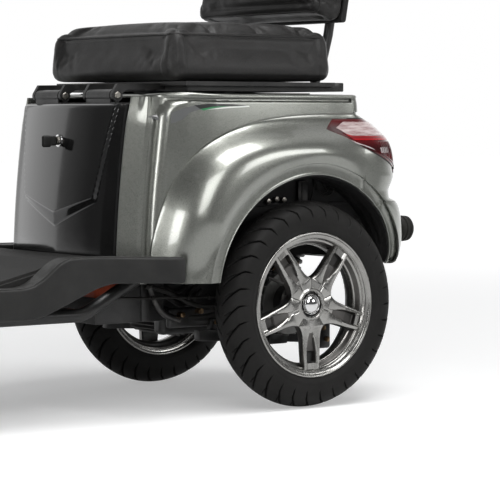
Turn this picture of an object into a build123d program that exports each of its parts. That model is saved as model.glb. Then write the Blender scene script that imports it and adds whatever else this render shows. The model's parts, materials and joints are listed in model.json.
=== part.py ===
"""Electric three-wheel scooter: two driven wheels at the rear, one steered wheel at the front.

Millimetres, +Z up, +X to the rider's left, the front facing -Y.  The pieces are modelled from the
point on the ground below the rear axle, and export() moves them so that the origin lies on the
ground below the middle of the vehicle's length.  Steered pieces are modelled about the steering
axis, Z along it and -Y forward, and STEER stands them up.
"""

import os
from math import cos, radians, sin, tan

from build123d import *

# ---------------------------------------------------------------- shared
WALL = 4.0
GAP = 0.5
RUNNING_CLEARANCE = 0.05
BEYOND = 1000.0

# ---------------------------------------------------------------- wheels
WHEELBASE = 1130.0
REAR_TRACK = 534.0
TYRE_RADIUS = 205.0
TYRE_WIDTH = 84.0
TYRE_SHOULDER_IN = 11.7
TYRE_SHOULDER_DROP = 16.1
TYRE_WIDEST = 0.45
BEAD_RADIUS = 132.0
RIM_LIP_RADIUS = 144.0
RIM_WIDTH = 76.0
RIM_WALL = 5.0
RIM_SEAT_WIDTH = 11.0
RIM_SLOPE = 8.0
RIM_DROP_SHIFT = 2.0
WELL_DEPTH = 14.0
SPOKE_COUNT = 5
RIB_WIDTH = 15.0
RIB_SPREAD = 12.5
RIB_DEPTH = 20.0
RIB_START = 12.0
RIB_SINK = 2.0
WEB_DEPTH = 9.0
HUB_RADIUS = 31.0
HUB_LENGTH = 62.0
HUB_INSET = 12.0
BOSS_RADIUS = 54.25
CAP_RADIUS = 20.0
CAP_HEIGHT = 8.0
AXLE_RADIUS = 10.0
REAR_BORE_DEPTH = 40.0

# ---------------------------------------------------------------- rear bodywork
ARCH_RADIUS = 238.0
ARCH_CENTRE_Z = 223.0
LIP_WIDTH = 24.0
LIP_STEP = 9.0
LIP_RETURN = 34.0
LIP_REACH = 80.0
LINER_WALL = 3.0
LINER_INNER_X = 214.0
BODY_BOTTOM = 259.0
BODY_LEAN = 0.08
DECK_TOP = 620.0
DECK_EDGE = 8.0
CREASE_TOP = 585.0
FENDER_FRONT = -345.0
FENDER_HALF_WIDTH = 326.0
FENDER_LEAN = 5.0
FENDER_LEAD = 8.0
FENDER_ROUND = 60.0
SHOULDER_START = 340.0
SHOULDER_RADIUS = 200.0
SHOULDER_TURN = 50.0
BODY_REAR = 285.0
TAIL_NARROWING = 22.0
TAIL_ZONE = 80.0
TAIL_CORNER = 95.0
WAIST_RADIUS = 900.0
BELT_REAR = 172.0
BELT_HALF_WIDTH = 266.0
BELT_CORNER = 70.0
POST_SETBACK = 8.0
POST_PROFILE = ((0.0, 10.0), (26.0, 36.0), (28.0, 52.0), (50.0, 64.0))
BELT_WIDENING = 220.0
BELT_TURN = 90.0
BELT_NARROWING = 12.0
FORM_SINK = 40.0
NOTCH_DEPTH = 20.0
SEAM_Y = 132.0
BUMPER_TOP = 404.0
BUMPER_BOTTOM = 284.0
BUMPER_REAR = 298.0
BUMPER_INSET = 14.0
BUMPER_ROUND = 12.0
BUMPER_LEAN = 3.0
LAMP_TOP = 570.0
LAMP_BOTTOM = 461.0
LAMP_SPLIT = 535.5
LAMP_TIP = (33.0, 553.0)
LAMP_TOP_START = 63.0
LAMP_BOTTOM_START = 217.0
LAMP_INNER = 185.0
LAMP_DEPTH = 14.0
LAMP_PROUD = 1.0
BUFFER_RADIUS = 27.0
BUFFER_PROUD = 33.0
BUFFER_X = 200.0
BUFFER_Z = 343.0
RACK_HOLE_RADIUS = 3.3
RACK_SPACING_X = 240.0
RACK_SPACING_Y = 24.0
RACK_Y = 149.0
TUB_HALF_WIDTH = 165.0
TUB_FRONT = -235.0
TUB_REAR = 80.0
TUB_FLOOR = 405.0
TUB_RIM = 8.0
TUB_WALL = 3.0

# ---------------------------------------------------------------- front panel of the rear body
PANEL_HALF_WIDTH = 190.0
PANEL_FRONT = -400.0
PANEL_BOW = 18.0
PANEL_DEPTH = 6.0
PANEL_TOP = 598.0
PANEL_FOOT = 263.0
SHIELD_RAISE = 5.0
SHIELD_POINT_Z = 470.0
SHIELD_WING = (125.0, 512.0)
SHIELD_TOP_HALF = 185.0
SOCKET_Z = 530.0
SOCKET_RADIUS = 15.0
SOCKET_BORE = 11.0
SOCKET_LENGTH = 24.0
SOCKET_PROUD = 8.0

# ---------------------------------------------------------------- frame and drive
RAIL_X = 165.0
RAIL_RADIUS = 13.0
RAIL_LOW_Z = 198.0
RAIL_KNEE_Z = 262.0
RAIL_HIGH_Z = 330.0
RAIL_RISE = (-455.0, -330.0, -205.0)
RAIL_END_Y = 190.0
RAIL_BEND = 60.0
RAIL_NOSE_X = 20.0
RAIL_FLARE = 86.0
CROSS_RADIUS = 12.0
CROSS_FRONT_BACK = 228.0
CROSS_MARGIN = 10.0
CROSS_MIDDLE_Y = -90.0
CROSS_REAR_INSET = 30.0
DOWN_TUBE_RADIUS = 18.0
POST_RADIUS = 10.0
POST_OUTSET = 20.0
POST_Y = (-300.0, 130.0)
POST_FOOT_DROP = 20.0
BATTERY_HALF_WIDTH = 130.0
BATTERY_FRONT = -402.0
BATTERY_REAR = -250.0
BATTERY_LOW = 180.0
BATTERY_HIGH = 288.0
BATTERY_ROUND = 6.0
MOTOR_Y = -155.0
MOTOR_DROP = 17.0
MOTOR_RADIUS = 48.0
MOTOR_HALF = 80.0
MOTOR_CAP = 20.0
FIN_COUNT = 28
FIN_HEIGHT = 7.0
FIN_THICKNESS = 3.0
FIN_LENGTH = 130.0
FIN_OFFSET = 5.0
AXLE_TUBE_RADIUS = 22.0
AXLE_TUBE_HALF = 200.0
AXLE_STUB_PAST = 2.0
GEAR_CASE_X = (40.0, 74.0)
GEAR_CASE_MARGIN = 55.0
GEAR_CASE_RISE = 62.0
GEAR_CASE_FALL = 50.0
GEAR_CASE_ROUND = 12.0
DIFFERENTIAL_X = (20.0, 95.0)
DIFFERENTIAL_RADIUS = 62.0
BACKPLATE_RADIUS = 62.0
BACKPLATE_THICKNESS = 18.0
BRAKE_CLEARANCE = 11.0
SHOCK_X = 140.0
SHOCK_RADIUS = 24.0
SHOCK_EYE_RADIUS = 10.0
SHOCK_FOOT = (28.0, 15.0)
SHOCK_SEAT = (36.0, 31.0)
SHOCK_HEAD_Y = 70.0
SHOCK_HEAD_DROP = 12.0

# ---------------------------------------------------------------- floor and leg shield
DASH_SETBACK = 262.0
FLOOR_LEAD = 4.0
FLOOR_LOW = 262.0
FLOOR_HIGH = 304.0
FLOOR_RAMP = ((300.0, 262.0), (190.0, 288.0), (145.0, 304.0))
FLOOR_UNDER = ((140.0, 292.0), (200.0, 264.0), (290.0, 238.0))
FLOOR_REAR_GAP = 22.0
FLOOR_THICKNESS = 12.0
TUNNEL_PLAY = 0.2
FLOOR_HALF_WIDTH = 235.0
MAT_THICKNESS = 5.0
MAT_MARGIN = 12.0
MAT_START = 48.0
MAT_END_GAP = 26.0
TRIM_HALF_WIDTH = 286.0
TRIM_TOP = ((220.0, 262.0), (157.0, 316.0), (-38.0, 316.0))
TRIM_UNDER = ((-38.0, 263.0), (55.0, 263.0), (88.0, 261.0), (121.0, 247.0), (171.0, 226.0), (218.0, 209.0))
TRIM_START = 68.0
TRIM_LOW = 209.0
TRIM_NOSE_LOW = 215.0
LEG_SHIELD_FRONT = ((-6.0, 264.0), (-27.0, 400.0), (-29.0, 520.0), (0.0, 620.0), (65.0, 765.0))
LEG_SHIELD_BACK = ((115.0, 765.0), (50.0, 610.0), (23.0, 510.0), (23.0, 400.0), (42.0, 275.0), (42.0, 264.0))
LEG_SHIELD_HALF = ((205.0, 264.0), (222.0, 430.0), (212.0, 600.0), (125.0, 765.0))
LEG_SHIELD_SHOULDER_Z = 300.0
LEG_SHIELD_ROUND = 60.0
LEG_SHIELD_WALL = 5.0
INDICATOR_X = 178.0
INDICATOR_LEAD = 25.0
INDICATOR_Z = 545.0
INDICATOR_SIZE = (44.0, 20.0, 70.0)
INDICATOR_ROUND = 14.0

# ---------------------------------------------------------------- steering
RAKE = 24.0
FORK_OFFSET = 35.0
FORK_HALF_GAP = 73.0
FORK_LEG_RADIUS = 17.0
FORK_LEG_LOW = -30.0
FORK_LEG_HIGH = 170.0
FORK_TUBE_RADIUS = 13.0
FORK_TUBE_SINK = 4.0
FORK_TUBE_SPARE = 14.0
STEM_RADIUS = 15.0
HEAD_RADIUS = 25.0
HEAD_LOW = 325.0
HEAD_HIGH = 470.0
NECK_JOIN = 399.0
NECK_BACK = (378.0, 77.0)
NECK_KNEE_Z = 400.0
NECK_FOOT_BACK = 22.0
NECK_FOOT_SINK = 3.0
NECK_BENDS = (25.0, 60.0)
NECK_WAY_PLAY = 2.0
NECK_WAY_PAST = 0.27
COLUMN_SPACE = 30.0
CROWN_LOW = 272.0
CROWN_HIGH = 300.0
CROWN_MARGIN = 17.0
CROWN_DEPTH = 36.0
CROWN_ROUND = 16.0
FENDER_GAP = 13.0
FRONT_FENDER_HALF_WIDTH = 60.0
FRONT_FENDER_FLANK = 22.0
FRONT_FENDER_TIP = 18.0
FRONT_FENDER_TAIL = 38.0
NOSE_LOW = 310.0
NOSE_DROP = 100.0
NOSE_HALF_WIDTH = 122.0
NOSE_FRONT = 100.0
NOSE_BACK = 52.0
NOSE_CHEEK = 0.3
NOSE_BROW = 0.55
NOSE_ROUND = 45.0
NOSE_TOP_ROUND = 22.0
NOSE_TAPER = 3.0
NOSE_SINK = 20.0
NOSE_PLAY = 0.3
NECK_SLOT = (64.0, 30.0, 230.0)
NECK_SLOT_DROP = 75.0
LENS_LOW = 140.0
LENS_HIGH = 60.0
LENS_LOW_HALF = 70.0
LENS_HIGH_HALF = 52.0
LENS_ROUND = 18.0
LENS_DEPTH = 16.0
LENS_PROUD = 2.0
BAR_HEIGHT = 800.0
BAR_RISE = 50.0
BAR_TIP_DROP = 8.0
BAR_RADIUS = 11.0
BAR_BEND = 45.0
BAR_HALF_WIDTH = 320.0
BAR_KNEE = (190.0, 25.0)
BAR_CENTRE_HALF = 80.0
BAR_TIP_BACK = 75.0
GRIP_RADIUS = 17.0
GRIP_START = 32.0
LEVER_RADIUS = 5.0
LEVER_PATH = ((17.0, (0.0, -10.0, 0.0)), (22.0, (6.0, -42.0, -2.0)), (128.0, (10.0, -56.0, -4.0)))
LEVER_BEND = 14.0
PERCH_RADIUS = 16.0
PERCH_SPAN = (8.0, 26.0)
COVER_SIZE = (230.0, 120.0, 100.0)
COVER_FORWARD = 8.0
COVER_DROP = 5.0
COVER_ROUND = 28.0
CLAMP_RADIUS = 17.0
CLAMP_HALF = 9.0
CLAMP_REACH = 84.0
MIRROR_X = 308.0
MIRROR_RISE = 185.0
MIRROR_HALF = (62.0, 40.0)
MIRROR_HALF_DEPTH = 9.0
STALK_START = (0.0, 0.0, 14.0)
STALK_KNEE = (12.0, -8.0, 70.0)
STALK_END = (-12.0, 0.0, -9.0)
STALK_BEND = 40.0

# ---------------------------------------------------------------- seat
HINGE_Y = -362.0
HINGE_Z = 617.0
HINGE_PIN_RADIUS = 5.0
HINGE_BARREL_RADIUS = 12.0
HINGE_BARREL_LENGTH = 85.0
HINGE_BARREL_X = 95.0
HINGE_LUG = 8.0
HINGE_LUG_GAP = 3.0
HINGE_SHELF_HALF = 156.0
HINGE_SHELF_SPAN = (-12.0, 16.0)
HINGE_SHELF_THICKNESS = 5.0
STRAP_NEAR = ((-9.0, 8.0), (0.0, 22.0), (24.0, 11.0), (11.0, 4.0))
STRAP_FAR = (5.0, -6.0)
STRAP_REACH = 20.0
SEAT_HALF_WIDTH = 236.0
PAN_FRONT = -262.0
PAN_REAR = 103.0
PAN_BOTTOM = 636.0
PAN_THICKNESS = 8.0
PAN_SKIRT_DEPTH = 10.5
PAN_SKIRT_INSET = 10.0
PAN_TONGUE_HALF = 170.0
PAN_TONGUE_REACH = 25.0
PAN_TONGUE_DEPTH = 10.0
CUSHION_FRONT = -300.0
CUSHION_REAR = 118.0
CUSHION_TOP = 758.0
CUSHION_OVERHANG = 4.0
CUSHION_ROUND = 28.0
CUSHION_LIFT = 14.0
BACK_LEAN = 10.0
BACK_FOOT_Y = 60.0
BACK_GAP = 10.0
BACK_HALF_WIDTH = 230.0
BACK_HEIGHT = 395.0
BACK_THICKNESS = 85.0
BACK_TUBE_X = 150.0
BACK_TUBE_RADIUS = 10.0
BACK_TUBE_REACH = 240.0
BACK_TUBE_DROP = 8.0
BACK_TUBE_FOOT = 15.0
BACK_TUBE_KNEE = (34.0, 50.0)
BACK_TUBE_BEND = 40.0
ARM_PIVOT_Y = 178.0
ARM_PIVOT_Z = 868.0
ARM_PIN_RADIUS = 8.0
ARM_BAR_RADIUS = 12.0
ARM_BAR_INSET = 4.0
ARM_HUB_RADIUS = 20.0
ARM_HUB_INSET = 3.0
ARM_INNER_X = 244.0
ARM_WIDTH = 46.0
ARM_FRONT = -170.0
ARM_BELOW = 16.0
ARM_ABOVE = 22.0
ARM_ROUND = 14.0

# ---------------------------------------------------------------- derived places
REAR_OVERHANG = BUMPER_REAR + BUFFER_PROUD
FRONT_OVERHANG = (TYRE_RADIUS + FENDER_GAP + WALL) * cos(radians(FRONT_FENDER_TIP))
LENGTH = FRONT_OVERHANG + WHEELBASE + REAR_OVERHANG
REAR_AXLE_Y = LENGTH / 2 - REAR_OVERHANG
FRONT_AXLE_Y = -WHEELBASE
HALF_TRACK = REAR_TRACK / 2
ARCH_OUTER = ARCH_RADIUS + LIP_WIDTH
LINER_OUTER_X = FENDER_HALF_WIDTH - FENDER_ROUND
UNDER_DECK = DECK_TOP - DECK_EDGE
DASH_Y = FRONT_AXLE_Y + DASH_SETBACK
FLOOR_FRONT = DASH_Y - FLOOR_LEAD
MOTOR_Z = TYRE_RADIUS - MOTOR_DROP
NOSE_HIGH = BAR_HEIGHT - NOSE_DROP

STEER_UP = Vector(0, sin(radians(RAKE)), cos(radians(RAKE)))
STEER_FORWARD = Vector(0, -cos(radians(RAKE)), sin(radians(RAKE)))
STEER_FOOT = Vector(0, FRONT_AXLE_Y, TYRE_RADIUS) - STEER_FORWARD * FORK_OFFSET
STEER = Location(Plane(origin=STEER_FOOT, x_dir=(1, 0, 0), z_dir=STEER_UP))
BODY_RISE = Vector(0, BODY_LEAN, 1)
BACK_PLACE = Location(Plane(origin=(0, BACK_FOOT_Y, CUSHION_TOP + BACK_GAP), x_dir=(1, 0, 0),
                            z_dir=(0, sin(radians(BACK_LEAN)), cos(radians(BACK_LEAN)))))


# ---------------------------------------------------------------- helpers
def export(name, *shapes):
    """Writes one node, moved from the rear axle's frame to the vehicle's own."""
    solids = [Pos(0, REAR_AXLE_Y, 0) * s for shape in shapes for s in shape.solids()]
    export_step(solids[0] if len(solids) == 1 else Compound(solids), f"parts/{name}.step")


def mirrored(shape):
    """The same piece on the other side of the vehicle."""
    return mirror(shape, about=Plane.YZ)


def export_pair(name, shape):
    """Writes a piece of the left side and its twin on the right."""
    export(f"{name}_left", shape)
    export(f"{name}_right", mirrored(shape))


def main_solid(shape):
    """The largest solid of a shape, without the slivers that a cut leaves."""
    return shape.solids().sort_by(SortBy.VOLUME)[-1]


def rod(start, end, radius):
    """A round bar from one point to another."""
    start, end = Vector(*start), Vector(*end)
    plane = Plane(origin=start, z_dir=end - start)
    return extrude(plane * Circle(radius), (end - start).length)


def tube_path(points, radii, radius):
    """A bent round tube: straight runs joined by arcs."""
    path = FilletPolyline(*[Vector(*p) for p in points], radius=radii)
    return sweep(Plane(origin=path @ 0, z_dir=path % 0) * Circle(radius), path=path)


def block(x0, x1, y0, y1, z0, z1, round_edges=0.0):
    """A box between two corners, with its edges rounded."""
    body = Pos((x0 + x1) / 2, (y0 + y1) / 2, (z0 + z1) / 2) * Box(x1 - x0, y1 - y0, z1 - z0)
    return fillet(body.edges(), round_edges) if round_edges else body


def cylinder_x(x0, x1, y, z, radius):
    """A round bar along X."""
    return Pos((x0 + x1) / 2, y, z) * Rot(0, 90, 0) * Cylinder(radius, x1 - x0)


def cylinder_y(x, z, radius, y0, y1):
    """A round bar along Y."""
    return Pos(x, (y0 + y1) / 2, z) * Rot(90, 0, 0) * Cylinder(radius, y1 - y0)


def upright(x, y, z0, z1, radius):
    """A round bar along Z."""
    return Pos(x, y, (z0 + z1) / 2) * Cylinder(radius, z1 - z0)


def side_prism(outline, x0, x1):
    """A face drawn in (Y, Z), made solid between two X places."""
    return extrude(Plane.YZ.offset(x0) * outline, x1 - x0)


def front_prism(outline, y0, y1):
    """A face drawn in (X, Z), made solid between two Y places."""
    return extrude(Plane.XZ.offset(-y1) * outline, y1 - y0)


def polygon(*points):
    """A face with straight sides."""
    return make_face(Polyline(*points, close=True))


def steered(along, back=0.0):
    """A place on the steering axis, or behind it."""
    return STEER_FOOT + STEER_UP * along - STEER_FORWARD * back


# ---------------------------------------------------------------- wheels
def tyre_section():
    """The tyre's section in the plane of the axle, as (across, radius) points."""
    half = TYRE_WIDTH / 2
    bead = RIM_WIDTH / 2 - RIM_WALL
    wide = BEAD_RADIUS + (TYRE_RADIUS - BEAD_RADIUS) * TYRE_WIDEST
    shoulder = TYRE_RADIUS - TYRE_SHOULDER_DROP
    turn_in = half - TYRE_SHOULDER_IN
    outside = Spline((-bead, RIM_LIP_RADIUS), (-half, wide), (-turn_in, shoulder), (0, TYRE_RADIUS),
                     (turn_in, shoulder), (half, wide), (bead, RIM_LIP_RADIUS))
    feet = Polyline(outside @ 1, (bead, BEAD_RADIUS), (-bead, BEAD_RADIUS), outside @ 0)
    return make_face([outside, feet])


def tyre():
    """The tyre about the Z axis."""
    return revolve(Plane.XZ * Rot(0, 0, 90) * tyre_section(), axis=Axis.Z)


def rim_barrel():
    """The drop-centre barrel about the Z axis, its outer side up."""
    half, seat, well = RIM_WIDTH / 2, BEAD_RADIUS, BEAD_RADIUS - WELL_DEPTH
    ledge = half - RIM_WALL - RIM_SEAT_WIDTH
    lip = [(RIM_LIP_RADIUS, half), (seat, half - RIM_WALL)]
    drop = [(seat, ledge), (well, ledge - RIM_SLOPE)]
    outside = lip + drop
    inside = [(r - RIM_WALL, z) for r, z in lip] + [(r - RIM_WALL, z - RIM_DROP_SHIFT) for r, z in drop]
    lower_outside = [(r, -z) for r, z in reversed(outside)]
    lower_inside = [(r, -z) for r, z in inside]
    section = polygon(*outside, *lower_outside, *lower_inside, *reversed(inside))
    return revolve(Plane.XZ * section, axis=Axis.Z)


def rim(bore_depth):
    """Cast wheel about the Z axis, its outer side up: barrel, hub, boss, cap and five pairs of ribs."""
    hub_top = RIM_WIDTH / 2 - HUB_INSET
    rib_middle = hub_top - RIB_SINK - RIB_DEPTH / 2
    reach = BEAD_RADIUS - WELL_DEPTH - RIM_WALL / 2
    wheel = rim_barrel() + upright(0, 0, hub_top - HUB_LENGTH, hub_top, HUB_RADIUS)
    for k in range(SPOKE_COUNT):
        turn = Rot(0, 0, 360.0 / SPOKE_COUNT * k)
        for side in (-1, 1):
            rib = Box(reach - RIB_START, RIB_WIDTH, RIB_DEPTH)
            wheel += turn * Pos((reach + RIB_START) / 2, side * RIB_SPREAD, rib_middle) * rib
        web = Box(reach, RIB_SPREAD * 2, WEB_DEPTH)
        wheel += turn * Pos(reach / 2, 0, hub_top - RIB_DEPTH + WEB_DEPTH / 2) * web
    wheel += upright(0, 0, rib_middle - RIB_DEPTH / 2, rib_middle + RIB_DEPTH / 2, BOSS_RADIUS)
    wheel += upright(0, 0, hub_top - CAP_HEIGHT, hub_top + CAP_HEIGHT, CAP_RADIUS)
    back = hub_top - HUB_LENGTH
    return wheel - upright(0, 0, back, back + bore_depth, AXLE_RADIUS + RUNNING_CLEARANCE)


def build_wheels():
    """Both rear wheels and the front wheel, each a tyre on a cast rim."""
    rubber = tyre()
    left = Pos(HALF_TRACK, 0, TYRE_RADIUS) * Rot(0, 90, 0)
    export_pair("rear_tyre", left * rubber)
    export_pair("rear_rim", left * rim(REAR_BORE_DEPTH))
    front = Pos(0, FRONT_AXLE_Y, TYRE_RADIUS) * Rot(0, 90, 0)
    export("front_tyre", front * rubber)
    export("front_rim", front * rim(RIM_WIDTH * 2))


# ---------------------------------------------------------------- rear bodywork: outside form
def sunk_bottom(inset):
    """The form's lower end, sunk for the form that hollows it out."""
    return BODY_BOTTOM - (FORM_SINK if inset else 0)


def crease_outline(inset):
    """Side view of the fenders' upper edge, closed below, as a face in (Y, Z)."""
    turned = radians(180 - SHOULDER_TURN)
    front, top, low = FENDER_FRONT + inset, CREASE_TOP - inset, sunk_bottom(inset)
    first = SHOULDER_RADIUS - inset
    knee_z = SHOULDER_START + first * sin(turned)
    second = (top - knee_z) / (1 - sin(turned))
    behind = BODY_REAR + FENDER_ROUND
    rise = Line((front, low), (front, SHOULDER_START))
    arc_a = JernArc((front, SHOULDER_START), (0, 1), first, -SHOULDER_TURN)
    arc_b = JernArc(arc_a @ 1, arc_a % 1, second, -(90 - SHOULDER_TURN))
    rest = Polyline(arc_b @ 1, (behind, top), (behind, low), (front, low))
    return make_face([rise, arc_a, arc_b, rest])


def tail_corners(sketch, radius, rear):
    """Rounds the two rear corners of a plan."""
    return fillet([v for v in sketch.vertices() if v.Y > rear - 1 and abs(v.X) > LAMP_INNER / 2], radius)


def lower_plan(inset):
    """Plan of the fenders and the tail, as a face in (X, Y)."""
    side, rear = FENDER_HALF_WIDTH - inset, BODY_REAR - inset
    front = FENDER_FRONT - FENDER_LEAD + inset
    bend = side - TAIL_NARROWING
    outline = polygon((-side, 0), (-side, front), (side, front), (side, 0), (bend, rear), (-bend, rear))
    plan = tail_corners(outline, TAIL_CORNER - inset, rear)
    return fillet([v for v in plan.vertices() if abs(v.Y) < 1], WAIST_RADIUS)


def belt_plan(inset):
    """Plan of the upper body at its lower edge, with the corner posts either side of the front panel."""
    front = PANEL_FRONT + POST_SETBACK + inset
    rear = BELT_REAR - (DECK_TOP - BODY_BOTTOM) * BODY_LEAN - inset
    wide = BELT_HALF_WIDTH - inset
    posts = [(PANEL_HALF_WIDTH + out - (inset if out else 0), front + back) for out, back in POST_PROFILE]
    half = [*posts, (wide, front + BELT_WIDENING), (wide, rear - BELT_TURN), (wide - BELT_NARROWING, rear)]
    outline = polygon((0, front), *half, *[(-x, y) for x, y in reversed(half)])
    return tail_corners(outline, BELT_CORNER - inset, rear)


def rounded_edge(edge, inset):
    """Whether an edge of the fenders' form is rounded: the crease and the tail's corners."""
    middle, along = edge @ 0.5, edge % 0.5
    across = abs(along.X) > 0.99 and middle.Y < BODY_REAR - TAIL_ZONE
    upright = abs(along.Z) >= 0.95
    if middle.Z <= BODY_BOTTOM + 5:
        return False
    if abs(middle.X) > 10:
        return not across and not upright
    return middle.Y > BODY_REAR - TAIL_ZONE and middle.Z > CREASE_TOP - inset - 1


def rear_form(inset):
    """The outside of the rear body, or its inside when inset by the wall."""
    low = sunk_bottom(inset)
    grown = (BODY_BOTTOM - low) * tan(radians(FENDER_LEAN))
    lower = extrude(Pos(0, 0, low) * lower_plan(inset - grown), CREASE_TOP - inset - low, taper=FENDER_LEAN)
    lower = lower & extrude(Plane.YZ * crease_outline(inset), FENDER_HALF_WIDTH + FENDER_ROUND, both=True)
    lower = fillet([edge for edge in lower.edges() if rounded_edge(edge, inset)], FENDER_ROUND - inset)
    height = (DECK_TOP - inset - low) * BODY_RISE.length
    start = Pos(0, (low - BODY_BOTTOM) * BODY_LEAN, low)
    return lower + extrude(start * belt_plan(inset), height, dir=BODY_RISE)


# ---------------------------------------------------------------- rear bodywork: pieces
def lamp_outline(grown=0.0):
    """Side view of the tail lamp, as a face in (Y, Z)."""
    behind = BODY_REAR + FENDER_ROUND
    face = polygon(LAMP_TIP, (LAMP_TOP_START, LAMP_TOP), (behind, LAMP_TOP), (behind, LAMP_BOTTOM),
                   (LAMP_BOTTOM_START, LAMP_BOTTOM))
    return offset(face, grown, kind=Kind.INTERSECTION) if grown else face


def arch_ring(inner, outer, x0, x1):
    """Part of a wheel arch: a ring about the arch's axis."""
    bar = cylinder_x(x0, x1, 0, ARCH_CENTRE_Z, outer)
    return bar - cylinder_x(x0 - 1, x1 + 1, 0, ARCH_CENTRE_Z, inner)


def arch_hole():
    """The space of one wheel arch, cut out of the bodywork round it."""
    outer_x = FENDER_HALF_WIDTH + TAIL_NARROWING
    return cylinder_x(LINER_INNER_X + WALL / 2, outer_x, 0, ARCH_CENTRE_Z, ARCH_OUTER + WALL)


def lamp_space():
    """The opening for the left tail lamp."""
    return side_prism(lamp_outline(GAP), LAMP_INNER - GAP, BEYOND)


def build_lamps():
    """Tail lamps and the indicators above them."""
    lamp = rear_form(-LAMP_PROUD) - rear_form(LAMP_DEPTH)
    lamp = lamp & side_prism(lamp_outline(), LAMP_INNER, BEYOND)
    above = block(0, BEYOND, -BEYOND, BEYOND, LAMP_SPLIT + GAP / 2, BEYOND)
    below = block(0, BEYOND, -BEYOND, BEYOND, 0, LAMP_SPLIT - GAP / 2)
    export_pair("rear_indicator", lamp & above)
    export_pair("tail_lamp", lamp & below)


def arch_trim(outer):
    """The stepped lip round the left wheel arch."""
    step, deep = rear_form(LIP_STEP), rear_form(LIP_STEP + WALL)
    x0, x1 = FENDER_HALF_WIDTH - LIP_REACH, FENDER_HALF_WIDTH + TAIL_NARROWING
    flat = arch_ring(ARCH_RADIUS, ARCH_OUTER + WALL, x0, x1) & (step - deep)
    riser = arch_ring(ARCH_OUTER, ARCH_OUTER + WALL, x0, x1) & (outer - deep)
    inward = arch_ring(ARCH_RADIUS, ARCH_RADIUS + WALL, x0, x1) & (step - rear_form(LIP_STEP + LIP_RETURN))
    trim = (flat + riser + inward) & block(x0, x1, -BEYOND, BODY_REAR - WALL - 1, BODY_BOTTOM, BEYOND)
    return trim - block(x0, x1, SEAM_Y, BEYOND, 0, BUMPER_BOTTOM)


def bumper_plan(inset):
    """Plan of the bumper, as a face in (X, Y)."""
    wide, rear = FENDER_HALF_WIDTH - BUMPER_INSET - inset, BUMPER_REAR - inset
    front, tail = SEAM_Y + GAP, wide - BUMPER_INSET
    outline = polygon((-wide, front), (wide, front), (tail, rear), (-tail, rear))
    return tail_corners(outline, TAIL_CORNER - inset, rear)


def bumper_inside():
    """The bumper's hollow, open to the front and below."""
    height = BUMPER_TOP - BUMPER_BOTTOM - WALL
    return extrude(Pos(0, -5, BUMPER_BOTTOM - 1) * bumper_plan(WALL), height, taper=BUMPER_LEAN)


def rear_bumper():
    """The bumper shell below the tail."""
    height = BUMPER_TOP - BUMPER_BOTTOM
    bumper = extrude(Pos(0, 0, BUMPER_BOTTOM) * bumper_plan(0), height, taper=BUMPER_LEAN)
    rim_edges = [e for e in bumper.faces().sort_by(Axis.Z)[-1].edges() if (e @ 0.5).Y > SEAM_Y + 5]
    bumper = fillet(rim_edges, BUMPER_ROUND)
    return bumper - bumper_inside() - arch_hole() - mirrored(arch_hole())


def body_deck(outer):
    """The deck under the seat, with the tub's opening, the hinge's notch and the rack's holes."""
    deck = outer & block(-BEYOND, BEYOND, -BEYOND, BEYOND, UNDER_DECK, BEYOND)
    deck -= block(-TUB_HALF_WIDTH, TUB_HALF_WIDTH, TUB_FRONT, TUB_REAR, 0, BEYOND)
    deck -= block(-HINGE_SHELF_HALF, HINGE_SHELF_HALF, -BEYOND, HINGE_Y + NOTCH_DEPTH, PANEL_TOP, BEYOND)
    for x in (-RACK_SPACING_X / 2, RACK_SPACING_X / 2):
        for y in (RACK_Y - RACK_SPACING_Y / 2, RACK_Y + RACK_SPACING_Y / 2):
            deck -= upright(x, y, UNDER_DECK - 1, DECK_TOP + 1, RACK_HOLE_RADIUS)
    return deck


def storage_tub():
    """The open tub under the seat, hung by its rim from the deck."""
    tub = block(-TUB_HALF_WIDTH, TUB_HALF_WIDTH, TUB_FRONT, TUB_REAR, TUB_FLOOR, DECK_TOP)
    rim_x = TUB_HALF_WIDTH + TUB_RIM
    tub += block(-rim_x, rim_x, TUB_FRONT - TUB_RIM, TUB_REAR + TUB_RIM, DECK_TOP, DECK_TOP + TUB_WALL)
    return tub - block(TUB_WALL - TUB_HALF_WIDTH, TUB_HALF_WIDTH - TUB_WALL, TUB_FRONT + TUB_WALL,
                       TUB_REAR - TUB_WALL, TUB_FLOOR + TUB_WALL, BEYOND)


def build_rear_body():
    """Side panels, tail, bumper and buffers, deck and tub, arch trims and liners."""
    outer = rear_form(0)
    shell = outer - rear_form(WALL)
    shell -= block(-PANEL_HALF_WIDTH, PANEL_HALF_WIDTH, -BEYOND, FENDER_FRONT + NOTCH_DEPTH, 0, BEYOND)
    shell = shell - lamp_space() - arch_hole()
    side = shell & block(0, BEYOND, -BEYOND, SEAM_Y - GAP, 0, UNDER_DECK)
    tail = shell - mirrored(lamp_space()) - mirrored(arch_hole())
    tail = tail & block(-BEYOND, BEYOND, SEAM_Y + GAP, BEYOND, BUMPER_TOP + GAP, UNDER_DECK)
    bumper, trim = rear_bumper(), arch_trim(outer)
    liner = arch_ring(ARCH_RADIUS, ARCH_RADIUS + LINER_WALL, LINER_INNER_X, LINER_OUTER_X)
    liner = (liner & block(0, BEYOND, -BEYOND, BEYOND, BODY_BOTTOM, BEYOND)) - trim - bumper
    export_pair("side_panel", side)
    export_pair("arch_trim", trim)
    export_pair("arch_liner", liner)
    export("rear_panel", tail)
    export("rear_bumper", bumper)
    export("body_deck", body_deck(outer))
    export("storage_tub", storage_tub())
    buffer = cylinder_y(BUFFER_X, BUFFER_Z, BUFFER_RADIUS, BUMPER_REAR - BUMPER_INSET, REAR_OVERHANG)
    buffer = (buffer - bumper - bumper_inside()).solids().sort_by(Axis.Y)[-1]
    export("rear_buffers", buffer, mirrored(buffer))


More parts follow.
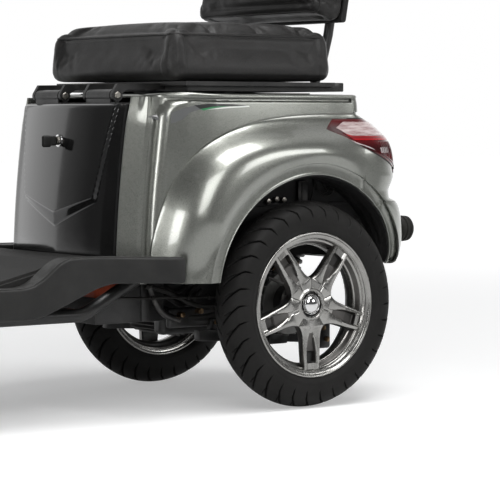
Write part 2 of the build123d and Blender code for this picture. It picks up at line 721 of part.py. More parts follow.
# ---------------------------------------------------------------- front panel of the rear body
def panel_plan(raised):
    """Plan of the bowed front panel, as a face in (X, Y)."""
    wide, edge, back = PANEL_HALF_WIDTH - GAP, PANEL_FRONT - raised, PANEL_FRONT + PANEL_DEPTH
    return make_face([ThreePointArc((-wide, edge), (0, edge - PANEL_BOW), (wide, edge)),
                      Line((wide, edge), (wide, back)),
                      ThreePointArc((wide, back), (0, back - PANEL_BOW), (-wide, back)),
                      Line((-wide, back), (-wide, edge))])


def build_front_panel():
    """The panel that closes the rear body to the front, its raised shield and the charging socket."""
    height = (PANEL_TOP - PANEL_FOOT) * BODY_RISE.length
    panel = extrude(Pos(0, 0, PANEL_FOOT) * panel_plan(0), height, dir=BODY_RISE)
    raised = extrude(Pos(0, 0, PANEL_FOOT) * panel_plan(SHIELD_RAISE), height, dir=BODY_RISE)
    wing_x, wing_z = SHIELD_WING
    shield = polygon((0, SHIELD_POINT_Z), SHIELD_WING, (SHIELD_TOP_HALF, PANEL_TOP),
                     (-SHIELD_TOP_HALF, PANEL_TOP), (-wing_x, wing_z))
    panel += raised & front_prism(shield, -BEYOND, 0)
    export("front_panel", panel - cylinder_y(0, SOCKET_Z, SOCKET_RADIUS, -BEYOND, FENDER_FRONT))
    start = PANEL_FRONT - PANEL_BOW + (SOCKET_Z - PANEL_FOOT) * BODY_LEAN - SOCKET_PROUD
    socket = cylinder_y(0, SOCKET_Z, SOCKET_RADIUS, start, start + SOCKET_LENGTH)
    bore = cylinder_y(0, SOCKET_Z, SOCKET_BORE, start - 1, start + SOCKET_LENGTH - SOCKET_PROUD)
    export("charge_socket", socket - bore)


# ---------------------------------------------------------------- frame and drive
def frame_rail():
    """The left rail, low under the floor and high over the axle."""
    rise_low, rise_knee, rise_high = RAIL_RISE
    start = DASH_Y + NECK_FOOT_BACK
    points = [(RAIL_NOSE_X, start, RAIL_LOW_Z), (RAIL_X, start + RAIL_FLARE, RAIL_LOW_Z),
              (RAIL_X, rise_low, RAIL_LOW_Z), (RAIL_X, rise_knee, RAIL_KNEE_Z),
              (RAIL_X, rise_high, RAIL_HIGH_Z), (RAIL_X, RAIL_END_Y, RAIL_HIGH_Z)]
    return tube_path(points, [RAIL_BEND] * 4, RAIL_RADIUS)


def neck_points():
    """The down tube's line from the steering head to the rails."""
    return [steered(NECK_JOIN, HEAD_RADIUS), steered(*NECK_BACK), Vector(0, DASH_Y, NECK_KNEE_Z),
            Vector(0, DASH_Y + NECK_FOOT_BACK, RAIL_LOW_Z - NECK_FOOT_SINK)]


def steering_head():
    """The head tube and its bore, on the steering axis."""
    head = upright(0, 0, HEAD_LOW, HEAD_HIGH, HEAD_RADIUS)
    bore = upright(0, 0, HEAD_LOW - HEAD_RADIUS, HEAD_HIGH + HEAD_RADIUS, STEM_RADIUS + RUNNING_CLEARANCE)
    return STEER * head, STEER * bore


def build_chassis():
    """Rails, neck with the steering head, cross members and the posts under the deck."""
    rail = frame_rail()
    head, bore = steering_head()
    neck = tube_path(neck_points(), NECK_BENDS, DOWN_TUBE_RADIUS) + head - bore
    export("steering_neck", neck)
    export_pair("frame_rail", rail - neck)
    places = [(DASH_Y + CROSS_FRONT_BACK, RAIL_LOW_Z), (RAIL_RISE[0] - CROSS_MARGIN, RAIL_LOW_Z),
              (CROSS_MIDDLE_Y, RAIL_HIGH_Z), (RAIL_END_Y - CROSS_REAR_INSET, RAIL_HIGH_Z)]
    bars = [cylinder_x(-RAIL_X, RAIL_X, y, z, CROSS_RADIUS) - rail - mirrored(rail) for y, z in places]
    export("frame_cross_members", *bars)
    posts = []
    for y in POST_Y:
        foot_z, post_x = RAIL_HIGH_Z - POST_FOOT_DROP, RAIL_X + POST_OUTSET
        post = upright(post_x, y, foot_z - POST_RADIUS, UNDER_DECK, POST_RADIUS)
        foot = cylinder_x(RAIL_X, post_x, y, foot_z, POST_RADIUS)
        posts.append(main_solid(post + foot - rail))
    export("seat_posts", *posts, *[mirrored(post) for post in posts])
    export("battery_box", block(-BATTERY_HALF_WIDTH, BATTERY_HALF_WIDTH, BATTERY_FRONT, BATTERY_REAR,
                                BATTERY_LOW, BATTERY_HIGH, BATTERY_ROUND))
    shock = rod((SHOCK_X, SHOCK_SEAT[0], TYRE_RADIUS + SHOCK_SEAT[1]),
                (SHOCK_X, SHOCK_HEAD_Y, RAIL_HIGH_Z - SHOCK_HEAD_DROP), SHOCK_RADIUS)
    shock += rod((SHOCK_X, SHOCK_FOOT[0], TYRE_RADIUS + SHOCK_FOOT[1]),
                 (SHOCK_X, SHOCK_SEAT[0], TYRE_RADIUS + SHOCK_SEAT[1]), SHOCK_EYE_RADIUS)
    shock = main_solid(shock - rear_axle() - rail)
    export("rear_shocks", shock, mirrored(shock))


def motor():
    """The finned motor in front of the axle."""
    can = cylinder_x(-MOTOR_HALF, MOTOR_HALF - MOTOR_CAP, MOTOR_Y, MOTOR_Z, MOTOR_RADIUS)
    fin = Pos(MOTOR_RADIUS + FIN_HEIGHT / 2 - 1, 0, 0) * Box(FIN_HEIGHT + 2, FIN_THICKNESS, FIN_LENGTH)
    for k in range(FIN_COUNT):
        can += Pos(-FIN_OFFSET, MOTOR_Y, MOTOR_Z) * Rot(0, 90, 0) * Rot(0, 0, 360 / FIN_COUNT * k) * fin
    return can


def rear_axle():
    """The axle tube with its gear case, its differential and the stubs that carry the wheels."""
    axle = cylinder_x(-AXLE_TUBE_HALF, AXLE_TUBE_HALF, 0, TYRE_RADIUS, AXLE_TUBE_RADIUS)
    axle += block(*GEAR_CASE_X, MOTOR_Y - GEAR_CASE_MARGIN, GEAR_CASE_MARGIN, MOTOR_Z - GEAR_CASE_FALL,
                  MOTOR_Z + GEAR_CASE_RISE, GEAR_CASE_ROUND)
    axle += cylinder_x(*DIFFERENTIAL_X, 0, TYRE_RADIUS, DIFFERENTIAL_RADIUS)
    stub_end = HALF_TRACK + AXLE_STUB_PAST
    axle += cylinder_x(-stub_end, stub_end, 0, TYRE_RADIUS, AXLE_RADIUS)
    return main_solid(axle - motor())


def build_drive():
    """Motor, rear axle and the brakes' backplates."""
    export("motor", motor())
    export("rear_axle", rear_axle())
    outer_x = HALF_TRACK - RIM_WIDTH / 2 - BRAKE_CLEARANCE
    inner_x = outer_x - BACKPLATE_THICKNESS
    plate = cylinder_x(inner_x, outer_x, 0, TYRE_RADIUS, BACKPLATE_RADIUS) - rear_axle()
    export("brake_backplates", plate, mirrored(plate))


# ---------------------------------------------------------------- floor
def behind_dash(points):
    """Places given by how far they lie behind the leg shield."""
    return [(DASH_Y + back, z) for back, z in points]


def before_panel(points):
    """Places given by how far they lie before the rear body's front panel."""
    return [(PANEL_FRONT - ahead, z) for ahead, z in points]


def build_floor():
    """Foot board, rubber mat and the skirts along both sides."""
    ramp, rear = before_panel(FLOOR_RAMP), PANEL_FRONT - FLOOR_REAR_GAP
    under, under_rear = before_panel(FLOOR_UNDER), FLOOR_HIGH - FLOOR_THICKNESS
    board = polygon((FLOOR_FRONT, FLOOR_LOW), *ramp, (rear, FLOOR_HIGH), (rear, under_rear), *under,
                    (FLOOR_FRONT, under[-1][1]))
    tunnel = rod(neck_points()[2], neck_points()[3], DOWN_TUBE_RADIUS + TUNNEL_PLAY)
    export("floor_board", side_prism(board, -FLOOR_HALF_WIDTH, FLOOR_HALF_WIDTH) - tunnel)
    first, last = DASH_Y + MAT_START, PANEL_FRONT - MAT_END_GAP
    layer = [(y, z + MAT_THICKNESS) for y, z in reversed(ramp)]
    mat = polygon((first, FLOOR_LOW), *ramp, (last, FLOOR_HIGH), (last, FLOOR_HIGH + MAT_THICKNESS), *layer,
                  (first, FLOOR_LOW + MAT_THICKNESS))
    half = FLOOR_HALF_WIDTH - MAT_MARGIN
    export("floor_mat", side_prism(mat, -half, half))
    skirt = polygon((FLOOR_FRONT, TRIM_NOSE_LOW), (FLOOR_FRONT, FLOOR_LOW), *before_panel(TRIM_TOP),
                    *before_panel(TRIM_UNDER), (DASH_Y + TRIM_START, TRIM_LOW))
    export_pair("floor_trim", side_prism(skirt, FLOOR_HALF_WIDTH + GAP, TRIM_HALF_WIDTH))


# ---------------------------------------------------------------- front end
def nose_form(inset):
    """The headlamp housing about the steering axis, in the steering's own frame."""
    wide, front, back = NOSE_HALF_WIDTH - inset, NOSE_FRONT - inset, NOSE_BACK - inset
    half = [(wide, back), (wide, -front * NOSE_CHEEK), (wide * NOSE_BROW, -front)]
    plan = polygon(*[(-x, y) for x, y in half], *reversed(half))
    plan = fillet([v for v in plan.vertices() if v.Y < back - 1], NOSE_ROUND - inset)
    low = NOSE_LOW - (NOSE_SINK if inset > 0 else 0)
    body = extrude(Pos(0, 0, low) * plan, NOSE_HIGH - inset - low, taper=NOSE_TAPER)
    return fillet(body.faces().sort_by(Axis.Z)[-1].edges(), NOSE_TOP_ROUND - inset)


def leg_shield_form(inset):
    """The leg shield as a full body, or its inside when inset by its wall."""
    side = polygon(*behind_dash(LEG_SHIELD_FRONT), *behind_dash(LEG_SHIELD_BACK))
    view = polygon(*[(-x, z) for x, z in LEG_SHIELD_HALF], *reversed(LEG_SHIELD_HALF))
    view = fillet([v for v in view.vertices() if v.Y > LEG_SHIELD_SHOULDER_Z], LEG_SHIELD_ROUND)
    if inset:
        side, view = offset(side, -inset, kind=Kind.INTERSECTION), offset(view, -inset)
    return side_prism(side, -BEYOND, BEYOND) & front_prism(view, -BEYOND * 2, 0)


def headlamp_outline(grown=0.0):
    """Front view of the headlamp, as a face in (X, Z) of the steering's own frame."""
    low, high = NOSE_HIGH - LENS_LOW, NOSE_HIGH - LENS_HIGH
    face = polygon((-LENS_LOW_HALF, low), (LENS_LOW_HALF, low), (LENS_HIGH_HALF, high),
                   (-LENS_HIGH_HALF, high))
    face = fillet(face.vertices(), LENS_ROUND)
    return offset(face, grown) if grown else face


def build_front():
    """Leg shield, headlamp housing and headlamp, and the front indicators."""
    points = neck_points()
    above, below = points[0] - points[1], points[-1] - points[-2]
    way = [points[0] + above, *points[1:-1], points[-1] + below * NECK_WAY_PAST]
    neck_way = tube_path(way, NECK_BENDS, DOWN_TUBE_RADIUS + NECK_WAY_PLAY)
    column = STEER * upright(0, 0, HEAD_LOW, BAR_HEIGHT + COLUMN_SPACE, COLUMN_SPACE)
    form = leg_shield_form(0)
    shield = form - leg_shield_form(LEG_SHIELD_WALL) - neck_way - STEER * nose_form(-NOSE_PLAY) - column
    export("leg_shield", main_solid(shield))

    nose = nose_form(0) - nose_form(WALL)
    nose -= upright(0, 0, NOSE_HIGH - NOSE_SINK, NOSE_HIGH + NOSE_SINK, STEM_RADIUS + 2 * WALL)
    nose -= Pos(0, NOSE_BACK, HEAD_HIGH - NECK_SLOT_DROP) * Box(*NECK_SLOT)
    nose -= front_prism(headlamp_outline(GAP), -BEYOND, -NOSE_SINK)
    lamp = nose_form(-LENS_PROUD) - nose_form(LENS_DEPTH)
    lamp = lamp & front_prism(headlamp_outline(), -BEYOND, -NOSE_SINK)
    export("front_fairing", STEER * nose)
    export("headlamp", STEER * lamp)

    lens = Pos(INDICATOR_X, DASH_Y - INDICATOR_LEAD, INDICATOR_Z) * Box(*INDICATOR_SIZE)
    lens = fillet(lens.edges().filter_by(Axis.Y), INDICATOR_ROUND)
    lens = (lens - form).solids().sort_by(Axis.Y)[0]
    export("front_indicators", lens, mirrored(lens))


# ---------------------------------------------------------------- steering
def handlebar():
    """The bent handlebar in the steering's own frame."""
    tip = (BAR_HALF_WIDTH, BAR_TIP_BACK, BAR_HEIGHT + BAR_RISE - BAR_TIP_DROP)
    half = [tip, (*BAR_KNEE, BAR_HEIGHT + BAR_RISE), (BAR_CENTRE_HALF, 0, BAR_HEIGHT)]
    return tube_path([*[(-x, y, z) for x, y, z in half], *reversed(half)], [BAR_BEND] * 4, BAR_RADIUS)


def fork_form():
    """Fork legs, crown, stem and the front axle in the steering's own frame."""
    fork = upright(0, 0, CROWN_LOW, BAR_HEIGHT, STEM_RADIUS)
    crown = Box((FORK_HALF_GAP + CROWN_MARGIN) * 2, FORK_OFFSET + CROWN_DEPTH, CROWN_HIGH - CROWN_LOW)
    crown = fillet(crown.edges().filter_by(Axis.Z), CROWN_ROUND)
    fork += Pos(0, -FORK_OFFSET / 2, (CROWN_LOW + CROWN_HIGH) / 2) * crown
    tube_low, tube_high = FORK_LEG_HIGH - FORK_TUBE_SINK, CROWN_HIGH - FORK_TUBE_SPARE
    for x in (-FORK_HALF_GAP, FORK_HALF_GAP):
        fork += upright(x, -FORK_OFFSET, FORK_LEG_LOW, FORK_LEG_HIGH, FORK_LEG_RADIUS)
        fork += upright(x, -FORK_OFFSET, tube_low, tube_high, FORK_TUBE_RADIUS)
    return fork + Pos(0, -FORK_OFFSET, 0) * Rot(0, 90, 0) * Cylinder(AXLE_RADIUS, FORK_HALF_GAP * 2)


def front_fender(fork):
    """The fender over the front wheel, carried by the fork."""
    inner, half = TYRE_RADIUS + FENDER_GAP, FRONT_FENDER_HALF_WIDTH
    ring = Cylinder(inner + WALL, half * 2) - Cylinder(inner, (half - WALL) * 2)
    ring = Rot(0, 90, 0) * (ring - Cylinder(inner - FRONT_FENDER_FLANK, half * 3))
    turn = 180 - FRONT_FENDER_TIP + FRONT_FENDER_TAIL
    reach, end = inner * 2, radians(turn)
    wedge = make_face([Line((0, 0), (reach, 0)), CenterArc((0, 0), reach, 0, turn),
                       Line((0, 0), (reach * cos(end), reach * sin(end)))])
    wedge = Rot(RAKE - FRONT_FENDER_TAIL, 0, 0) * side_prism(wedge, -inner, inner)
    return main_solid(Pos(0, -FORK_OFFSET, 0) * (ring & wedge) - fork)


def build_steering():
    """Fork, front fender, handlebar and its cover."""
    bar = handlebar()
    fork = fork_form() - bar
    cover = fillet(Box(*COVER_SIZE).edges(), COVER_ROUND)
    cover = Pos(0, -COVER_FORWARD, BAR_HEIGHT - COVER_DROP) * cover - bar - fork
    export("fork", STEER * main_solid(fork))
    export("handlebar", STEER * bar)
    export("bar_cover", STEER * main_solid(cover))
    export("front_fender", STEER * front_fender(fork))


def build_controls():
    """Grips, brake levers and mirrors on the handlebar."""
    bar = handlebar()
    knee = Vector(*BAR_KNEE, BAR_HEIGHT + BAR_RISE)
    tip = Vector(BAR_HALF_WIDTH, BAR_TIP_BACK, BAR_HEIGHT + BAR_RISE - BAR_TIP_DROP)
    along = (tip - knee).normalized()
    grip = rod(knee + along * GRIP_START, tip + along * WALL, GRIP_RADIUS) - bar
    export("grips", STEER * grip, STEER * mirrored(grip))

    path = [knee + along * reach + Vector(*shift) for reach, shift in LEVER_PATH]
    lever = rod(knee + along * PERCH_SPAN[0], knee + along * PERCH_SPAN[1], PERCH_RADIUS)
    lever = lever + tube_path(path, [LEVER_BEND], LEVER_RADIUS) - bar
    export("brake_levers", STEER * lever, STEER * mirrored(lever))

    centre = Vector(BAR_CENTRE_HALF, 0, BAR_HEIGHT)
    slope = (knee - centre).normalized()
    seat = centre + slope * CLAMP_REACH
    head = Vector(MIRROR_X, 0, BAR_HEIGHT + MIRROR_RISE)
    mirror_piece = rod(seat - slope * CLAMP_HALF, seat + slope * CLAMP_HALF, CLAMP_RADIUS)
    stalk = [seat + Vector(*STALK_START), seat + Vector(*STALK_KNEE), head + Vector(*STALK_END)]
    mirror_piece += tube_path(stalk, [STALK_BEND], LEVER_RADIUS)
    mirror_piece += Pos(*head) * extrude(Plane.XZ * Ellipse(*MIRROR_HALF), MIRROR_HALF_DEPTH, both=True)
    export_pair("mirror", STEER * (mirror_piece - bar))


# ---------------------------------------------------------------- seat
def build_hinge():
    """The chassis side of the seat's hinge."""
    half = HINGE_BARREL_LENGTH / 2
    front, rear = HINGE_SHELF_SPAN
    base = block(-HINGE_SHELF_HALF, HINGE_SHELF_HALF, HINGE_Y + front, HINGE_Y + rear, PANEL_TOP,
                 PANEL_TOP + HINGE_SHELF_THICKNESS)
    foot = HINGE_BARREL_RADIUS - 2
    for x in (-HINGE_BARREL_X, HINGE_BARREL_X):
        barrel = cylinder_x(x - half, x + half, HINGE_Y, HINGE_Z, HINGE_BARREL_RADIUS)
        barrel += block(x - half, x + half, HINGE_Y - foot, HINGE_Y + foot, PANEL_TOP + 1, HINGE_Z)
        bore = cylinder_x(x - half - 1, x + half + 1, HINGE_Y, HINGE_Z, HINGE_PIN_RADIUS + RUNNING_CLEARANCE)
        base += barrel - bore
    export("seat_hinge_base", base)


def seat_pan():
    """The pan with the folded skirt under it and the tongue that carries the back."""
    pan_top = PAN_BOTTOM + PAN_THICKNESS
    pan = block(-SEAT_HALF_WIDTH, SEAT_HALF_WIDTH, PAN_FRONT, PAN_REAR, PAN_BOTTOM, pan_top)
    pan += block(-PAN_TONGUE_HALF, PAN_TONGUE_HALF, PAN_REAR - PAN_TONGUE_DEPTH, PAN_REAR + PAN_TONGUE_REACH,
                 PAN_BOTTOM - PAN_TONGUE_DEPTH, pan_top)
    low, inset = PAN_BOTTOM - PAN_SKIRT_DEPTH, PAN_SKIRT_INSET
    half, front, rear = SEAT_HALF_WIDTH - inset, PAN_FRONT + inset, PAN_REAR - WALL
    skirt = block(-half, half, front, rear, low, PAN_BOTTOM)
    hollow = block(WALL - half, half - WALL, front + WALL, rear - WALL, low, PAN_BOTTOM)
    return pan + (skirt - hollow)


def seat_base():
    """The tilting seat's pan with its hinge straps, lugs and pins."""
    base = seat_pan()
    half = HINGE_BARREL_LENGTH / 2
    pin_half = half + HINGE_LUG_GAP + HINGE_LUG + 1
    near = [(HINGE_Y + y, HINGE_Z + z) for y, z in STRAP_NEAR]
    far = [(PAN_FRONT + STRAP_REACH, PAN_BOTTOM + z) for z in STRAP_FAR]
    strap = polygon(*near[:2], *far, *near[2:])
    for x in (-HINGE_BARREL_X, HINGE_BARREL_X):
        base += cylinder_x(x - pin_half, x + pin_half, HINGE_Y, HINGE_Z, HINGE_PIN_RADIUS)
        for side in (-1, 1):
            middle = x + side * (half + HINGE_LUG_GAP + HINGE_LUG / 2)
            low, high = middle - HINGE_LUG / 2, middle + HINGE_LUG / 2
            base += cylinder_x(low, high, HINGE_Y, HINGE_Z, HINGE_BARREL_RADIUS)
            base += side_prism(strap, low, high)
    return base


def seat_back_frame():
    """The two uprights behind the back, their cross tube and the armrests' pins."""
    bar_end, pin_end = ARM_INNER_X - ARM_BAR_INSET, ARM_INNER_X + ARM_WIDTH
    frame = cylinder_x(-bar_end, bar_end, ARM_PIVOT_Y, ARM_PIVOT_Z, ARM_BAR_RADIUS)
    frame += cylinder_x(-pin_end, pin_end, ARM_PIVOT_Y, ARM_PIVOT_Z, ARM_PIN_RADIUS)
    behind = BACK_THICKNESS + BACK_TUBE_RADIUS + 1
    for x in (-BACK_TUBE_X, BACK_TUBE_X):
        foot = Vector(x, PAN_REAR + BACK_TUBE_FOOT, PAN_BOTTOM + PAN_THICKNESS)
        knee = Vector(x, PAN_REAR + BACK_TUBE_KNEE[0], PAN_BOTTOM + BACK_TUBE_KNEE[1])
        low, high = [(BACK_PLACE * Pos(x, behind, z)).position for z in (-BACK_TUBE_DROP, BACK_TUBE_REACH)]
        frame += tube_path([foot, knee, low, high], [BACK_TUBE_BEND] * 2, BACK_TUBE_RADIUS)
    return frame


def armrest():
    """The left armrest: its pad and the hub that turns on the frame's pin."""
    outer_x = ARM_INNER_X + ARM_WIDTH
    pad = block(ARM_INNER_X, outer_x, ARM_FRONT, ARM_PIVOT_Y - ARM_HUB_RADIUS / 2,
                ARM_PIVOT_Z - ARM_BELOW, ARM_PIVOT_Z + ARM_ABOVE, ARM_ROUND)
    pad += cylinder_x(ARM_INNER_X + ARM_HUB_INSET, outer_x - ARM_HUB_INSET, ARM_PIVOT_Y, ARM_PIVOT_Z,
                      ARM_HUB_RADIUS)
    bore = ARM_PIN_RADIUS + RUNNING_CLEARANCE
    return pad - cylinder_x(ARM_INNER_X - 1, outer_x + 1, ARM_PIVOT_Y, ARM_PIVOT_Z, bore)


def build_seat():
    """The tilting seat: base, cushions, back frame and armrests."""
    base = seat_base()
    half = SEAT_HALF_WIDTH + CUSHION_OVERHANG
    cushion = block(-half, half, CUSHION_FRONT, CUSHION_REAR, PAN_BOTTOM + PAN_THICKNESS, CUSHION_TOP,
                    CUSHION_ROUND)
    cushion -= block(-half, half, CUSHION_FRONT, PAN_FRONT, PAN_BOTTOM, PAN_BOTTOM + CUSHION_LIFT)
    back = block(-BACK_HALF_WIDTH, BACK_HALF_WIDTH, 0, BACK_THICKNESS, 0, BACK_HEIGHT, CUSHION_ROUND)
    back = BACK_PLACE * back
    export("seat_base", base)
    export("seat_cushion", cushion)
    export("seat_back", back)
    export("seat_back_frame", main_solid(seat_back_frame() - back - base - cushion))
    export_pair("armrest", armrest())


if __name__ == "__main__":
    os.makedirs("parts", exist_ok=True)
    for job in (build_wheels, build_lamps, build_rear_body, build_front_panel, build_chassis, build_drive,
                build_floor, build_front, build_steering, build_controls, build_hinge, build_seat):
        job()
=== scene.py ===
"""Looks of an electric three-wheel scooter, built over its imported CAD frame.

Lengths are metres.  Places of the rear half are given from the point on the ground below the rear
axle, +X to the rider's left and the front facing -Y, and Paintshop.fit carries them to the vehicle's frame.
"""

from __future__ import annotations

import json
import logging
import math
from collections.abc import Callable, Iterator, Sequence
from contextlib import contextmanager
from dataclasses import dataclass, field
from enum import Enum

import bpy
from mathutils import Matrix, Vector
from mathutils.bvhtree import BVHTree

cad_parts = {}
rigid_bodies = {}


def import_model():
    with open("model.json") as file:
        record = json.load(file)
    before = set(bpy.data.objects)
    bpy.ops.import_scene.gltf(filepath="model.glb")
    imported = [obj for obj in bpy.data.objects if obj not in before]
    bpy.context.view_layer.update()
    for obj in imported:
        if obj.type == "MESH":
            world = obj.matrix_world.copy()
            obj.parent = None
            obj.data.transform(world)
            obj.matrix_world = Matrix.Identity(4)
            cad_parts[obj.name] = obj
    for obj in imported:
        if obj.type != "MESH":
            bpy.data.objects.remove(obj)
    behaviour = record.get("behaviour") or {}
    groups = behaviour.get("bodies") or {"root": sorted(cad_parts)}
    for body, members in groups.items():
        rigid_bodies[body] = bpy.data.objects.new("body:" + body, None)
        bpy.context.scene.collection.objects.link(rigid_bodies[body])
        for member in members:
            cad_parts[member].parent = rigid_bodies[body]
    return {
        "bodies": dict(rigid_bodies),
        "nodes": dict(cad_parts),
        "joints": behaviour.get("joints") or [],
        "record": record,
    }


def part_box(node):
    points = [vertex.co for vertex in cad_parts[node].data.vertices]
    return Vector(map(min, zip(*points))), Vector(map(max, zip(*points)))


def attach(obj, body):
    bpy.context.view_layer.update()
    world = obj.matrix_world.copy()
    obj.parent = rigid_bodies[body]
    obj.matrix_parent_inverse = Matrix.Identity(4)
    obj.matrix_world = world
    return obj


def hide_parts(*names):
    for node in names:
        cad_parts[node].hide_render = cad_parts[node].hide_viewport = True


log = logging.getLogger("scooter")

Piece = bpy.types.Object
Point = tuple[float, float, float]
Flat = tuple[float, float]

FINE = 1e-6  # how near points have to be to merge where a skin has short edges

# angles that point a piece made along +X to the front, to the rear, up and down
TO_FRONT: Point = (0, 0, -math.pi / 2)
TO_REAR: Point = (0, 0, math.pi / 2)
UPWARDS: Point = (0, -math.pi / 2, 0)
DOWNWARDS: Point = (0, math.pi / 2, 0)


# ---------------------------------------------------------------- mesh craft
def deselect_all() -> None:
    """Leaves nothing selected and nothing active in edit mode."""
    if bpy.context.mode != "OBJECT":
        bpy.ops.object.mode_set(mode="OBJECT")
    bpy.ops.object.select_all(action="DESELECT")


def take(*objects: Piece) -> None:
    """Selects these objects alone and makes the first one active."""
    deselect_all()
    for item in objects:
        item.select_set(True)
    bpy.context.view_layer.objects.active = objects[0]


@contextmanager
def editing(piece: Piece, start: str = "SELECT") -> Iterator[None]:
    """Edit mode on one piece, left again afterwards.

    Args:
        piece: The mesh object.
        start: SELECT or DESELECT, for the whole mesh when edit mode begins.
    Yields:
        Nothing; the operators in the block work on the piece.
    """
    take(piece)
    bpy.ops.object.mode_set(mode="EDIT")
    bpy.ops.mesh.select_all(action=start)
    yield
    bpy.ops.object.mode_set(mode="OBJECT")


def face_outwards() -> None:
    """Selects the whole mesh in edit mode and turns its faces outwards."""
    bpy.ops.mesh.select_all(action="SELECT")
    bpy.ops.mesh.normals_make_consistent(inside=False)


def newest(name: str) -> Piece:
    """Names the object that the last primitive operator added.

    Args:
        name: The piece's name.
    Returns:
        The active object.
    """
    made = bpy.context.active_object
    made.name = name
    made.data.name = name
    return made


def settle(piece: Piece) -> Piece:
    """Moves a piece's place into its mesh, so that its object sits at the origin."""
    take(piece)
    bpy.ops.object.transform_apply(location=True, rotation=True, scale=True)
    return piece


def tipped(degrees: float) -> Matrix:
    """A turn about the X axis."""
    return Matrix.Rotation(math.radians(degrees), 4, "X")


def set_down(piece: Piece, place: Point, angles: Point) -> Piece:
    """Turns a piece made round the origin, in radians about X, Y and Z, and moves it to its place."""
    piece.rotation_euler = angles
    settle(piece)
    piece.location = place
    return settle(piece)


def apply_modifier(piece: Piece, kind: str, **settings: object) -> Piece:
    """Adds one modifier, sets it and applies it.

    Args:
        piece: The mesh object.
        kind: Blender's modifier type.
        settings: Attributes of the modifier.
    Returns:
        The same object.
    """
    take(piece)
    modifier = piece.modifiers.new(kind.title(), kind)
    for key, value in settings.items():
        setattr(modifier, key, value)
    bpy.ops.object.modifier_apply(modifier=modifier.name)
    return piece


def smooth(piece: Piece, angle: float = 35.0) -> Piece:
    """Shades smooth across edges flatter than the angle, in degrees."""
    take(piece)
    bpy.ops.object.shade_smooth_by_angle(angle=math.radians(angle))
    return piece


def weld(piece: Piece, distance: float = 1e-5) -> Piece:
    """Merges doubled points and turns every face outwards."""
    with editing(piece):
        bpy.ops.mesh.remove_doubles(threshold=distance)
        bpy.ops.mesh.normals_make_consistent(inside=False)
    return piece


def flipped(piece: Piece) -> Piece:
    """Turns every face over."""
    with editing(piece):
        bpy.ops.mesh.flip_normals()
    return piece


def patch(name: str, across: int, along: int, place: Callable[[float, float], Point]) -> Piece:
    """A grid primitive carried onto a curved surface.

    Args:
        name: The piece's name.
        across: Cells along the first parameter.
        along: Cells along the second parameter.
        place: Gives the point for both parameters, each from 0 to 1.
    Returns:
        The open surface.
    """
    deselect_all()
    bpy.ops.mesh.primitive_grid_add(x_subdivisions=across, y_subdivisions=along, size=2)
    piece = newest(name)
    for vertex in piece.data.vertices:
        vertex.co = place((vertex.co.x + 1) / 2, (vertex.co.y + 1) / 2)
    return piece


def outward(piece: Piece, core: Point) -> Piece:
    """Turns the faces of an open surface away from a point inside the vehicle."""
    centre = Vector(core)
    facing = sum(face.area * face.normal.dot(face.center - centre) for face in piece.data.polygons)
    return flipped(piece) if facing < 0 else piece


def thicken(piece: Piece, wall: float, core: Point = (0.0, 0.0, 0.42)) -> Piece:
    """Gives an open surface a wall behind it.

    Args:
        piece: The open surface.
        wall: The wall's thickness.
        core: A point behind the surface.
    Returns:
        The closed shell.
    """
    outward(piece, core)
    return apply_modifier(piece, "SOLIDIFY", thickness=wall, offset=-1, use_even_offset=True)


def bevelled(piece: Piece, width: float, segments: int = 3, angle: float = 35.0) -> Piece:
    """Rounds the edges sharper than the angle."""
    return apply_modifier(piece, "BEVEL", width=width, segments=segments, limit_method="ANGLE",
                          angle_limit=math.radians(angle), harden_normals=False)


def joined(name: str, pieces: Sequence[Piece]) -> Piece:
    """Joins several meshes in one object."""
    take(*pieces)
    bpy.ops.object.join()
    return newest(name)


def doubled(piece: Piece, name: str) -> Piece:
    """A copy with its own mesh."""
    take(piece)
    bpy.ops.object.duplicate(linked=False)
    return newest(name)


def mirrored(piece: Piece, name: str) -> Piece:
    """The piece's twin on the other side of the vehicle."""
    twin = doubled(piece, name)
    twin.scale.x = -1
    return flipped(settle(twin))


def carve(piece: Piece, cutter: Piece) -> Piece:
    """Cuts the space of a closed mesh out of a piece and removes the cutter."""
    apply_modifier(piece, "BOOLEAN", operation="DIFFERENCE", object=cutter, solver="EXACT")
    bpy.data.objects.remove(cutter)
    return piece


def prism(name: str, outline: Sequence[Point], sweep: Point) -> Piece:
    """A flat outline pushed out into a solid.

    Args:
        name: The piece's name.
        outline: The corners, in one plane.
        sweep: How far and where to they are pushed.
    Returns:
        The closed solid.
    """
    deselect_all()
    bpy.ops.mesh.primitive_circle_add(vertices=len(outline), fill_type="NGON", radius=1)
    piece = newest(name)
    for vertex, corner in zip(piece.data.vertices, outline):
        vertex.co = corner
    with editing(piece):
        bpy.ops.mesh.extrude_region_move(TRANSFORM_OT_translate={"value": sweep})
        face_outwards()
    return piece


def turned(name: str, profile: Sequence[Flat], centre: Point = (0, 0, 0), steps: int = 96) -> Piece:
    """A closed profile turned about an axis along X.

    Args:
        name: The piece's name.
        profile: Points (across, radius), across measured along X from the centre.
        centre: A point on the axis.
        steps: Faces round the axis.
    Returns:
        The turned shape, its doubles merged.
    """
    deselect_all()
    bpy.ops.mesh.primitive_circle_add(vertices=len(profile), fill_type="NOTHING", radius=1)
    piece = newest(name)
    cx, cy, cz = centre
    for vertex, (across, radius) in zip(piece.data.vertices, profile):
        vertex.co = (cx + across, cy, cz + radius)
    with editing(piece):
        bpy.ops.mesh.spin(steps=steps, angle=math.tau, center=centre, axis=(1, 0, 0))
        bpy.ops.mesh.select_all(action="SELECT")
        bpy.ops.mesh.remove_doubles(threshold=1e-5)
        bpy.ops.mesh.normals_make_consistent(inside=False)
    return piece


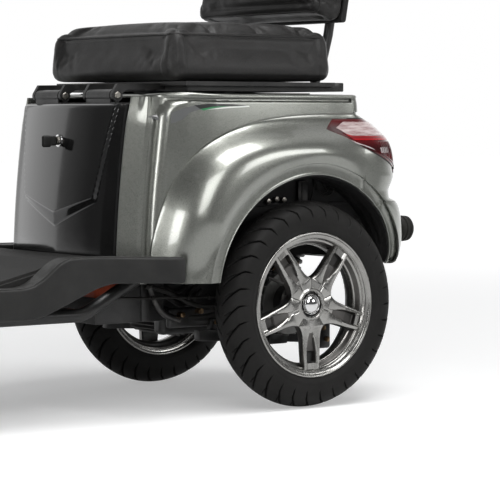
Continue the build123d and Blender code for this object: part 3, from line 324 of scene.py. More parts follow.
def rounded_block(name: str, low: Point, high: Point, radius: float, segments: int = 4) -> Piece:
    """A cube primitive brought to two corners with its edges rounded."""
    deselect_all()
    bpy.ops.mesh.primitive_cube_add(size=1)
    piece = newest(name)
    for vertex in piece.data.vertices:
        vertex.co = [(high[i] if vertex.co[i] > 0 else low[i]) for i in range(3)]
    return bevelled(piece, radius, segments, 20)


def round_bar(name: str, start: Point, end: Point, radius: float, sides: int = 24,
              chamfer: float = 0.001) -> Piece:
    """A round bar from one point to another, its ends eased."""
    a, b = Vector(start), Vector(end)
    deselect_all()
    bpy.ops.mesh.primitive_cylinder_add(vertices=sides, radius=radius, depth=(b - a).length,
                                        location=(a + b) / 2,
                                        rotation=(b - a).to_track_quat("Z", "Y").to_euler())
    piece = settle(newest(name))
    if chamfer:
        bevelled(piece, chamfer, 2, 50)
    return piece


def ease(t: float) -> float:
    """Smooth step from 0 to 1."""
    t = min(max(t, 0.0), 1.0)
    return t * t * (3 - 2 * t)


def rounded_line(corners: Sequence[Flat], radii: Sequence[float], step: float) -> list[Flat]:
    """A plan line with arcs at its corners, divided evenly.

    Args:
        corners: The line's corners, ends included.
        radii: One radius for each inner corner.
        step: About how far apart the returned points are.
    Returns:
        Points along the line.
    """
    dense: list[Vector] = [Vector(corners[0])]
    for before, corner, after, radius in zip(corners, corners[1:], corners[2:], radii):
        a, c, b = Vector(before), Vector(corner), Vector(after)
        back, on = (a - c).normalized(), (b - c).normalized()
        half = back.angle(on) / 2
        reach = min(radius / math.tan(half), 0.48 * min((a - c).length, (b - c).length))
        real = reach * math.tan(half)
        centre = c + (back + on).normalized() * (real / math.sin(half))
        start, end = c + back * reach - centre, c + on * reach - centre
        turn = start.angle_signed(end)
        for k in range(9):
            angle = -turn * k / 8
            dense.append(centre + Vector((start.x * math.cos(angle) - start.y * math.sin(angle),
                                          start.x * math.sin(angle) + start.y * math.cos(angle))))
    dense.append(Vector(corners[-1]))
    lengths = [0.0]
    for a, b in zip(dense, dense[1:]):
        lengths.append(lengths[-1] + (b - a).length)
    count = max(2, round(lengths[-1] / step))
    line, k = [], 0
    for i in range(count + 1):
        want = lengths[-1] * i / count
        while k < len(dense) - 2 and lengths[k + 1] < want:
            k += 1
        share = (want - lengths[k]) / max(lengths[k + 1] - lengths[k], 1e-9)
        line.append(tuple(dense[k].lerp(dense[k + 1], min(share, 1.0))))
    return line


def evenly(points: Sequence[Flat], count: int) -> list[Flat]:
    """Divides a dense line in equal lengths.

    Args:
        points: The dense line.
        count: How many runs to divide it in.
    Returns:
        count + 1 points, the ends included.
    """
    lengths = [0.0]
    for a, b in zip(points, points[1:]):
        lengths.append(lengths[-1] + math.dist(a, b))
    line, k = [], 0
    for i in range(count + 1):
        want = lengths[-1] * i / count
        while k < len(points) - 2 and lengths[k + 1] < want:
            k += 1
        share = min((want - lengths[k]) / max(lengths[k + 1] - lengths[k], 1e-9), 1.0)
        line.append(tuple(a + (b - a) * share for a, b in zip(points[k], points[k + 1])))
    return line


def smooth_read(points: Sequence[Flat], at: float) -> float:
    """Reads a short table of (place, value) pairs along a smooth line.

    Args:
        points: Pairs in rising order of place.
        at: The place to read.
    Returns:
        The value there, with the end values held beyond the ends.
    """
    if at <= points[0][0]:
        return points[0][1]
    if at >= points[-1][0]:
        return points[-1][1]
    k = max(i for i in range(len(points) - 1) if points[i][0] <= at)

    def slope(i: int) -> float:
        if i in (0, len(points) - 1):
            return 0.0
        (a, va), (b, vb), (c, vc) = points[i - 1:i + 2]
        left, right = (vb - va) / (b - a), (vc - vb) / (c - b)
        return 0.0 if left * right <= 0 else 2 * left * right / (left + right)

    (a, va), (b, vb) = points[k], points[k + 1]
    h = b - a
    t = (at - a) / h
    return ((1 + 2 * t) * (1 - t) ** 2 * va + t * (1 - t) ** 2 * h * slope(k)
            + t * t * (3 - 2 * t) * vb + t * t * (t - 1) * h * slope(k + 1))


def inside_distance(outline: Sequence[Flat], x: float, z: float) -> float:
    """Signed distance from a closed outline, above zero inside it.

    Args:
        outline: Corners in order.
        x: First coordinate.
        z: Second coordinate.
    Returns:
        The distance to the nearest side.
    """
    best, inside = 1e9, False
    for (ax, az), (bx, bz) in zip(outline, [*outline[1:], outline[0]]):
        dx, dz = bx - ax, bz - az
        t = min(max(((x - ax) * dx + (z - az) * dz) / (dx * dx + dz * dz), 0), 1)
        best = min(best, math.hypot(x - ax - t * dx, z - az - t * dz))
        if (az > z) != (bz > z) and x < ax + (z - az) / (bz - az) * (bx - ax):
            inside = not inside
    return best if inside else -best


def outward_at(plan: Sequence[Flat], k: int) -> Flat:
    """The outward direction at one point of a closed plan line that runs counter-clockwise."""
    (ax, ay), (bx, by) = plan[k - 1], plan[(k + 1) % len(plan)]
    length = math.hypot(bx - ax, by - ay) or 1.0
    return (by - ay) / length, -(bx - ax) / length


def loft(name: str, rings: Sequence[Sequence[Point]], capped: bool = True) -> Piece:
    """Closed rings of points skinned in order into one body.

    Args:
        name: The piece's name.
        rings: Rings with the same number of points.
        capped: Whether the two ends are closed.
    Returns:
        The skinned body.
    """
    count = len(rings[0])

    def place(u: float, v: float) -> Point:
        return rings[round(v * (len(rings) - 1))][round(u * count) % count]

    piece = weld(patch(name, count, len(rings) - 1, place))
    if capped:
        with editing(piece):
            bpy.ops.mesh.fill_holes(sides=0)
            face_outwards()
    return piece


def ring_section(low: Flat, high: Flat, radius: float, arc: int = 4) -> list[Flat]:
    """A rectangle with rounded corners, as points once round.

    Args:
        low: The corner with the lowest values.
        high: The corner with the highest values.
        radius: The corners' radius.
        arc: Steps in each corner.
    Returns:
        The outline.
    """
    points = []
    for sx, sy, start in ((1, 1, 0), (-1, 1, 90), (-1, -1, 180), (1, -1, 270)):
        cx = (high[0] - radius) if sx > 0 else (low[0] + radius)
        cy = (high[1] - radius) if sy > 0 else (low[1] + radius)
        for k in range(arc + 1):
            a = math.radians(start + 90 * k / arc)
            points.append((cx + radius * math.cos(a), cy + radius * math.sin(a)))
    return points


def swept_tube(name: str, points: Sequence[Point], radius: float, sides: int = 16) -> Piece:
    """A round tube along a smooth line through a few points.

    Args:
        name: The piece's name.
        points: The points that steer the line.
        radius: The tube's radius.
        sides: Faces round the tube.
    Returns:
        The tube as a mesh, its ends closed.
    """
    curve = bpy.data.curves.new(name, "CURVE")
    curve.dimensions = "3D"
    curve.bevel_depth = radius
    curve.bevel_resolution = max(1, sides // 4 - 1)
    curve.use_fill_caps = True
    curve.resolution_u = 10
    spline = curve.splines.new("NURBS")
    spline.points.add(len(points) - 1)
    for knot, place in zip(spline.points, points):
        knot.co = (*place, 1)
    spline.order_u = 3
    spline.use_endpoint_u = True
    made = bpy.data.objects.new(name, curve)
    bpy.context.scene.collection.objects.link(made)
    take(made)
    bpy.ops.object.convert(target="MESH")
    return newest(name)


# ---------------------------------------------------------------- finishes
class Graph:
    """A material's node tree, wired by short calls."""

    def __init__(self, name: str) -> None:
        """Starts a material with a shader and an output."""
        self.material = bpy.data.materials.new(name)
        self.material.use_nodes = True
        self.tree = self.material.node_tree
        self.tree.nodes.clear()
        self.out = self.add("ShaderNodeOutputMaterial")
        self.shader = self.add("ShaderNodeBsdfPrincipled")
        self.tree.links.new(self.shader.outputs[0], self.out.inputs[0])
        self.places = self.add("ShaderNodeTexCoord").outputs["Object"]

    def add(self, kind: str, **settings: object) -> bpy.types.Node:
        """Adds one node with its attributes set."""
        node = self.tree.nodes.new(kind)
        for key, value in settings.items():
            setattr(node, key, value)
        return node

    def link(self, source: bpy.types.NodeSocket, target: bpy.types.NodeSocket) -> None:
        """Joins an output to an input."""
        self.tree.links.new(source, target)

    def stretched(self, scale: Point) -> bpy.types.NodeSocket:
        """Object places scaled by axis."""
        node = self.add("ShaderNodeMapping")
        node.inputs["Scale"].default_value = scale
        self.link(self.places, node.inputs["Vector"])
        return node.outputs[0]

    def noise(self, scale: float, detail: float = 3, rough: float = 0.5,
              places: bpy.types.NodeSocket | None = None) -> bpy.types.NodeSocket:
        """Noise over the object's own places."""
        node = self.add("ShaderNodeTexNoise")
        node.inputs["Scale"].default_value = scale
        node.inputs["Detail"].default_value = detail
        node.inputs["Roughness"].default_value = rough
        self.link(places or self.places, node.inputs["Vector"])
        return node.outputs["Fac"]

    def cells(self, scale: float, feature: str = "F1", output: str = "Distance",
              places: bpy.types.NodeSocket | None = None) -> bpy.types.NodeSocket:
        """Cell pattern over the object's own places."""
        node = self.add("ShaderNodeTexVoronoi", feature=feature)
        node.inputs["Scale"].default_value = scale
        self.link(places or self.places, node.inputs["Vector"])
        return node.outputs[output]

    def levels(self, source: bpy.types.NodeSocket, low: float, high: float, to_low: float = 0,
               to_high: float = 1) -> bpy.types.NodeSocket:
        """Carries a range of values to another range, held at its ends."""
        node = self.add("ShaderNodeMapRange")
        for name, value in (("From Min", low), ("From Max", high), ("To Min", to_low), ("To Max", to_high)):
            node.inputs[name].default_value = value
        self.link(source, node.inputs["Value"])
        return node.outputs[0]

    def math(self, operation: str, a: bpy.types.NodeSocket,
             b: bpy.types.NodeSocket | float) -> bpy.types.NodeSocket:
        """One sum of two values."""
        node = self.add("ShaderNodeMath", operation=operation)
        self.link(a, node.inputs[0])
        if isinstance(b, (int, float)):
            node.inputs[1].default_value = b
        else:
            self.link(b, node.inputs[1])
        return node.outputs[0]

    def blend(self, share: bpy.types.NodeSocket, first: Sequence[float],
              second: Sequence[float]) -> bpy.types.NodeSocket:
        """A colour between two colours."""
        node = self.add("ShaderNodeMix", data_type="RGBA")
        node.inputs[6].default_value = (*first, 1)
        node.inputs[7].default_value = (*second, 1)
        self.link(share, node.inputs[0])
        return node.outputs[2]

    def colour(self, source: bpy.types.NodeSocket) -> None:
        """Feeds the base colour."""
        self.link(source, self.shader.inputs["Base Color"])

    def rough(self, source: bpy.types.NodeSocket) -> None:
        """Feeds the roughness."""
        self.link(source, self.shader.inputs["Roughness"])

    def relief(self, height: bpy.types.NodeSocket, depth: float, strength: float = 1.0) -> None:
        """Feeds a bump, after any that is there."""
        node = self.add("ShaderNodeBump")
        node.inputs["Strength"].default_value = strength
        node.inputs["Distance"].default_value = depth
        self.link(height, node.inputs["Height"])
        target = self.shader.inputs["Normal"]
        if target.is_linked:
            self.link(target.links[0].from_socket, node.inputs["Normal"])
        self.link(node.outputs[0], target)

    def fix(self, **values: float | Sequence[float]) -> None:
        """Sets the shader's own sockets, named with underscores for spaces."""
        for key, value in values.items():
            self.shader.inputs[key.replace("_", " ")].default_value = value

    def worn(self, base: Sequence[float], pale: Sequence[float], size: float = 9.0) -> None:
        """A colour that drifts softly between two tones, with dust gathered in patches."""
        drift = self.noise(size, 4, 0.6)
        self.colour(self.blend(self.levels(drift, 0.38, 0.72), base, pale))


@dataclass(frozen=True)
class FlakePaint:
    """Metallic lacquer: fine flakes under a clear coat."""

    name: str
    tone: Sequence[float]
    shade: Sequence[float]
    flake: float = 2200.0

    def material(self) -> bpy.types.Material:
        """Builds the paint."""
        g = Graph(self.name)
        sparkle = g.cells(self.flake, output="Color")
        split = g.add("ShaderNodeSeparateColor")
        g.link(sparkle, split.inputs[0])
        fleck = g.levels(split.outputs[0], 0.0, 1.0)
        mottled = g.math("MULTIPLY", g.noise(6, 2), 0.25)
        share = g.math("ADD", g.math("MULTIPLY", fleck, 0.75), mottled)
        g.colour(g.blend(share, self.shade, self.tone))
        g.rough(g.levels(fleck, 0, 1, 0.26, 0.38))
        g.relief(g.noise(420, 2), 0.00002, 0.25)
        g.fix(Metallic=0.9, Coat_Weight=1.0, Coat_Roughness=0.05, Coat_IOR=1.5)
        return g.material


@dataclass(frozen=True)
class GlossShell:
    """Polished moulded shell with a faint ripple."""

    name: str
    tone: Sequence[float]
    roughness: float = 0.12
    specular: float = 0.5

    def material(self) -> bpy.types.Material:
        """Builds the shell."""
        g = Graph(self.name)
        dust = g.levels(g.noise(160, 5, 0.7), 0.62, 0.8)
        g.colour(g.blend(dust, self.tone, [min(c + 0.02, 1) for c in self.tone]))
        g.rough(g.levels(g.noise(14, 3), 0.3, 0.7, self.roughness, self.roughness + 0.07))
        g.relief(g.noise(30, 2), 0.0002, 0.12)
        g.fix(Specular_IOR_Level=self.specular, Coat_Weight=0.4, Coat_Roughness=0.05)
        return g.material


@dataclass(frozen=True)
class GrainedPlastic:
    """Moulded plastic with a fine leather grain."""

    name: str
    tone: Sequence[float]
    pale: Sequence[float]
    roughness: float = 0.48
    grain: float = 900.0
    depth: float = 0.00018

    def material(self) -> bpy.types.Material:
        """Builds the plastic."""
        g = Graph(self.name)
        g.worn(self.tone, self.pale, 14)
        g.rough(g.levels(g.noise(60, 4, 0.65), 0.3, 0.75, self.roughness - 0.05, self.roughness + 0.12))
        g.relief(g.cells(self.grain), self.depth, 0.5)
        scratches = g.levels(g.noise(40, 6, 0.8, g.stretched((1, 14, 3))), 0.66, 0.7)
        g.relief(scratches, 0.0001, 0.25)
        g.fix(Specular_IOR_Level=0.32)
        return g.material


@dataclass(frozen=True)
class EnamelledSteel:
    """Powder-coated or forged steel with orange peel and dust."""

    name: str
    tone: Sequence[float]
    pale: Sequence[float]
    roughness: float = 0.4
    metallic: float = 0.0

    def material(self) -> bpy.types.Material:
        """Builds the coat."""
        g = Graph(self.name)
        g.worn(self.tone, self.pale, 22)
        g.rough(g.levels(g.noise(45, 5, 0.7), 0.3, 0.7, self.roughness - 0.08, self.roughness + 0.15))
        g.relief(g.noise(380, 3), 0.00015, 0.35)
        g.fix(Metallic=self.metallic, Specular_IOR_Level=0.5)
        return g.material


@dataclass(frozen=True)
class BrightMetal:
    """Cast, machined or plated metal."""

    name: str
    tone: Sequence[float]
    shade: Sequence[float]
    roughness: float
    turned_marks: bool = False

    def material(self) -> bpy.types.Material:
        """Builds the metal."""
        g = Graph(self.name)
        g.colour(g.blend(g.levels(g.noise(26, 5, 0.65), 0.35, 0.7), self.shade, self.tone))
        g.rough(g.levels(g.noise(90, 4, 0.7), 0.3, 0.7,
                         max(self.roughness - 0.05, 0.02), self.roughness + 0.08))
        if self.turned_marks:
            g.relief(g.noise(500, 2, 0.5, g.stretched((1.0, 0.16, 0.16))), 0.0001, 0.12)
        else:
            g.relief(g.noise(700, 3), 0.0001, 0.1)
        g.fix(Metallic=1.0)
        return g.material


@dataclass(frozen=True)
class TyreRubber:
    """Black rubber with a light dusting, darker where an attribute says that the tread is cut: painted shade
    in the grooves.
    """

    name: str
    tone: Sequence[float]
    pale: Sequence[float]
    roughness: float = 0.62

    def material(self) -> bpy.types.Material:
        """Builds the rubber."""
        g = Graph(self.name)
        dust = g.math("MULTIPLY", g.levels(g.noise(30, 6, 0.7), 0.45, 0.8),
                      g.levels(g.noise(300, 3), 0.3, 0.8))
        cut = g.add("ShaderNodeAttribute", attribute_name="cut")
        mixed = g.add("ShaderNodeMix", data_type="RGBA")
        g.link(g.levels(cut.outputs["Fac"], 0.25, 0.8), mixed.inputs[0])
        g.link(g.blend(dust, self.tone, self.pale), mixed.inputs[6])
        # the cut tread is painted near black: painted shade in the grooves
        mixed.inputs[7].default_value = (*[c * 0.12 for c in self.tone], 1)
        g.colour(mixed.outputs[2])
        g.rough(g.levels(g.noise(18, 4), 0.3, 0.7, self.roughness - 0.08, self.roughness + 0.1))
        g.relief(g.noise(1400, 3, 0.6), 0.00012, 0.5)
        g.fix(Specular_IOR_Level=0.2)
        return g.material


@dataclass(frozen=True)
class LampLens:
    """Moulded lens with a shallow optic pattern under a polished skin."""

    name: str
    tone: Sequence[float]
    deep: Sequence[float]
    flutes: float
    clear: float = 0.35
    streak: float = 0.0

    def material(self) -> bpy.types.Material:
        """Builds the lens."""
        g = Graph(self.name)
        wave = g.add("ShaderNodeTexWave", wave_type="BANDS", bands_direction="Z")
        wave.inputs["Scale"].default_value = self.flutes
        wave.inputs["Distortion"].default_value = 0.6
        g.link(g.stretched((0.4, 0.4, 1.0)), wave.inputs["Vector"])
        share = wave.outputs["Fac"]
        if self.streak:
            streaks = g.levels(g.noise(26, 4, 0.7, g.stretched((1.0, 1.0, 9.0))), 0.35, 0.62)
            share = g.math("ADD", g.math("MULTIPLY", share, 1 - self.streak),
                           g.math("MULTIPLY", streaks, self.streak))
        g.colour(g.blend(share, self.deep, self.tone))
        g.relief(wave.outputs["Fac"], 0.0003, 0.15)
        g.fix(Roughness=0.08, Transmission_Weight=self.clear, IOR=1.45, Coat_Weight=1.0, Coat_Roughness=0.03)
        return g.material


@dataclass(frozen=True)
class Leathercloth:
    """Coated fabric with a soft pebbled grain."""

    name: str
    tone: Sequence[float]
    pale: Sequence[float]

    def material(self) -> bpy.types.Material:
        """Builds the cover."""
        g = Graph(self.name)
        grain = g.cells(420, "SMOOTH_F1")
        crease = g.noise(34, 6, 0.62)
        g.colour(g.blend(g.levels(g.math("ADD", grain, crease), 0.6, 1.35), self.tone, self.pale))
        g.rough(g.levels(crease, 0.3, 0.7, 0.42, 0.58))
        g.relief(grain, 0.0005, 0.45)
        g.relief(g.levels(g.noise(9, 3, 0.5, g.stretched((1.0, 2.6, 1.0))), 0.3, 0.7), 0.0015, 0.35)
        g.fix(Specular_IOR_Level=0.4, Sheen_Weight=0.08, Sheen_Roughness=0.4)
        return g.material


@dataclass(frozen=True)
class RibbedMat:
    """Dark rubber mat with fine ribs across the floor."""

    name: str
    tone: Sequence[float]
    pale: Sequence[float]
    ribs: float = 95.0

    def material(self) -> bpy.types.Material:
        """Builds the mat."""
        g = Graph(self.name)
        wave = g.add("ShaderNodeTexWave", wave_type="BANDS", bands_direction="X")
        wave.inputs["Scale"].default_value = self.ribs
        g.link(g.places, wave.inputs["Vector"])
        # the colour follows the ribs, paler on their crests and darker in the troughs: painted light and
        # shade
        g.colour(g.blend(wave.outputs["Fac"], self.tone, self.pale))
        g.relief(wave.outputs["Fac"], 0.0018, 0.6)
        g.relief(g.noise(700, 3), 0.0003, 0.4)
        g.fix(Roughness=0.7, Specular_IOR_Level=0.3)
        return g.material


class Finish(Enum):
    """Every finish of the vehicle."""

    SILVER = FlakePaint("silver_paint", (0.36, 0.370, 0.338), (0.19, 0.196, 0.178))
    GLOSS_BLACK = GlossShell("gloss_black", (0.012, 0.012, 0.012), 0.07)
    SATIN_BLACK = GlossShell("satin_black", (0.02, 0.02, 0.02), 0.32)
    BLACK_PLASTIC = GrainedPlastic("black_plastic_grain", (0.014, 0.014, 0.0135), (0.024, 0.0235, 0.0225))
    LINER_PLASTIC = GrainedPlastic("liner_plastic", (0.008, 0.008, 0.008), (0.014, 0.013, 0.013), 0.6, 600.0)
    FRAME = EnamelledSteel("frame_enamel", (0.012, 0.012, 0.012), (0.03, 0.029, 0.028), 0.35)
    FORK = EnamelledSteel("fork_enamel", (0.015, 0.015, 0.016), (0.028, 0.028, 0.028), 0.3)
    SPRING = EnamelledSteel("spring_enamel", (0.02, 0.02, 0.02), (0.05, 0.045, 0.04), 0.35, 0.4)
    CAST = EnamelledSteel("motor_casting", (0.05, 0.05, 0.05), (0.10, 0.095, 0.09), 0.42, 0.8)
    CASTING = EnamelledSteel("drum_casting", (0.20, 0.20, 0.195), (0.30, 0.295, 0.285), 0.36, 0.9)
    BRASS = BrightMetal("brass_fitting", (0.36, 0.24, 0.13), (0.16, 0.11, 0.07), 0.34)
    BATTERY = GrainedPlastic("battery_case", (0.45, 0.075, 0.03), (0.52, 0.10, 0.04), 0.42, 500.0)
    ALLOY = BrightMetal("wheel_alloy", (0.42, 0.415, 0.40), (0.34, 0.335, 0.32), 0.22, True)
    # a darker copy of the wheel alloy for recessed faces and bands: painted shade
    ALLOY_PAINTED_SHADE = BrightMetal("wheel_alloy_recess", (0.16, 0.155, 0.15), (0.11, 0.105, 0.10), 0.34)
    CHROME = BrightMetal("chrome_plate", (0.82, 0.82, 0.82), (0.74, 0.74, 0.74), 0.05)
    ZINC = BrightMetal("zinc_steel", (0.48, 0.46, 0.42), (0.30, 0.28, 0.25), 0.35)
    TYRE = TyreRubber("tyre_rubber", (0.0115, 0.011, 0.0105), (0.022, 0.021, 0.020))
    RUBBER = TyreRubber("soft_rubber", (0.018, 0.017, 0.016), (0.03, 0.029, 0.028), 0.55)
    SEAT = Leathercloth("seat_leathercloth", (0.010, 0.0095, 0.0095), (0.022, 0.021, 0.020))
    MAT = RibbedMat("floor_mat_rubber", (0.010, 0.010, 0.010), (0.028, 0.027, 0.026))
    RED = LampLens("red_lens", (0.38, 0.008, 0.012), (0.20, 0.003, 0.006), 40.0, 0.12)
    DEEP_RED = LampLens("deep_red_lens", (0.095, 0.003, 0.005), (0.035, 0.001, 0.002), 8.0, 0.08)
    WINDOW = LampLens("lamp_window", (0.66, 0.56, 0.55), (0.25, 0.13, 0.13), 45.0, 0.10, 0.75)
    CLEAR = LampLens("clear_lens", (0.85, 0.82, 0.82), (0.55, 0.50, 0.50), 90.0, 0.55)
    AMBER = LampLens("amber_lens", (0.85, 0.28, 0.02), (0.5, 0.12, 0.01), 60.0)
    GREY_DECAL = GlossShell("decal_grey", (0.105, 0.108, 0.108), 0.3)
    GREEN_DECAL = GlossShell("decal_green", (0.03, 0.22, 0.08), 0.3)
    PALE_DECAL = GlossShell("decal_pale", (0.72, 0.74, 0.70), 0.3)
    DARK_DECAL = GlossShell("decal_black", (0.015, 0.015, 0.015), 0.3)
    MIRROR = BrightMetal("mirror_glass", (0.9, 0.9, 0.9), (0.88, 0.88, 0.88), 0.02)


class Paintshop:
    """Keeps one material for each finish and hands pieces to their bodies."""

    def __init__(self, axle_y: float) -> None:
        """Takes the rear axle's place along the vehicle."""
        self.axle_y = axle_y
        self.made: dict[Finish, bpy.types.Material] = {}

    def material(self, finish: Finish) -> bpy.types.Material:
        """The finish's material, built once."""
        if finish not in self.made:
            self.made[finish] = finish.value.material()
        return self.made[finish]

    def coat(self, piece: Piece, finish: Finish) -> None:
        """Gives all of a piece one finish."""
        piece.data.materials.clear()
        piece.data.materials.append(self.material(finish))

    def second(self, piece: Piece, finish: Finish, wanted: Callable[[bpy.types.MeshPolygon], bool]) -> None:
        """Gives some faces of a coated piece another finish."""
        piece.data.materials.append(self.material(finish))
        last = len(piece.data.materials) - 1
        for face in piece.data.polygons:
            if wanted(face):
                face.material_index = last

    def fit(self, piece: Piece, body: str, finish: Finish | None, slot: str, *nodes: str) -> Piece:
        """Carries a piece to the vehicle's frame and hands it to its body.

        Args:
            piece: The mesh, placed from the rear axle.
            body: The body that it moves with.
            finish: Its finish, or None where it is dressed already.
            slot: The material slot that it stands for; not used.
            nodes: CAD nodes that it replaces.
        Returns:
            The piece.
        """
        if finish:
            self.coat(piece, finish)
        settle(piece)
        piece.data.transform(Matrix.Translation((0, self.axle_y, 0)))
        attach(piece, body)
        if nodes:
            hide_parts(*nodes)
        log.info("%s: %d faces on %s", piece.name, len(piece.data.polygons), body)
        return piece

    def pair(self, piece: Piece, finish: Finish, slot: str, *nodes: str, body: str = "chassis") -> None:
        """Dresses a left piece, copies it to the right and hands both to one body.

        Args:
            piece: The left piece; _left in its name turns to _right in its twin's, or _right is added.
            finish: Its finish.
            slot: The material slot that it stands for.
            nodes: CAD nodes that it replaces, named without their side.
            body: The body that they move with.
        """
        self.coat(piece, finish)
        stem = piece.name.removesuffix("_left")
        twin = mirrored(piece, stem + "_right")
        self.fit(piece, body, None, slot, *[node + "_left" for node in nodes])
        self.fit(twin, body, None, slot, *[node + "_right" for node in nodes])


# ---------------------------------------------------------------- rear bodywork
@dataclass
class RearBody:
    """The painted rear body: corner posts, side walls, fenders, tail, bumper, deck and its decals.

    The crease is the line where the fenders leave the side walls.  In side view it is part of an oval
    round crease_y and crease_z.
    """

    shop: Paintshop
    bottom: float = 0.259
    deck_low: float = 0.612
    deck_top: float = 0.620
    wall_top: float = 0.6065
    post_x: float = 0.1905
    post_front: float = -0.3975
    ridge: Flat = (0.2155, -0.3640)
    groove: Flat = (0.2170, -0.3510)
    panel_front: float = -0.3440
    panel_corner: float = 0.030
    panel_roll: float = 0.020
    crease_y: float = 0.150
    crease_z: float = 0.177
    crease_reach: float = 0.4963
    crease_rise: float = 0.4068
    crease_power: float = 3.33
    seam_y: float = 0.1315
    arch_z: float = 0.223
    arch_radius: float = 0.238
    lip_width: float = 0.024
    lip_return: float = 0.034
    tuck: float = 0.005
    skin: float = 0.0025
    tail_skin: float = 0.0035
    tail_power: float = 3.2
    bumper_power: float = 3.6
    top_lean: float = 0.0070
    tail_front: float = 0.130
    rear_low: float = 0.404
    bumper_low: float = 0.275
    tub: tuple[float, float, float] = (0.165, -0.235, 0.080)
    panel_lines: Sequence[Flat] = ((-0.3425, 0.240), (-0.26, 0.2535), (-0.20, 0.2615), (-0.12, 0.2665),
                                   (-0.03, 0.268), (0.06, 0.2655), (0.1315, 0.262))
    tail_rear: Sequence[Flat] = ((0.275, 0.2945), (0.292, 0.3025), (0.330, 0.3035), (0.365, 0.2970),
                                 (0.390, 0.2860), (0.4045, 0.2725), (0.412, 0.2520), (0.424, 0.2540),
                                 (0.446, 0.2690), (0.456, 0.2730), (0.466, 0.2700), (0.527, 0.2560),
                                 (0.543, 0.2440), (0.560, 0.2240), (0.571, 0.2030), (0.5765, 0.1900),
                                 (0.5800, 0.1740), (0.5835, 0.1715), (0.600, 0.1720), (0.612, 0.1685))
    tail_low: Sequence[Flat] = ((0.275, 0.280), (0.310, 0.290), (0.404, 0.301),
                                (0.440, 0.3045), (0.450, 0.305))

    # ------------------------------------------------ shared lines
    @property
    def lip_outer(self) -> float:
        """The arch lip's outer radius."""
        return self.arch_radius + self.lip_width

    @staticmethod
    def spread(u: float) -> float:
        """Crowds the tail's cells towards its corners."""
        return min(max(0.5 + (u - 0.5) * (0.72 + 0.28 * abs(2 * u - 1) ** 0.7), 0.0), 1.0)

    def lean(self, z: float) -> float:
        """How far back the front edges stand at a height."""
        d = z - 0.315
        return 0.041 * d + 0.21 * d * abs(d)

    def lean_in(self, z: float) -> float:
        """How far the walls come in towards the deck at a height."""
        return self.top_lean * min(max((z - 0.49) / 0.12, 0.0), 1.0) ** 2

    def corner_power(self, z: float) -> float:
        """How square the tail's corners are at a height: squarer round the bumper."""
        return self.tail_power + (self.bumper_power - self.tail_power) * ease((0.432 - z) / 0.035)

    def crease_at(self, y: float) -> float:
        """Height of the crease at a place along the side, or the body's bottom ahead of it."""
        share = 1 - abs((y - self.crease_y) / self.crease_reach) ** self.crease_power
        if share <= 0:
            return self.bottom
        return max(self.bottom, self.crease_z + self.crease_rise * share ** (1 / self.crease_power))

    def crease_line(self, count: int) -> list[Flat]:
        """The crease in side view, from the front bottom to the tail seam."""
        n = 2 / self.crease_power
        low = math.asin(((self.bottom - self.crease_z) / self.crease_rise) ** (1 / n))
        high = math.acos(((self.crease_y - self.seam_y) / self.crease_reach) ** (1 / n))
        dense = []
        for k in range(1201):
            a = high - (high - low) * (1 - k / 1200) ** 2
            dense.append((self.crease_y - self.crease_reach * math.cos(a) ** n,
                          self.crease_z + self.crease_rise * math.sin(a) ** n))
        return evenly(dense, count)

    def panel_x(self, y: float) -> float:
        """Half width of the side wall."""
        return smooth_read(self.panel_lines, y)

    def wall_x(self, y: float, z: float) -> float:
        """Half width of the side wall with its rolled front and top edges."""
        front = y - (self.panel_front + self.lean(z))
        top = self.wall_top - z
        r = self.panel_corner
        if front < r and top < r:
            inside = r - math.hypot(r - front, r - top)
        else:
            inside = min(front, top)
        depth = 0.005 + 0.0175 * (1 - ease(front / 0.055))
        roll = 0.004 + (self.panel_roll - 0.004) * (1 - ease(front / 0.06))
        share = min(max(inside / roll, 0.0), 1.0)
        return self.panel_x(y) - self.lean_in(z) - depth * (1 - math.sqrt(1 - (1 - share) ** 2))

    def swell(self, y: float, depth: float) -> float:
        """How far the fender stands out from the wall at a depth below the crease."""
        rear = ease((y + 0.30) / 0.30)
        front_full = 0.3225 - self.panel_x(y)
        rear_full = 0.305 - self.panel_x(y) + 0.016 * (1 - ease((y + 0.02) / 0.16))
        full = front_full * (1 - rear) + rear_full * rear
        length = 0.030 + 0.017 * rear
        power = 1.35 + 0.85 * rear
        return (full + self.tuck) * (1 - math.exp(-((depth / length) ** power))) - self.tuck

    def tail_half(self, z: float) -> float:
        """Half width of the tail where it meets the fenders."""
        crease = self.crease_at(self.seam_y)
        if z >= crease:
            return self.panel_x(self.seam_y) - self.lean_in(z)
        upper = self.panel_x(self.seam_y) - self.lean_in(crease) + self.swell(self.seam_y, crease - z)
        return min(upper, smooth_read(self.tail_low, z)) if z < 0.47 else upper

    def tail_point(self, turn: float, z: float, out: float = 0.0) -> Point:
        """A point of the tail's skin.

        Args:
            turn: 0 at the left seam, 1 at the right one.
            z: The height.
            out: How far outside the skin.
        Returns:
            The point.
        """
        a = math.pi * turn
        n = 2 / self.corner_power(z)
        half = self.tail_half(z) + out
        reach = smooth_read(self.tail_rear, z) - self.tail_front + out
        c, s = math.cos(a), math.sin(a)
        return (math.copysign(abs(c) ** n, c) * half, self.tail_front + abs(s) ** n * reach, z)

    def tail_x(self, y: float, z: float) -> float:
        """Half width of the tail's skin at a place along it."""
        reach = smooth_read(self.tail_rear, z) - self.tail_front
        share = min(max((y - self.tail_front) / reach, 0.0), 0.999)
        power = self.corner_power(z)
        return self.tail_half(z) * (1 - share ** power) ** (1 / power)

    def lip_x(self, angle: float) -> float:
        """Half width of the arch lip's face at an angle above the rear, in radians."""
        y, z = self.lip_outer * math.cos(angle), self.arch_z + self.lip_outer * math.sin(angle)
        if y > self.tail_front:
            return self.tail_x(y, z) - 0.007
        return 0.2975 + 0.0145 * ease((self.tail_front - y) / 0.20)

    def arch_angle(self, radius: float, share: float) -> float:
        """Angle of the arch at a radius: 0 at the front bottom, 1 at the tail seam."""
        first = math.pi - math.asin((self.bottom - self.arch_z) / radius)
        last = math.acos(self.seam_y / radius)
        return first + (last - first) * share

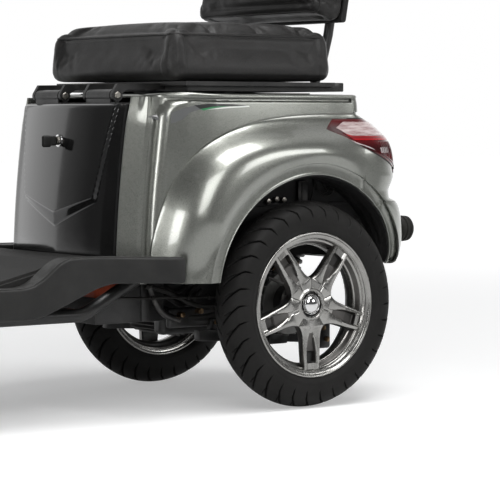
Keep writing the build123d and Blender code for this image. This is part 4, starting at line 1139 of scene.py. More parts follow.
    # ------------------------------------------------ panels
    def post(self) -> Piece:
        """The narrow strip beside the front panel, its ridge and the groove behind it."""
        plan = rounded_line([(self.post_x - 0.001, self.post_front + 0.012), (self.post_x, self.post_front),
                             self.ridge, self.groove, (self.groove[0], self.groove[1] + 0.014)],
                            [0.002, 0.0055, 0.004], 0.0015)

        def place(u: float, v: float) -> Point:
            x, y = plan[round(u * (len(plan) - 1))]
            z = self.bottom + (self.deck_low + 0.002 - self.bottom) * v
            crown = 0.009 * ease((z - 0.560) / 0.055)
            return x - crown * ease((x - 0.200) / 0.014), y + self.lean(z) + crown * 0.4, z

        return thicken(weld(patch("corner_post_left", len(plan) - 1, 60, place)), self.skin)

    def wall(self) -> Piece:
        """The side wall above the crease, with a rolled lower edge."""
        stations = [self.panel_front - 0.010 + 0.0016 * k for k in range(44)]
        start = stations[-1]
        count = 110
        stations += [start + (self.seam_y - start) * k / count for k in range(1, count + 1)]
        roll = 0.003
        rows = [(k / 70) ** 0.8 for k in range(71)]
        extra = [math.radians(a) for a in (20, 40, 60, 80, 90)]
        total = len(rows) + len(extra) + 1

        def lowest(y0: float, share: float) -> float:
            low, high = self.bottom, self.wall_top
            if self.crease_at(y0 + self.lean(low) * share) <= low:
                return low
            for _ in range(40):
                middle = (low + high) / 2
                if self.crease_at(y0 + self.lean(middle) * share) > middle:
                    low = middle
                else:
                    high = middle
            return low

        lows = [(y0, 1 - ease((y0 + 0.33) / 0.14)) for y0 in stations]
        feet = [lowest(y0, share) for y0, share in lows]

        def place(u: float, v: float) -> Point:
            k, j = round(u * (len(stations) - 1)), round(v * (total - 1))
            y0, share = lows[k]
            low = feet[k]
            t = rows[min(j, len(rows) - 1)]
            z = self.deck_low + 0.002 + (low - self.deck_low - 0.002) * t
            y = y0 + self.lean(z) * share
            x = self.wall_x(y, z)
            if j >= len(rows):
                before, after = self.crease_at(y - 0.0005), self.crease_at(y + 0.0005)
                slope = (after - before) / 0.001 if low > self.bottom + 1e-4 else 0.0
                norm = math.hypot(1, slope)
                ny, nz = slope / norm, -1 / norm
                a = extra[min(j - len(rows), len(extra) - 1)]
                y += ny * roll * math.sin(a)
                z += nz * roll * math.sin(a)
                x -= roll * (1 - math.cos(a)) + (0.006 if j == total - 1 else 0)
            return x, y, z

        return thicken(weld(patch("side_wall_left", len(stations) - 1, total - 1, place), FINE), self.skin)

    def fender(self) -> Piece:
        """The bulged fender from under the crease to the arch lip and its return."""
        around = 200
        crease = self.crease_line(around)
        outer = self.lip_outer
        down = [((k / 44) ** 1.35) for k in range(45)]
        lip = [(outer - 0.0008, 0.0025), (outer - 0.0016, 0.0004), (outer - 0.003, 0.0), (outer - 0.009, 0.0),
               (outer - 0.017, 0.0), (self.arch_radius + 0.0035, 0.0002), (self.arch_radius + 0.0022, 0.0012),
               (self.arch_radius + 0.0008, 0.0010), (self.arch_radius, -0.0008), (self.arch_radius, -0.004),
               (self.arch_radius, -0.016), (self.arch_radius, -self.lip_return)]
        rows = len(down) + len(lip)

        def place(u: float, v: float) -> Point:
            k, j = round(u * around), round(v * (rows - 1))
            share = k / around
            oy, oz = crease[k]
            if j < len(down):
                angle = self.arch_angle(outer, share)
                iy, iz = outer * math.cos(angle), self.arch_z + outer * math.sin(angle)
                w = down[j]
                y, z = oy + (iy - oy) * w, oz + (iz - oz) * w
                base = self.wall_x(oy, oz - 0.001)
                x = base + self.swell(oy, math.hypot(y - oy, z - oz))
                edge = math.hypot(y - iy, z - iz)
                rolled = self.lip_x(angle) + 0.0035
                fall = math.exp(-((edge / 0.011) ** 1.6))
                return x + (rolled - x) * fall, y, z
            radius, step = lip[j - len(down)]
            angle = self.arch_angle(radius, share)
            return self.lip_x(angle) + step, radius * math.cos(angle), self.arch_z + radius * math.sin(angle)

        return thicken(weld(patch("fender_left", around, rows - 1, place), FINE), self.skin * 0.8)

    def tail_lip(self) -> Piece:
        """The arch lip behind the tail seam, down to the bumper's lower edge."""
        outer = self.lip_outer
        rows = [(outer + 0.003, -0.006), (outer + 0.001, -0.001), (outer - 0.001, 0.0004),
                (outer - 0.003, 0.0), (outer - 0.012, 0.0), (self.arch_radius + 0.0035, 0.0002),
                (self.arch_radius + 0.0022, 0.0012), (self.arch_radius + 0.0008, 0.0010),
                (self.arch_radius, -0.0008), (self.arch_radius, -0.010), (self.arch_radius, -self.lip_return)]
        steps = 70

        def place(u: float, v: float) -> Point:
            radius, step = rows[round(v * (len(rows) - 1))]
            first = math.acos((self.seam_y + 0.0008) / radius)
            last = math.asin((self.bumper_low + 0.001 - self.arch_z) / radius)
            angle = first + (last - first) * u
            return self.lip_x(angle) + step, radius * math.cos(angle), self.arch_z + radius * math.sin(angle)

        return thicken(weld(patch("tail_lip_left", steps, len(rows) - 1, place), FINE), self.skin * 0.8)

    def arch_cutter(self, radius: float) -> Piece:
        """A round bar through both wheel arches."""
        deselect_all()
        bpy.ops.mesh.primitive_cylinder_add(vertices=160, radius=radius, depth=0.8,
                                            location=(0, 0, self.arch_z), rotation=(0, math.pi / 2, 0))
        return settle(newest("arch_cutter"))

    def tail(self) -> Piece:
        """The tail from the deck down to the bumper, the arches cut out."""
        def place(u: float, v: float) -> Point:
            return self.tail_point(self.spread(u), self.deck_low + (self.rear_low - self.deck_low) * v)

        band = thicken(weld(patch("rear_panel_shell", 150, 110, place), FINE), self.tail_skin)
        return carve(band, self.arch_cutter(self.lip_outer - 0.002))

    def bumper(self) -> Piece:
        """The rear bumper with its rolled lower edge, its ends along the wheel arches."""
        flat_rows = 34
        rolls = [(0.0, 0.0), (0.0015, 0.0035), (0.005, 0.0065), (0.010, 0.008), (0.022, 0.0085)]
        rows = flat_rows + len(rolls) - 1
        high, low = self.rear_low - 0.0006, self.bumper_low + 0.0079
        arch = self.lip_outer - 0.004

        def first_turn(z: float) -> float:
            reach = smooth_read(self.tail_rear, z) - self.tail_front
            behind = math.sqrt(arch ** 2 - (z - self.arch_z) ** 2) - self.tail_front
            return math.asin((behind / reach) ** (self.corner_power(z) / 2)) / math.pi

        def place(u: float, v: float) -> Point:
            j = round(v * rows)
            z = high + (low - high) * min(j, flat_rows - 1) / (flat_rows - 1)
            start = first_turn(z)
            inset, drop = rolls[j - flat_rows] if j >= flat_rows else rolls[0]
            x, y, z = self.tail_point(start + (1 - 2 * start) * self.spread(u), z, -inset)
            return x, y, z - drop

        return thicken(weld(patch("rear_bumper_shell", 150, rows, place), FINE), self.tail_skin)

    def deck(self) -> Piece:
        """The top deck with a rounded, slightly crowned rim, open over the storage tub."""
        front = self.panel_front - 0.008 + self.lean(self.deck_low)
        side = [(0.0, front + 0.004), (0.176, front + 0.004), (0.214, front + 0.012), (0.247, front + 0.052)]
        side += [(self.panel_x(y) - 0.0002, y) for y in (-0.20, -0.12, -0.04, 0.04, 0.10)]
        dense = rounded_line(side + [(self.panel_x(self.seam_y), self.seam_y)],
                             [0.02, 0.05, 0.08, 0.3, 0.5, 0.5, 0.5, 0.5], 0.006)
        tail = [self.tail_point(k / 60, self.deck_low)[:2] for k in range(1, 31)]
        left = list(dense) + tail
        plan = left + [(-x, y) for x, y in reversed(left[1:-1])]
        profile = [(0.0025, self.deck_low), (0.0, self.deck_low + 0.0008), (-0.0006, self.deck_low + 0.003),
                   (0.0006, self.deck_low + 0.0058), (0.0035, self.deck_top - 0.0005),
                   (0.008, self.deck_top), (0.016, self.deck_top)]
        rings = []
        for inset, z in profile:
            ring = []
            for k, (x, y) in enumerate(plan):
                nx, ny = outward_at(plan, k)
                swelling = 0.0035 * math.exp(-(((y + 0.27) / 0.045) ** 2)) * ease((abs(x) - 0.15) / 0.07)
                ring.append((x - nx * inset, y - ny * inset, z + swelling * (z - self.deck_low) / 0.008))
            rings.append(ring)
        deck = loft("deck_shell", rings)
        half, back, front_tub = self.tub
        hole = rounded_block("tub_hole", (-half - 0.002, min(back, front_tub) - 0.002, 0.60),
                             (half + 0.002, max(back, front_tub) + 0.002, 0.64), 0.012)
        return carve(deck, hole)

    # ------------------------------------------------ decals
    def decal(self, name: str, outline: Sequence[Flat], lift: float) -> Piece:
        """A thin film on the left wall from its outline in side view.

        Args:
            name: The film's name.
            outline: Corners along the side and up, in order.
            lift: How far it stands off the paint.
        Returns:
            The film, bent to the wall.
        """
        film = prism(name, [(0.0, y, z) for y, z in outline], (0.0002, 0, 0))
        with editing(film):
            bpy.ops.mesh.quads_convert_to_tris()
            bpy.ops.mesh.subdivide(number_cuts=3)
        for vertex in film.data.vertices:
            x, y, z = vertex.co
            vertex.co.x = x + self.wall_x(y, z) + lift
        return film

    def build(self) -> None:
        """Makes the body, its twin panels and their finish."""
        for piece in (self.post(), self.wall(), self.fender(), self.tail_lip()):
            nodes = ("side_panel", "arch_trim") if piece.name == "side_wall_left" else ()
            self.shop.pair(smooth(piece, 40), Finish.SILVER, "body_silver", *nodes)
        for piece, node in ((self.tail(), "rear_panel"),
                            (self.bumper(), "rear_bumper"), (self.deck(), "body_deck")):
            self.shop.fit(smooth(piece, 40), "chassis", Finish.SILVER, "body_silver", node)
        films = (("decal_diamond", Finish.GREY_DECAL,
                  ((-0.3365, 0.5755), (-0.3000, 0.5835), (-0.2740, 0.5925), (-0.2460, 0.5980),
                   (-0.2360, 0.5910), (-0.2630, 0.5835), (-0.2780, 0.5705), (-0.3000, 0.5625))),
                 ("decal_stroke", Finish.DARK_DECAL,
                  ((-0.2520, 0.5975), (-0.2190, 0.6010), (-0.1700, 0.5998), (-0.1310, 0.5968),
                   (-0.1740, 0.5966), (-0.2115, 0.5950), (-0.2390, 0.5900))),
                 ("decal_green_stroke", Finish.GREEN_DECAL,
                  ((-0.2395, 0.5905), (-0.2120, 0.5950), (-0.1745, 0.5966), (-0.2120, 0.5922),
                   (-0.2330, 0.5875))),
                 ("decal_pale_stroke", Finish.PALE_DECAL,
                  ((-0.2280, 0.5890), (-0.1900, 0.5942), (-0.1310, 0.5972),
                   (-0.1290, 0.5948), (-0.1830, 0.5920))))
        for index, (name, finish, outline) in enumerate(films):
            self.shop.pair(self.decal(name, outline, 0.00015 + 0.00005 * index), finish, "body_silver")


# ---------------------------------------------------------------- wheels
@dataclass
class RoadWheel:
    """A cast wheel with its tyre, modelled about the axle with the outer side towards +X."""

    shop: Paintshop
    tyre_radius: float = 0.205
    tyre_half: float = 0.042
    bead_radius: float = 0.132
    lip_radius: float = 0.144
    rim_half: float = 0.038
    strokes: int = 34
    around: int = 1054
    across: int = 66
    groove_depth: float = 0.0052
    groove_half: float = 0.0016
    spokes: int = 5
    spoke_half: float = 0.0208
    face: float = 0.0255
    thickness: float = 0.017

    def section(self) -> list[Flat]:
        """The tyre's outline from the outer bead over the tread to the inner bead."""
        half, crown = self.tyre_half, self.tyre_radius
        bead = self.rim_half - 0.0052
        nodes = [(bead, 0.1405), (0.0385, 0.1490), (0.0412, 0.1600), (0.0418, 0.1700), (0.0408, 0.1790),
                 (0.0380, 0.1862), (0.0335, 0.1920), (0.0275, 0.1968), (0.0195, 0.2008),
                 (0.0100, 0.2037), (0.0, crown)]
        nodes += [(-x, r) for x, r in reversed(nodes[:-1])]
        dense: list[Flat] = []
        for k in range(len(nodes) - 1):
            p0, p1, p2, p3 = nodes[max(k - 1, 0)], nodes[k], nodes[k + 1], nodes[min(k + 2, len(nodes) - 1)]
            for j in range(8):
                t = j / 8
                dense.append(tuple(0.5 * (2 * b + (c - a) * t + (2 * a - 5 * b + 4 * c - d) * t * t
                                          + (3 * b - a - 3 * c + d) * t ** 3)
                                   for a, b, c, d in zip(p0, p1, p2, p3)))
        dense.append(nodes[-1])
        return [(min(max(x, -half), half), r) for x, r in evenly(dense, self.across)]

    def reach(self, s: float) -> float:
        """How far round the wheel a tread cut has run at a distance from the middle of the tread."""
        if s < 0.040:
            return 0.050 * (s / 0.050) ** 0.85
        return 0.0414 + 0.0045 * (1 - math.exp(-(s - 0.040) / 0.006))

    def groove(self, along: float, across: float) -> float:
        """Depth of the tread at a place.

        Args:
            along: Distance round the crown, forwards as the wheel rolls.
            across: Signed distance from the middle of the tread, measured over the section.
        Returns:
            The share of the full depth, from 0 to 1.
        """
        pitch = math.tau * self.tyre_radius / self.strokes
        s = abs(across)
        if s > 0.064:
            return 0.0
        offset = 0.0 if across > 0 else pitch * 0.5
        wide = self.groove_half * (1.2 - 0.45 * ease((s - 0.030) / 0.030))
        gap = (along + self.reach(s) + offset) % pitch
        gap = min(gap, pitch - gap)
        taper = ease((s - 0.001) / 0.005) * (1 - ease((s - 0.050) / 0.014))
        deepest = taper * (1 - ease((gap - wide * 0.55) / (wide * 0.7)))
        if 0.010 < s < 0.034:
            gap = (along + self.reach(s) * 0.6 + offset + pitch * 0.42) % pitch
            gap = min(gap, pitch - gap)
            taper = ease((s - 0.011) / 0.004) * (1 - ease((s - 0.024) / 0.009))
            deepest = max(deepest, 0.55 * taper * (1 - ease((gap - 0.0005) / 0.0012)))
        return deepest

    def tyre(self) -> Piece:
        """The tyre with its cut tread and sidewall rings; an attribute keeps the cuts for the rubber, which
        paints shade in them.
        """
        line = self.section()
        count, around = len(line) - 1, self.around
        across, total = [0.0], 0.0
        for a, b in zip(line, line[1:]):
            total += math.dist(a, b)
            across.append(total)
        middle = total / 2
        cuts: list[float] = []

        def place(u: float, v: float) -> Point:
            k, j = round(u * around) % around, round(v * count)
            x, r = line[j]
            s = middle - across[j]
            angle = math.tau * k / around
            cut = self.groove(angle * self.tyre_radius, s)
            cuts.append(cut)
            depth = cut * self.groove_depth
            ring = 0.0
            if abs(s) > 0.058:
                dashes = 0.35 + 0.65 * (math.sin(angle * 54) > 0.2)
                ring = 0.0008 * dashes * math.exp(-(((r - 0.1765) / 0.0011) ** 2))
                ring += 0.0011 * math.exp(-(((r - 0.1545) / 0.0016) ** 2))
            a, b = line[max(j - 1, 0)], line[min(j + 1, count)]
            length = math.dist(a, b)
            nx, nr = (a[1] - b[1]) / length, (b[0] - a[0]) / length
            if nr < 0:
                nx, nr = -nx, -nr
            if abs(nr) < 0.2:
                nx, nr = math.copysign(1, x), 0.0
            x, r = x - nx * depth + math.copysign(ring, x), r - nr * depth
            return x, r * math.cos(angle), r * math.sin(angle)

        tyre = patch("tyre", around, count, place)
        tyre.data.attributes.new("cut", "FLOAT", "POINT").data.foreach_set("value", cuts)
        weld(tyre, FINE)
        with editing(tyre, "DESELECT"):
            bpy.ops.mesh.select_mode(type="EDGE")
            bpy.ops.mesh.select_non_manifold()
            bpy.ops.mesh.bridge_edge_loops()
            face_outwards()
        self.shop.coat(tyre, Finish.TYRE)
        return smooth(tyre, 45)

    def barrel(self) -> Piece:
        """The stepped barrel between the two lips: bright lip, step and bed, with darker bands of painted
        shade between them and painted shade over its inner half.
        """
        h, lip, seat = self.rim_half, self.lip_radius, self.bead_radius
        outer = [(h - 0.0012, lip), (h, lip - 0.0012), (h, lip - 0.0034), (h - 0.0012, lip - 0.0046),
                 (h - 0.0040, lip - 0.0054), (h - 0.0052, lip - 0.0072), (h - 0.0060, lip - 0.0110),
                 (h - 0.0074, lip - 0.0128), (h - 0.0140, lip - 0.0142), (h - 0.0152, lip - 0.0152),
                 (h - 0.0158, lip - 0.0182), (h - 0.0168, lip - 0.0190), (h - 0.0250, lip - 0.0222),
                 (h - 0.0260, lip - 0.0232), (h - 0.0266, lip - 0.0250), (h - 0.0276, lip - 0.0258),
                 (h - 0.0375, lip - 0.0264)]
        inner = [(-x, r) for x, r in reversed(outer)]
        back = [(-h + 0.0045, seat + 0.0085), (-h + 0.005, seat), (-h + 0.016, seat),
                (-h + 0.022, seat - 0.005), (-0.012, seat - 0.0095), (0.012, seat - 0.0095),
                (h - 0.022, seat - 0.005), (h - 0.016, seat), (h - 0.005, seat), (h - 0.0045, seat + 0.0085)]
        barrel = smooth(turned("rim_barrel", outer + inner + back, steps=144), 50)
        self.shop.coat(barrel, Finish.ALLOY)
        # the band between the lip's step and the bed gets the shaded alloy: painted shade
        self.shop.second(barrel, Finish.ALLOY_PAINTED_SHADE, lambda face: h - 0.0262 < face.center.x < h - 0.0162)
        # the inner half of the barrel gets the dark casting: painted shade behind the spokes
        self.shop.second(barrel, Finish.CAST, lambda face: -h + 0.012 < face.center.x < 0.0002)
        return barrel

    def spoke(self) -> Piece:
        """One double-ribbed spoke, reaching up from the axle."""
        rings = []
        stations = [0.024 + 0.1050 * k / 60 for k in range(61)]
        for r in stations:
            root, tip = 0.019 * math.exp(-max(r - 0.036, 0) / 0.0115), 0.0015 * ease((r - 0.09) / 0.03)
            free = self.spoke_half + root - tip
            half = min(free, r * math.tan(math.pi / self.spokes) + 0.0002)
            height = self.face + 0.0020 * ease((r - 0.05) / 0.07)
            channel = 0.0014 + 0.0076 * ease((r - 0.036) / 0.060)
            floor = 0.0006 + 0.0072 * ease((r - 0.037) / 0.050) + 0.0050 * ease((r - 0.0925) / 0.003)
            floor -= 0.0095 * ease((r - 0.1145) / 0.002)
            shoulder = max(half - 0.0080, channel + 0.002) if r > 0.045 else channel + 0.002
            edge = min(0.0026, half * 0.2)
            crown = [(half - edge, height), (half - edge * 0.3, height - edge * 0.3), (half, height - edge),
                     (half + 0.0015, height - self.thickness + 0.003),
                     (half - 0.001, height - self.thickness)]
            slope = 0.0012 + 0.0012 * ease((r - 0.05) / 0.04)
            top = [(channel, height - floor), (channel + slope, height - floor * 0.3),
                   (channel + slope + 0.0014, height - 0.0004),
                   (max(shoulder, channel + slope + 0.0022), height + 0.0003)]
            ring = [(0.0, height - floor)] + top + crown + [(0.0, height - self.thickness)]
            ring += [(-w, x) for w, x in reversed(crown)] + [(-w, x) for w, x in reversed(top)]
            rings.append([(x, w, r) for w, x in ring])
        return smooth(loft("spoke", rings), 32)

    def spider(self) -> Piece:
        """The five spokes with the boss and the hub behind them."""
        first = self.spoke()
        arms = [first]
        for k in range(1, self.spokes):
            arm = doubled(first, f"spoke_{k}")
            arm.rotation_euler = (math.tau * k / self.spokes, 0, 0)
            arms.append(settle(arm))
        for arm in arms:
            arm.rotation_euler = (math.pi, 0, 0)
            settle(arm)
        face = self.face
        boss = smooth(turned("boss", [(face + 0.0012, 0.0315), (face + 0.0026, 0.0300),
                                      (face + 0.0026, 0.0272), (face + 0.0010, 0.0258),
                                      (face - 0.0060, 0.0245), (face - 0.0065, 0.0150),
                                      (face - 0.0065, 0.0100), (-0.024, 0.0100), (-0.024, 0.036),
                                      (-0.018, 0.044), (0.004, 0.046), (0.008, 0.043), (face - 0.006, 0.0400),
                                      (face - 0.001, 0.0340)], steps=96), 40)
        spider = joined("rim_spokes", [*arms, boss])
        self.shop.coat(spider, Finish.ALLOY)

        def place(face: bpy.types.MeshPolygon) -> Flat:
            return face.center.x, math.hypot(face.center.y, face.center.z)

        # faces below the spokes' top face get the shaded alloy: painted shade
        self.shop.second(spider, Finish.ALLOY_PAINTED_SHADE,
                         lambda face: place(face)[0] < self.face - 0.0030 and place(face)[1] > 0.046)
        # the deep pockets near the spokes' ends get the dark casting: painted shade
        self.shop.second(spider, Finish.CAST,
                         lambda face: place(face)[0] < self.face - 0.0085 and 0.0915 < place(face)[1] < 0.1155
                         and abs(face.normal.x) > 0.5)
        # the hollow round the hub cap gets the dark casting: painted shade
        self.shop.second(spider, Finish.CAST,
                         lambda face: 0.008 < place(face)[1] < 0.0250 and place(face)[0] > 0.01)
        return spider

    def cap(self) -> Piece:
        """The plated dome on the hub, with its ring."""
        deselect_all()
        bpy.ops.mesh.primitive_uv_sphere_add(segments=64, ring_count=32, radius=0.0175,
                                             location=(self.face - 0.0015, 0, 0))
        dome = newest("cap_dome")
        dome.scale = (0.60, 1, 1)
        settle(dome)
        ring = turned("cap_ring", [(self.face - 0.006, 0.0212), (self.face - 0.0005, 0.0206),
                                   (self.face + 0.0006, 0.0197), (self.face - 0.0002, 0.0188),
                                   (self.face - 0.006, 0.0184)], steps=64)
        cap = smooth(joined("hub_cap", [dome, ring]), 50)
        self.shop.coat(cap, Finish.CHROME)
        return cap

    def valve(self) -> Piece:
        """The tyre valve through the barrel."""
        stem = round_bar("valve_stem", (0.012, -0.0980, 0.0580), (0.026, -0.0800, 0.0470), 0.0028, 16)
        lid = round_bar("valve_lid", (0.024, -0.0830, 0.0488), (0.031, -0.0735, 0.0432), 0.0036, 16, 0.0008)
        valve = smooth(joined("tyre_valve", [stem, lid]), 40)
        self.shop.coat(valve, Finish.RUBBER)
        return valve

    def pieces(self) -> list[tuple[Piece, str]]:
        """Makes the pieces of one wheel, each with its material slot; the tyre and the barrel come first."""
        return [(self.tyre(), "tyre"), (self.barrel(), "alloy"), (self.spider(), "alloy"),
                (self.cap(), "alloy"), (self.valve(), "rubber")]


@dataclass
class WheelSet:
    """The three wheels, all of one pattern."""

    shop: Paintshop
    hub: float = 0.205
    half_track: float = 0.267
    wheelbase: float = 1.130

    def build(self) -> None:
        """Models one wheel, copies its pieces and hands them to the three wheel bodies."""
        pattern = RoadWheel(self.shop).pieces()
        left, right = (self.half_track, 0.0, self.hub), (-self.half_track, 0.0, self.hub)
        stands = (("rear_wheel_left", ("rear_tyre_left", "rear_rim_left"), left, False),
                  ("rear_wheel_right", ("rear_tyre_right", "rear_rim_right"), right, True),
                  ("front_wheel", ("front_tyre", "front_rim"), (0.0, -self.wheelbase, self.hub), False))
        for body, nodes, centre, other_side in stands:
            for index, (piece, slot) in enumerate(pattern):
                name = f"{body}_{piece.name}"
                copy = mirrored(piece, name) if other_side else doubled(piece, name)
                copy.location = centre
                self.shop.fit(copy, body, None, slot, *nodes[index:index + 1])
        for piece, _ in pattern:
            bpy.data.objects.remove(piece)


# ---------------------------------------------------------------- front panel and floor
@dataclass
class FrontPanel:
    """The polished panel under the seat's front edge, with its raised shield, lock and key stub."""

    shop: Paintshop
    body: RearBody
    half: float = 0.1885
    low: float = 0.262
    high: float = 0.6005
    bow: float = 0.018
    raised: float = 0.005
    wall: float = 0.003
    roll: float = 0.007
    shield: Sequence[Flat] = ((-0.181, 0.640), (-0.131, 0.413), (0.0, 0.3620), (0.131, 0.413), (0.181, 0.640))
    plateau: Sequence[Flat] = ((-0.1755, 0.640), (-0.1265, 0.4185), (0.0, 0.3880),
                               (0.1265, 0.4185), (0.1755, 0.640))
    lock_place: Flat = (-0.001, 0.5285)

    def face_y(self, x: float, z: float) -> float:
        """The panel's skin at a place across and up."""
        share = abs(x) / self.half
        y = self.body.post_front + self.body.lean(z) - self.bow * (1 - share * share)
        outer, inner = inside_distance(self.shield, x, z), inside_distance(self.plateau, x, z)
        if outer > 0:
            y -= self.raised * (1.0 if inner > 0 else outer / (outer - inner))
        return y

    def skin(self) -> Piece:
        """The panel with rolled side and top edges."""
        columns, rows = 150, 130
        turn_in = (0.0, 0.0006, 0.0022, 0.0048, self.roll + 0.004)

        def place(u: float, v: float) -> Point:
            k, j = round(u * (columns + 8)) - 4, round(v * (rows + 4))
            back = 0.0
            if k < 0:
                back, k = turn_in[-k], 0
                x = -self.half - back * 0.05
            elif k > columns:
                back, k = turn_in[k - columns], columns
                x = self.half + back * 0.05
            else:
                x = -self.half + 2 * self.half * k / columns
            z = self.low + (self.high - self.low) * min(j, rows) / rows
            crown = 0.0
            if j > rows:
                crown = turn_in[j - rows]
                z += crown * 0.15
            near_top = max(z - (self.high - self.roll), 0.0) / self.roll
            near_side = max(abs(x) - (self.half - self.roll), 0.0) / self.roll
            fall = self.roll * ((1 - math.sqrt(max(1 - min(near_side, 1) ** 2, 0))) * 0.45
                                + (1 - math.sqrt(max(1 - min(near_top, 1) ** 2, 0))) * 0.6)
            return x, self.face_y(x, min(z, self.high)) + fall + back + crown, z

        panel = weld(patch("front_panel_shell", columns + 8, rows + 4, place), FINE)
        return smooth(thicken(panel, self.wall), 24)

    def cover_back(self) -> Piece:
        """The flat tray behind the panel that closes it off from the battery."""
        return rounded_block("front_panel_tray", (-self.half + 0.004, -0.372, self.low + 0.03),
                             (self.half - 0.004, -0.362, self.high - 0.012), 0.002)

    def lock(self) -> list[Piece]:
        """The seat lock: bezel ring, barrel, key stub."""
        x, z = self.lock_place
        y = self.face_y(x, z)
        bezel = turned("lock_bezel",
                       [(0.0, 0.0125), (0.0032, 0.0122), (0.0040, 0.0108), (0.0040, 0.0092), (0.0, 0.0090)],
                       steps=48)
        barrel = turned("lock_barrel",
                        [(0.0, 0.0), (0.0, 0.0088), (0.0075, 0.0086), (0.0086, 0.0076), (0.0086, 0.0)],
                        steps=40)
        key = rounded_block("lock_key", (0.0080, -0.0032, -0.0095), (0.0245, 0.0032, 0.0095), 0.0028)
        bow = rounded_block("lock_key_bow", (0.0200, -0.0045, -0.0125), (0.0400, 0.0045, 0.0105), 0.0042)
        made = []
        for piece, finish in ((bezel, Finish.CHROME), (barrel, Finish.ZINC),
                              (key, Finish.BLACK_PLASTIC), (bow, Finish.BLACK_PLASTIC)):
            self.shop.coat(piece, finish)
            made.append(smooth(set_down(piece, (x, y + 0.0012, z), TO_FRONT), 40))
        return made

    def build(self) -> None:
        """Makes the panel and its lock."""
        self.shop.fit(self.skin(), "chassis", Finish.GLOSS_BLACK, "black_gloss", "front_panel")
        self.shop.fit(self.cover_back(), "chassis", Finish.LINER_PLASTIC, "black_plastic")
        lock = self.lock()
        for index, piece in enumerate(lock):
            nodes = ("charge_socket",) if index == 0 else ()
            self.shop.fit(piece, "chassis", None, "black_plastic", *nodes)


@dataclass
class FloorTrim:
    """The grained side skirts of the floor, stepping up from the foot well to the rear body."""

    shop: Paintshop
    inner: Sequence[Flat] = ((-0.872, 0.2200), (-0.865, 0.2340), (-0.850, 0.2360), (-0.43, 0.2360),
                             (-0.385, 0.2390), (-0.352, 0.2440), (-0.340, 0.2500),
                             (-0.328, 0.2700), (-0.3165, 0.2960))
    outer: Sequence[Flat] = ((-0.872, 0.2420), (-0.868, 0.2560), (-0.860, 0.2660), (-0.845, 0.2760),
                             (-0.80, 0.2840), (-0.62, 0.2870), (-0.47, 0.2905),
                             (-0.39, 0.3010), (-0.3165, 0.3130))
    lower: Sequence[Flat] = ((-0.872, 0.206), (-0.64, 0.2065), (-0.618, 0.2100), (-0.571, 0.2270),
                             (-0.521, 0.2480), (-0.488, 0.2600), (-0.455, 0.2655), (-0.3165, 0.2620))
    upper: Sequence[Flat] = ((-0.872, 0.2640), (-0.665, 0.2640), (-0.640, 0.2665), (-0.615, 0.2780),
                             (-0.590, 0.2970), (-0.572, 0.3090), (-0.553, 0.3155),
                             (-0.52, 0.3165), (-0.3165, 0.3105))
    start: float = -0.872
    end: float = -0.3165
    corner: float = 0.0045

    def bar(self) -> Piece:
        """The left skirt."""
        rings = []
        steps = 120
        for k in range(steps + 1):
            y = self.start + (self.end - self.start) * k / steps
            low, high = smooth_read(self.lower, y), smooth_read(self.upper, y)
            inner, outer = smooth_read(self.inner, y), smooth_read(self.outer, y)
            shrink = 0.0012 if k in (0, steps) else 0.0
            corner = min(self.corner, (outer - inner) * 0.42)
            middle = (low + high) / 2
            ring = []
            for x, z in ring_section((inner + shrink, low + shrink),
                                     (outer - shrink, high - shrink), corner, 5):
                bow = 0.006 * ((z - middle) / (high - low)) ** 2 if x > (inner + outer) / 2 else 0.0
                ring.append((x - bow, y, z))
            rings.append(ring)
        bar = loft("floor_trim_shell_left", rings)
        return smooth(bar, 40)

    def lip(self) -> Piece:
        """The raised bead along the skirt's top outer edge."""
        rings = []
        steps = 110
        for k in range(steps + 1):
            y = self.start + 0.012 + (self.end - 0.004 - self.start - 0.012) * k / steps
            x, z = smooth_read(self.outer, y) - 0.0065, smooth_read(self.upper, y)
            rings.append([(x + 0.0028 * math.cos(math.tau * i / 12), y,
                           z - 0.0002 + 0.0018 * math.sin(math.tau * i / 12)) for i in range(12)])
        return smooth(loft("floor_trim_bead_left", rings), 60)

    def build(self) -> None:
        """Makes both skirts."""
        for piece, nodes in ((self.bar(), ("floor_trim",)), (self.lip(), ())):
            self.shop.pair(piece, Finish.BLACK_PLASTIC, "black_plastic", *nodes)


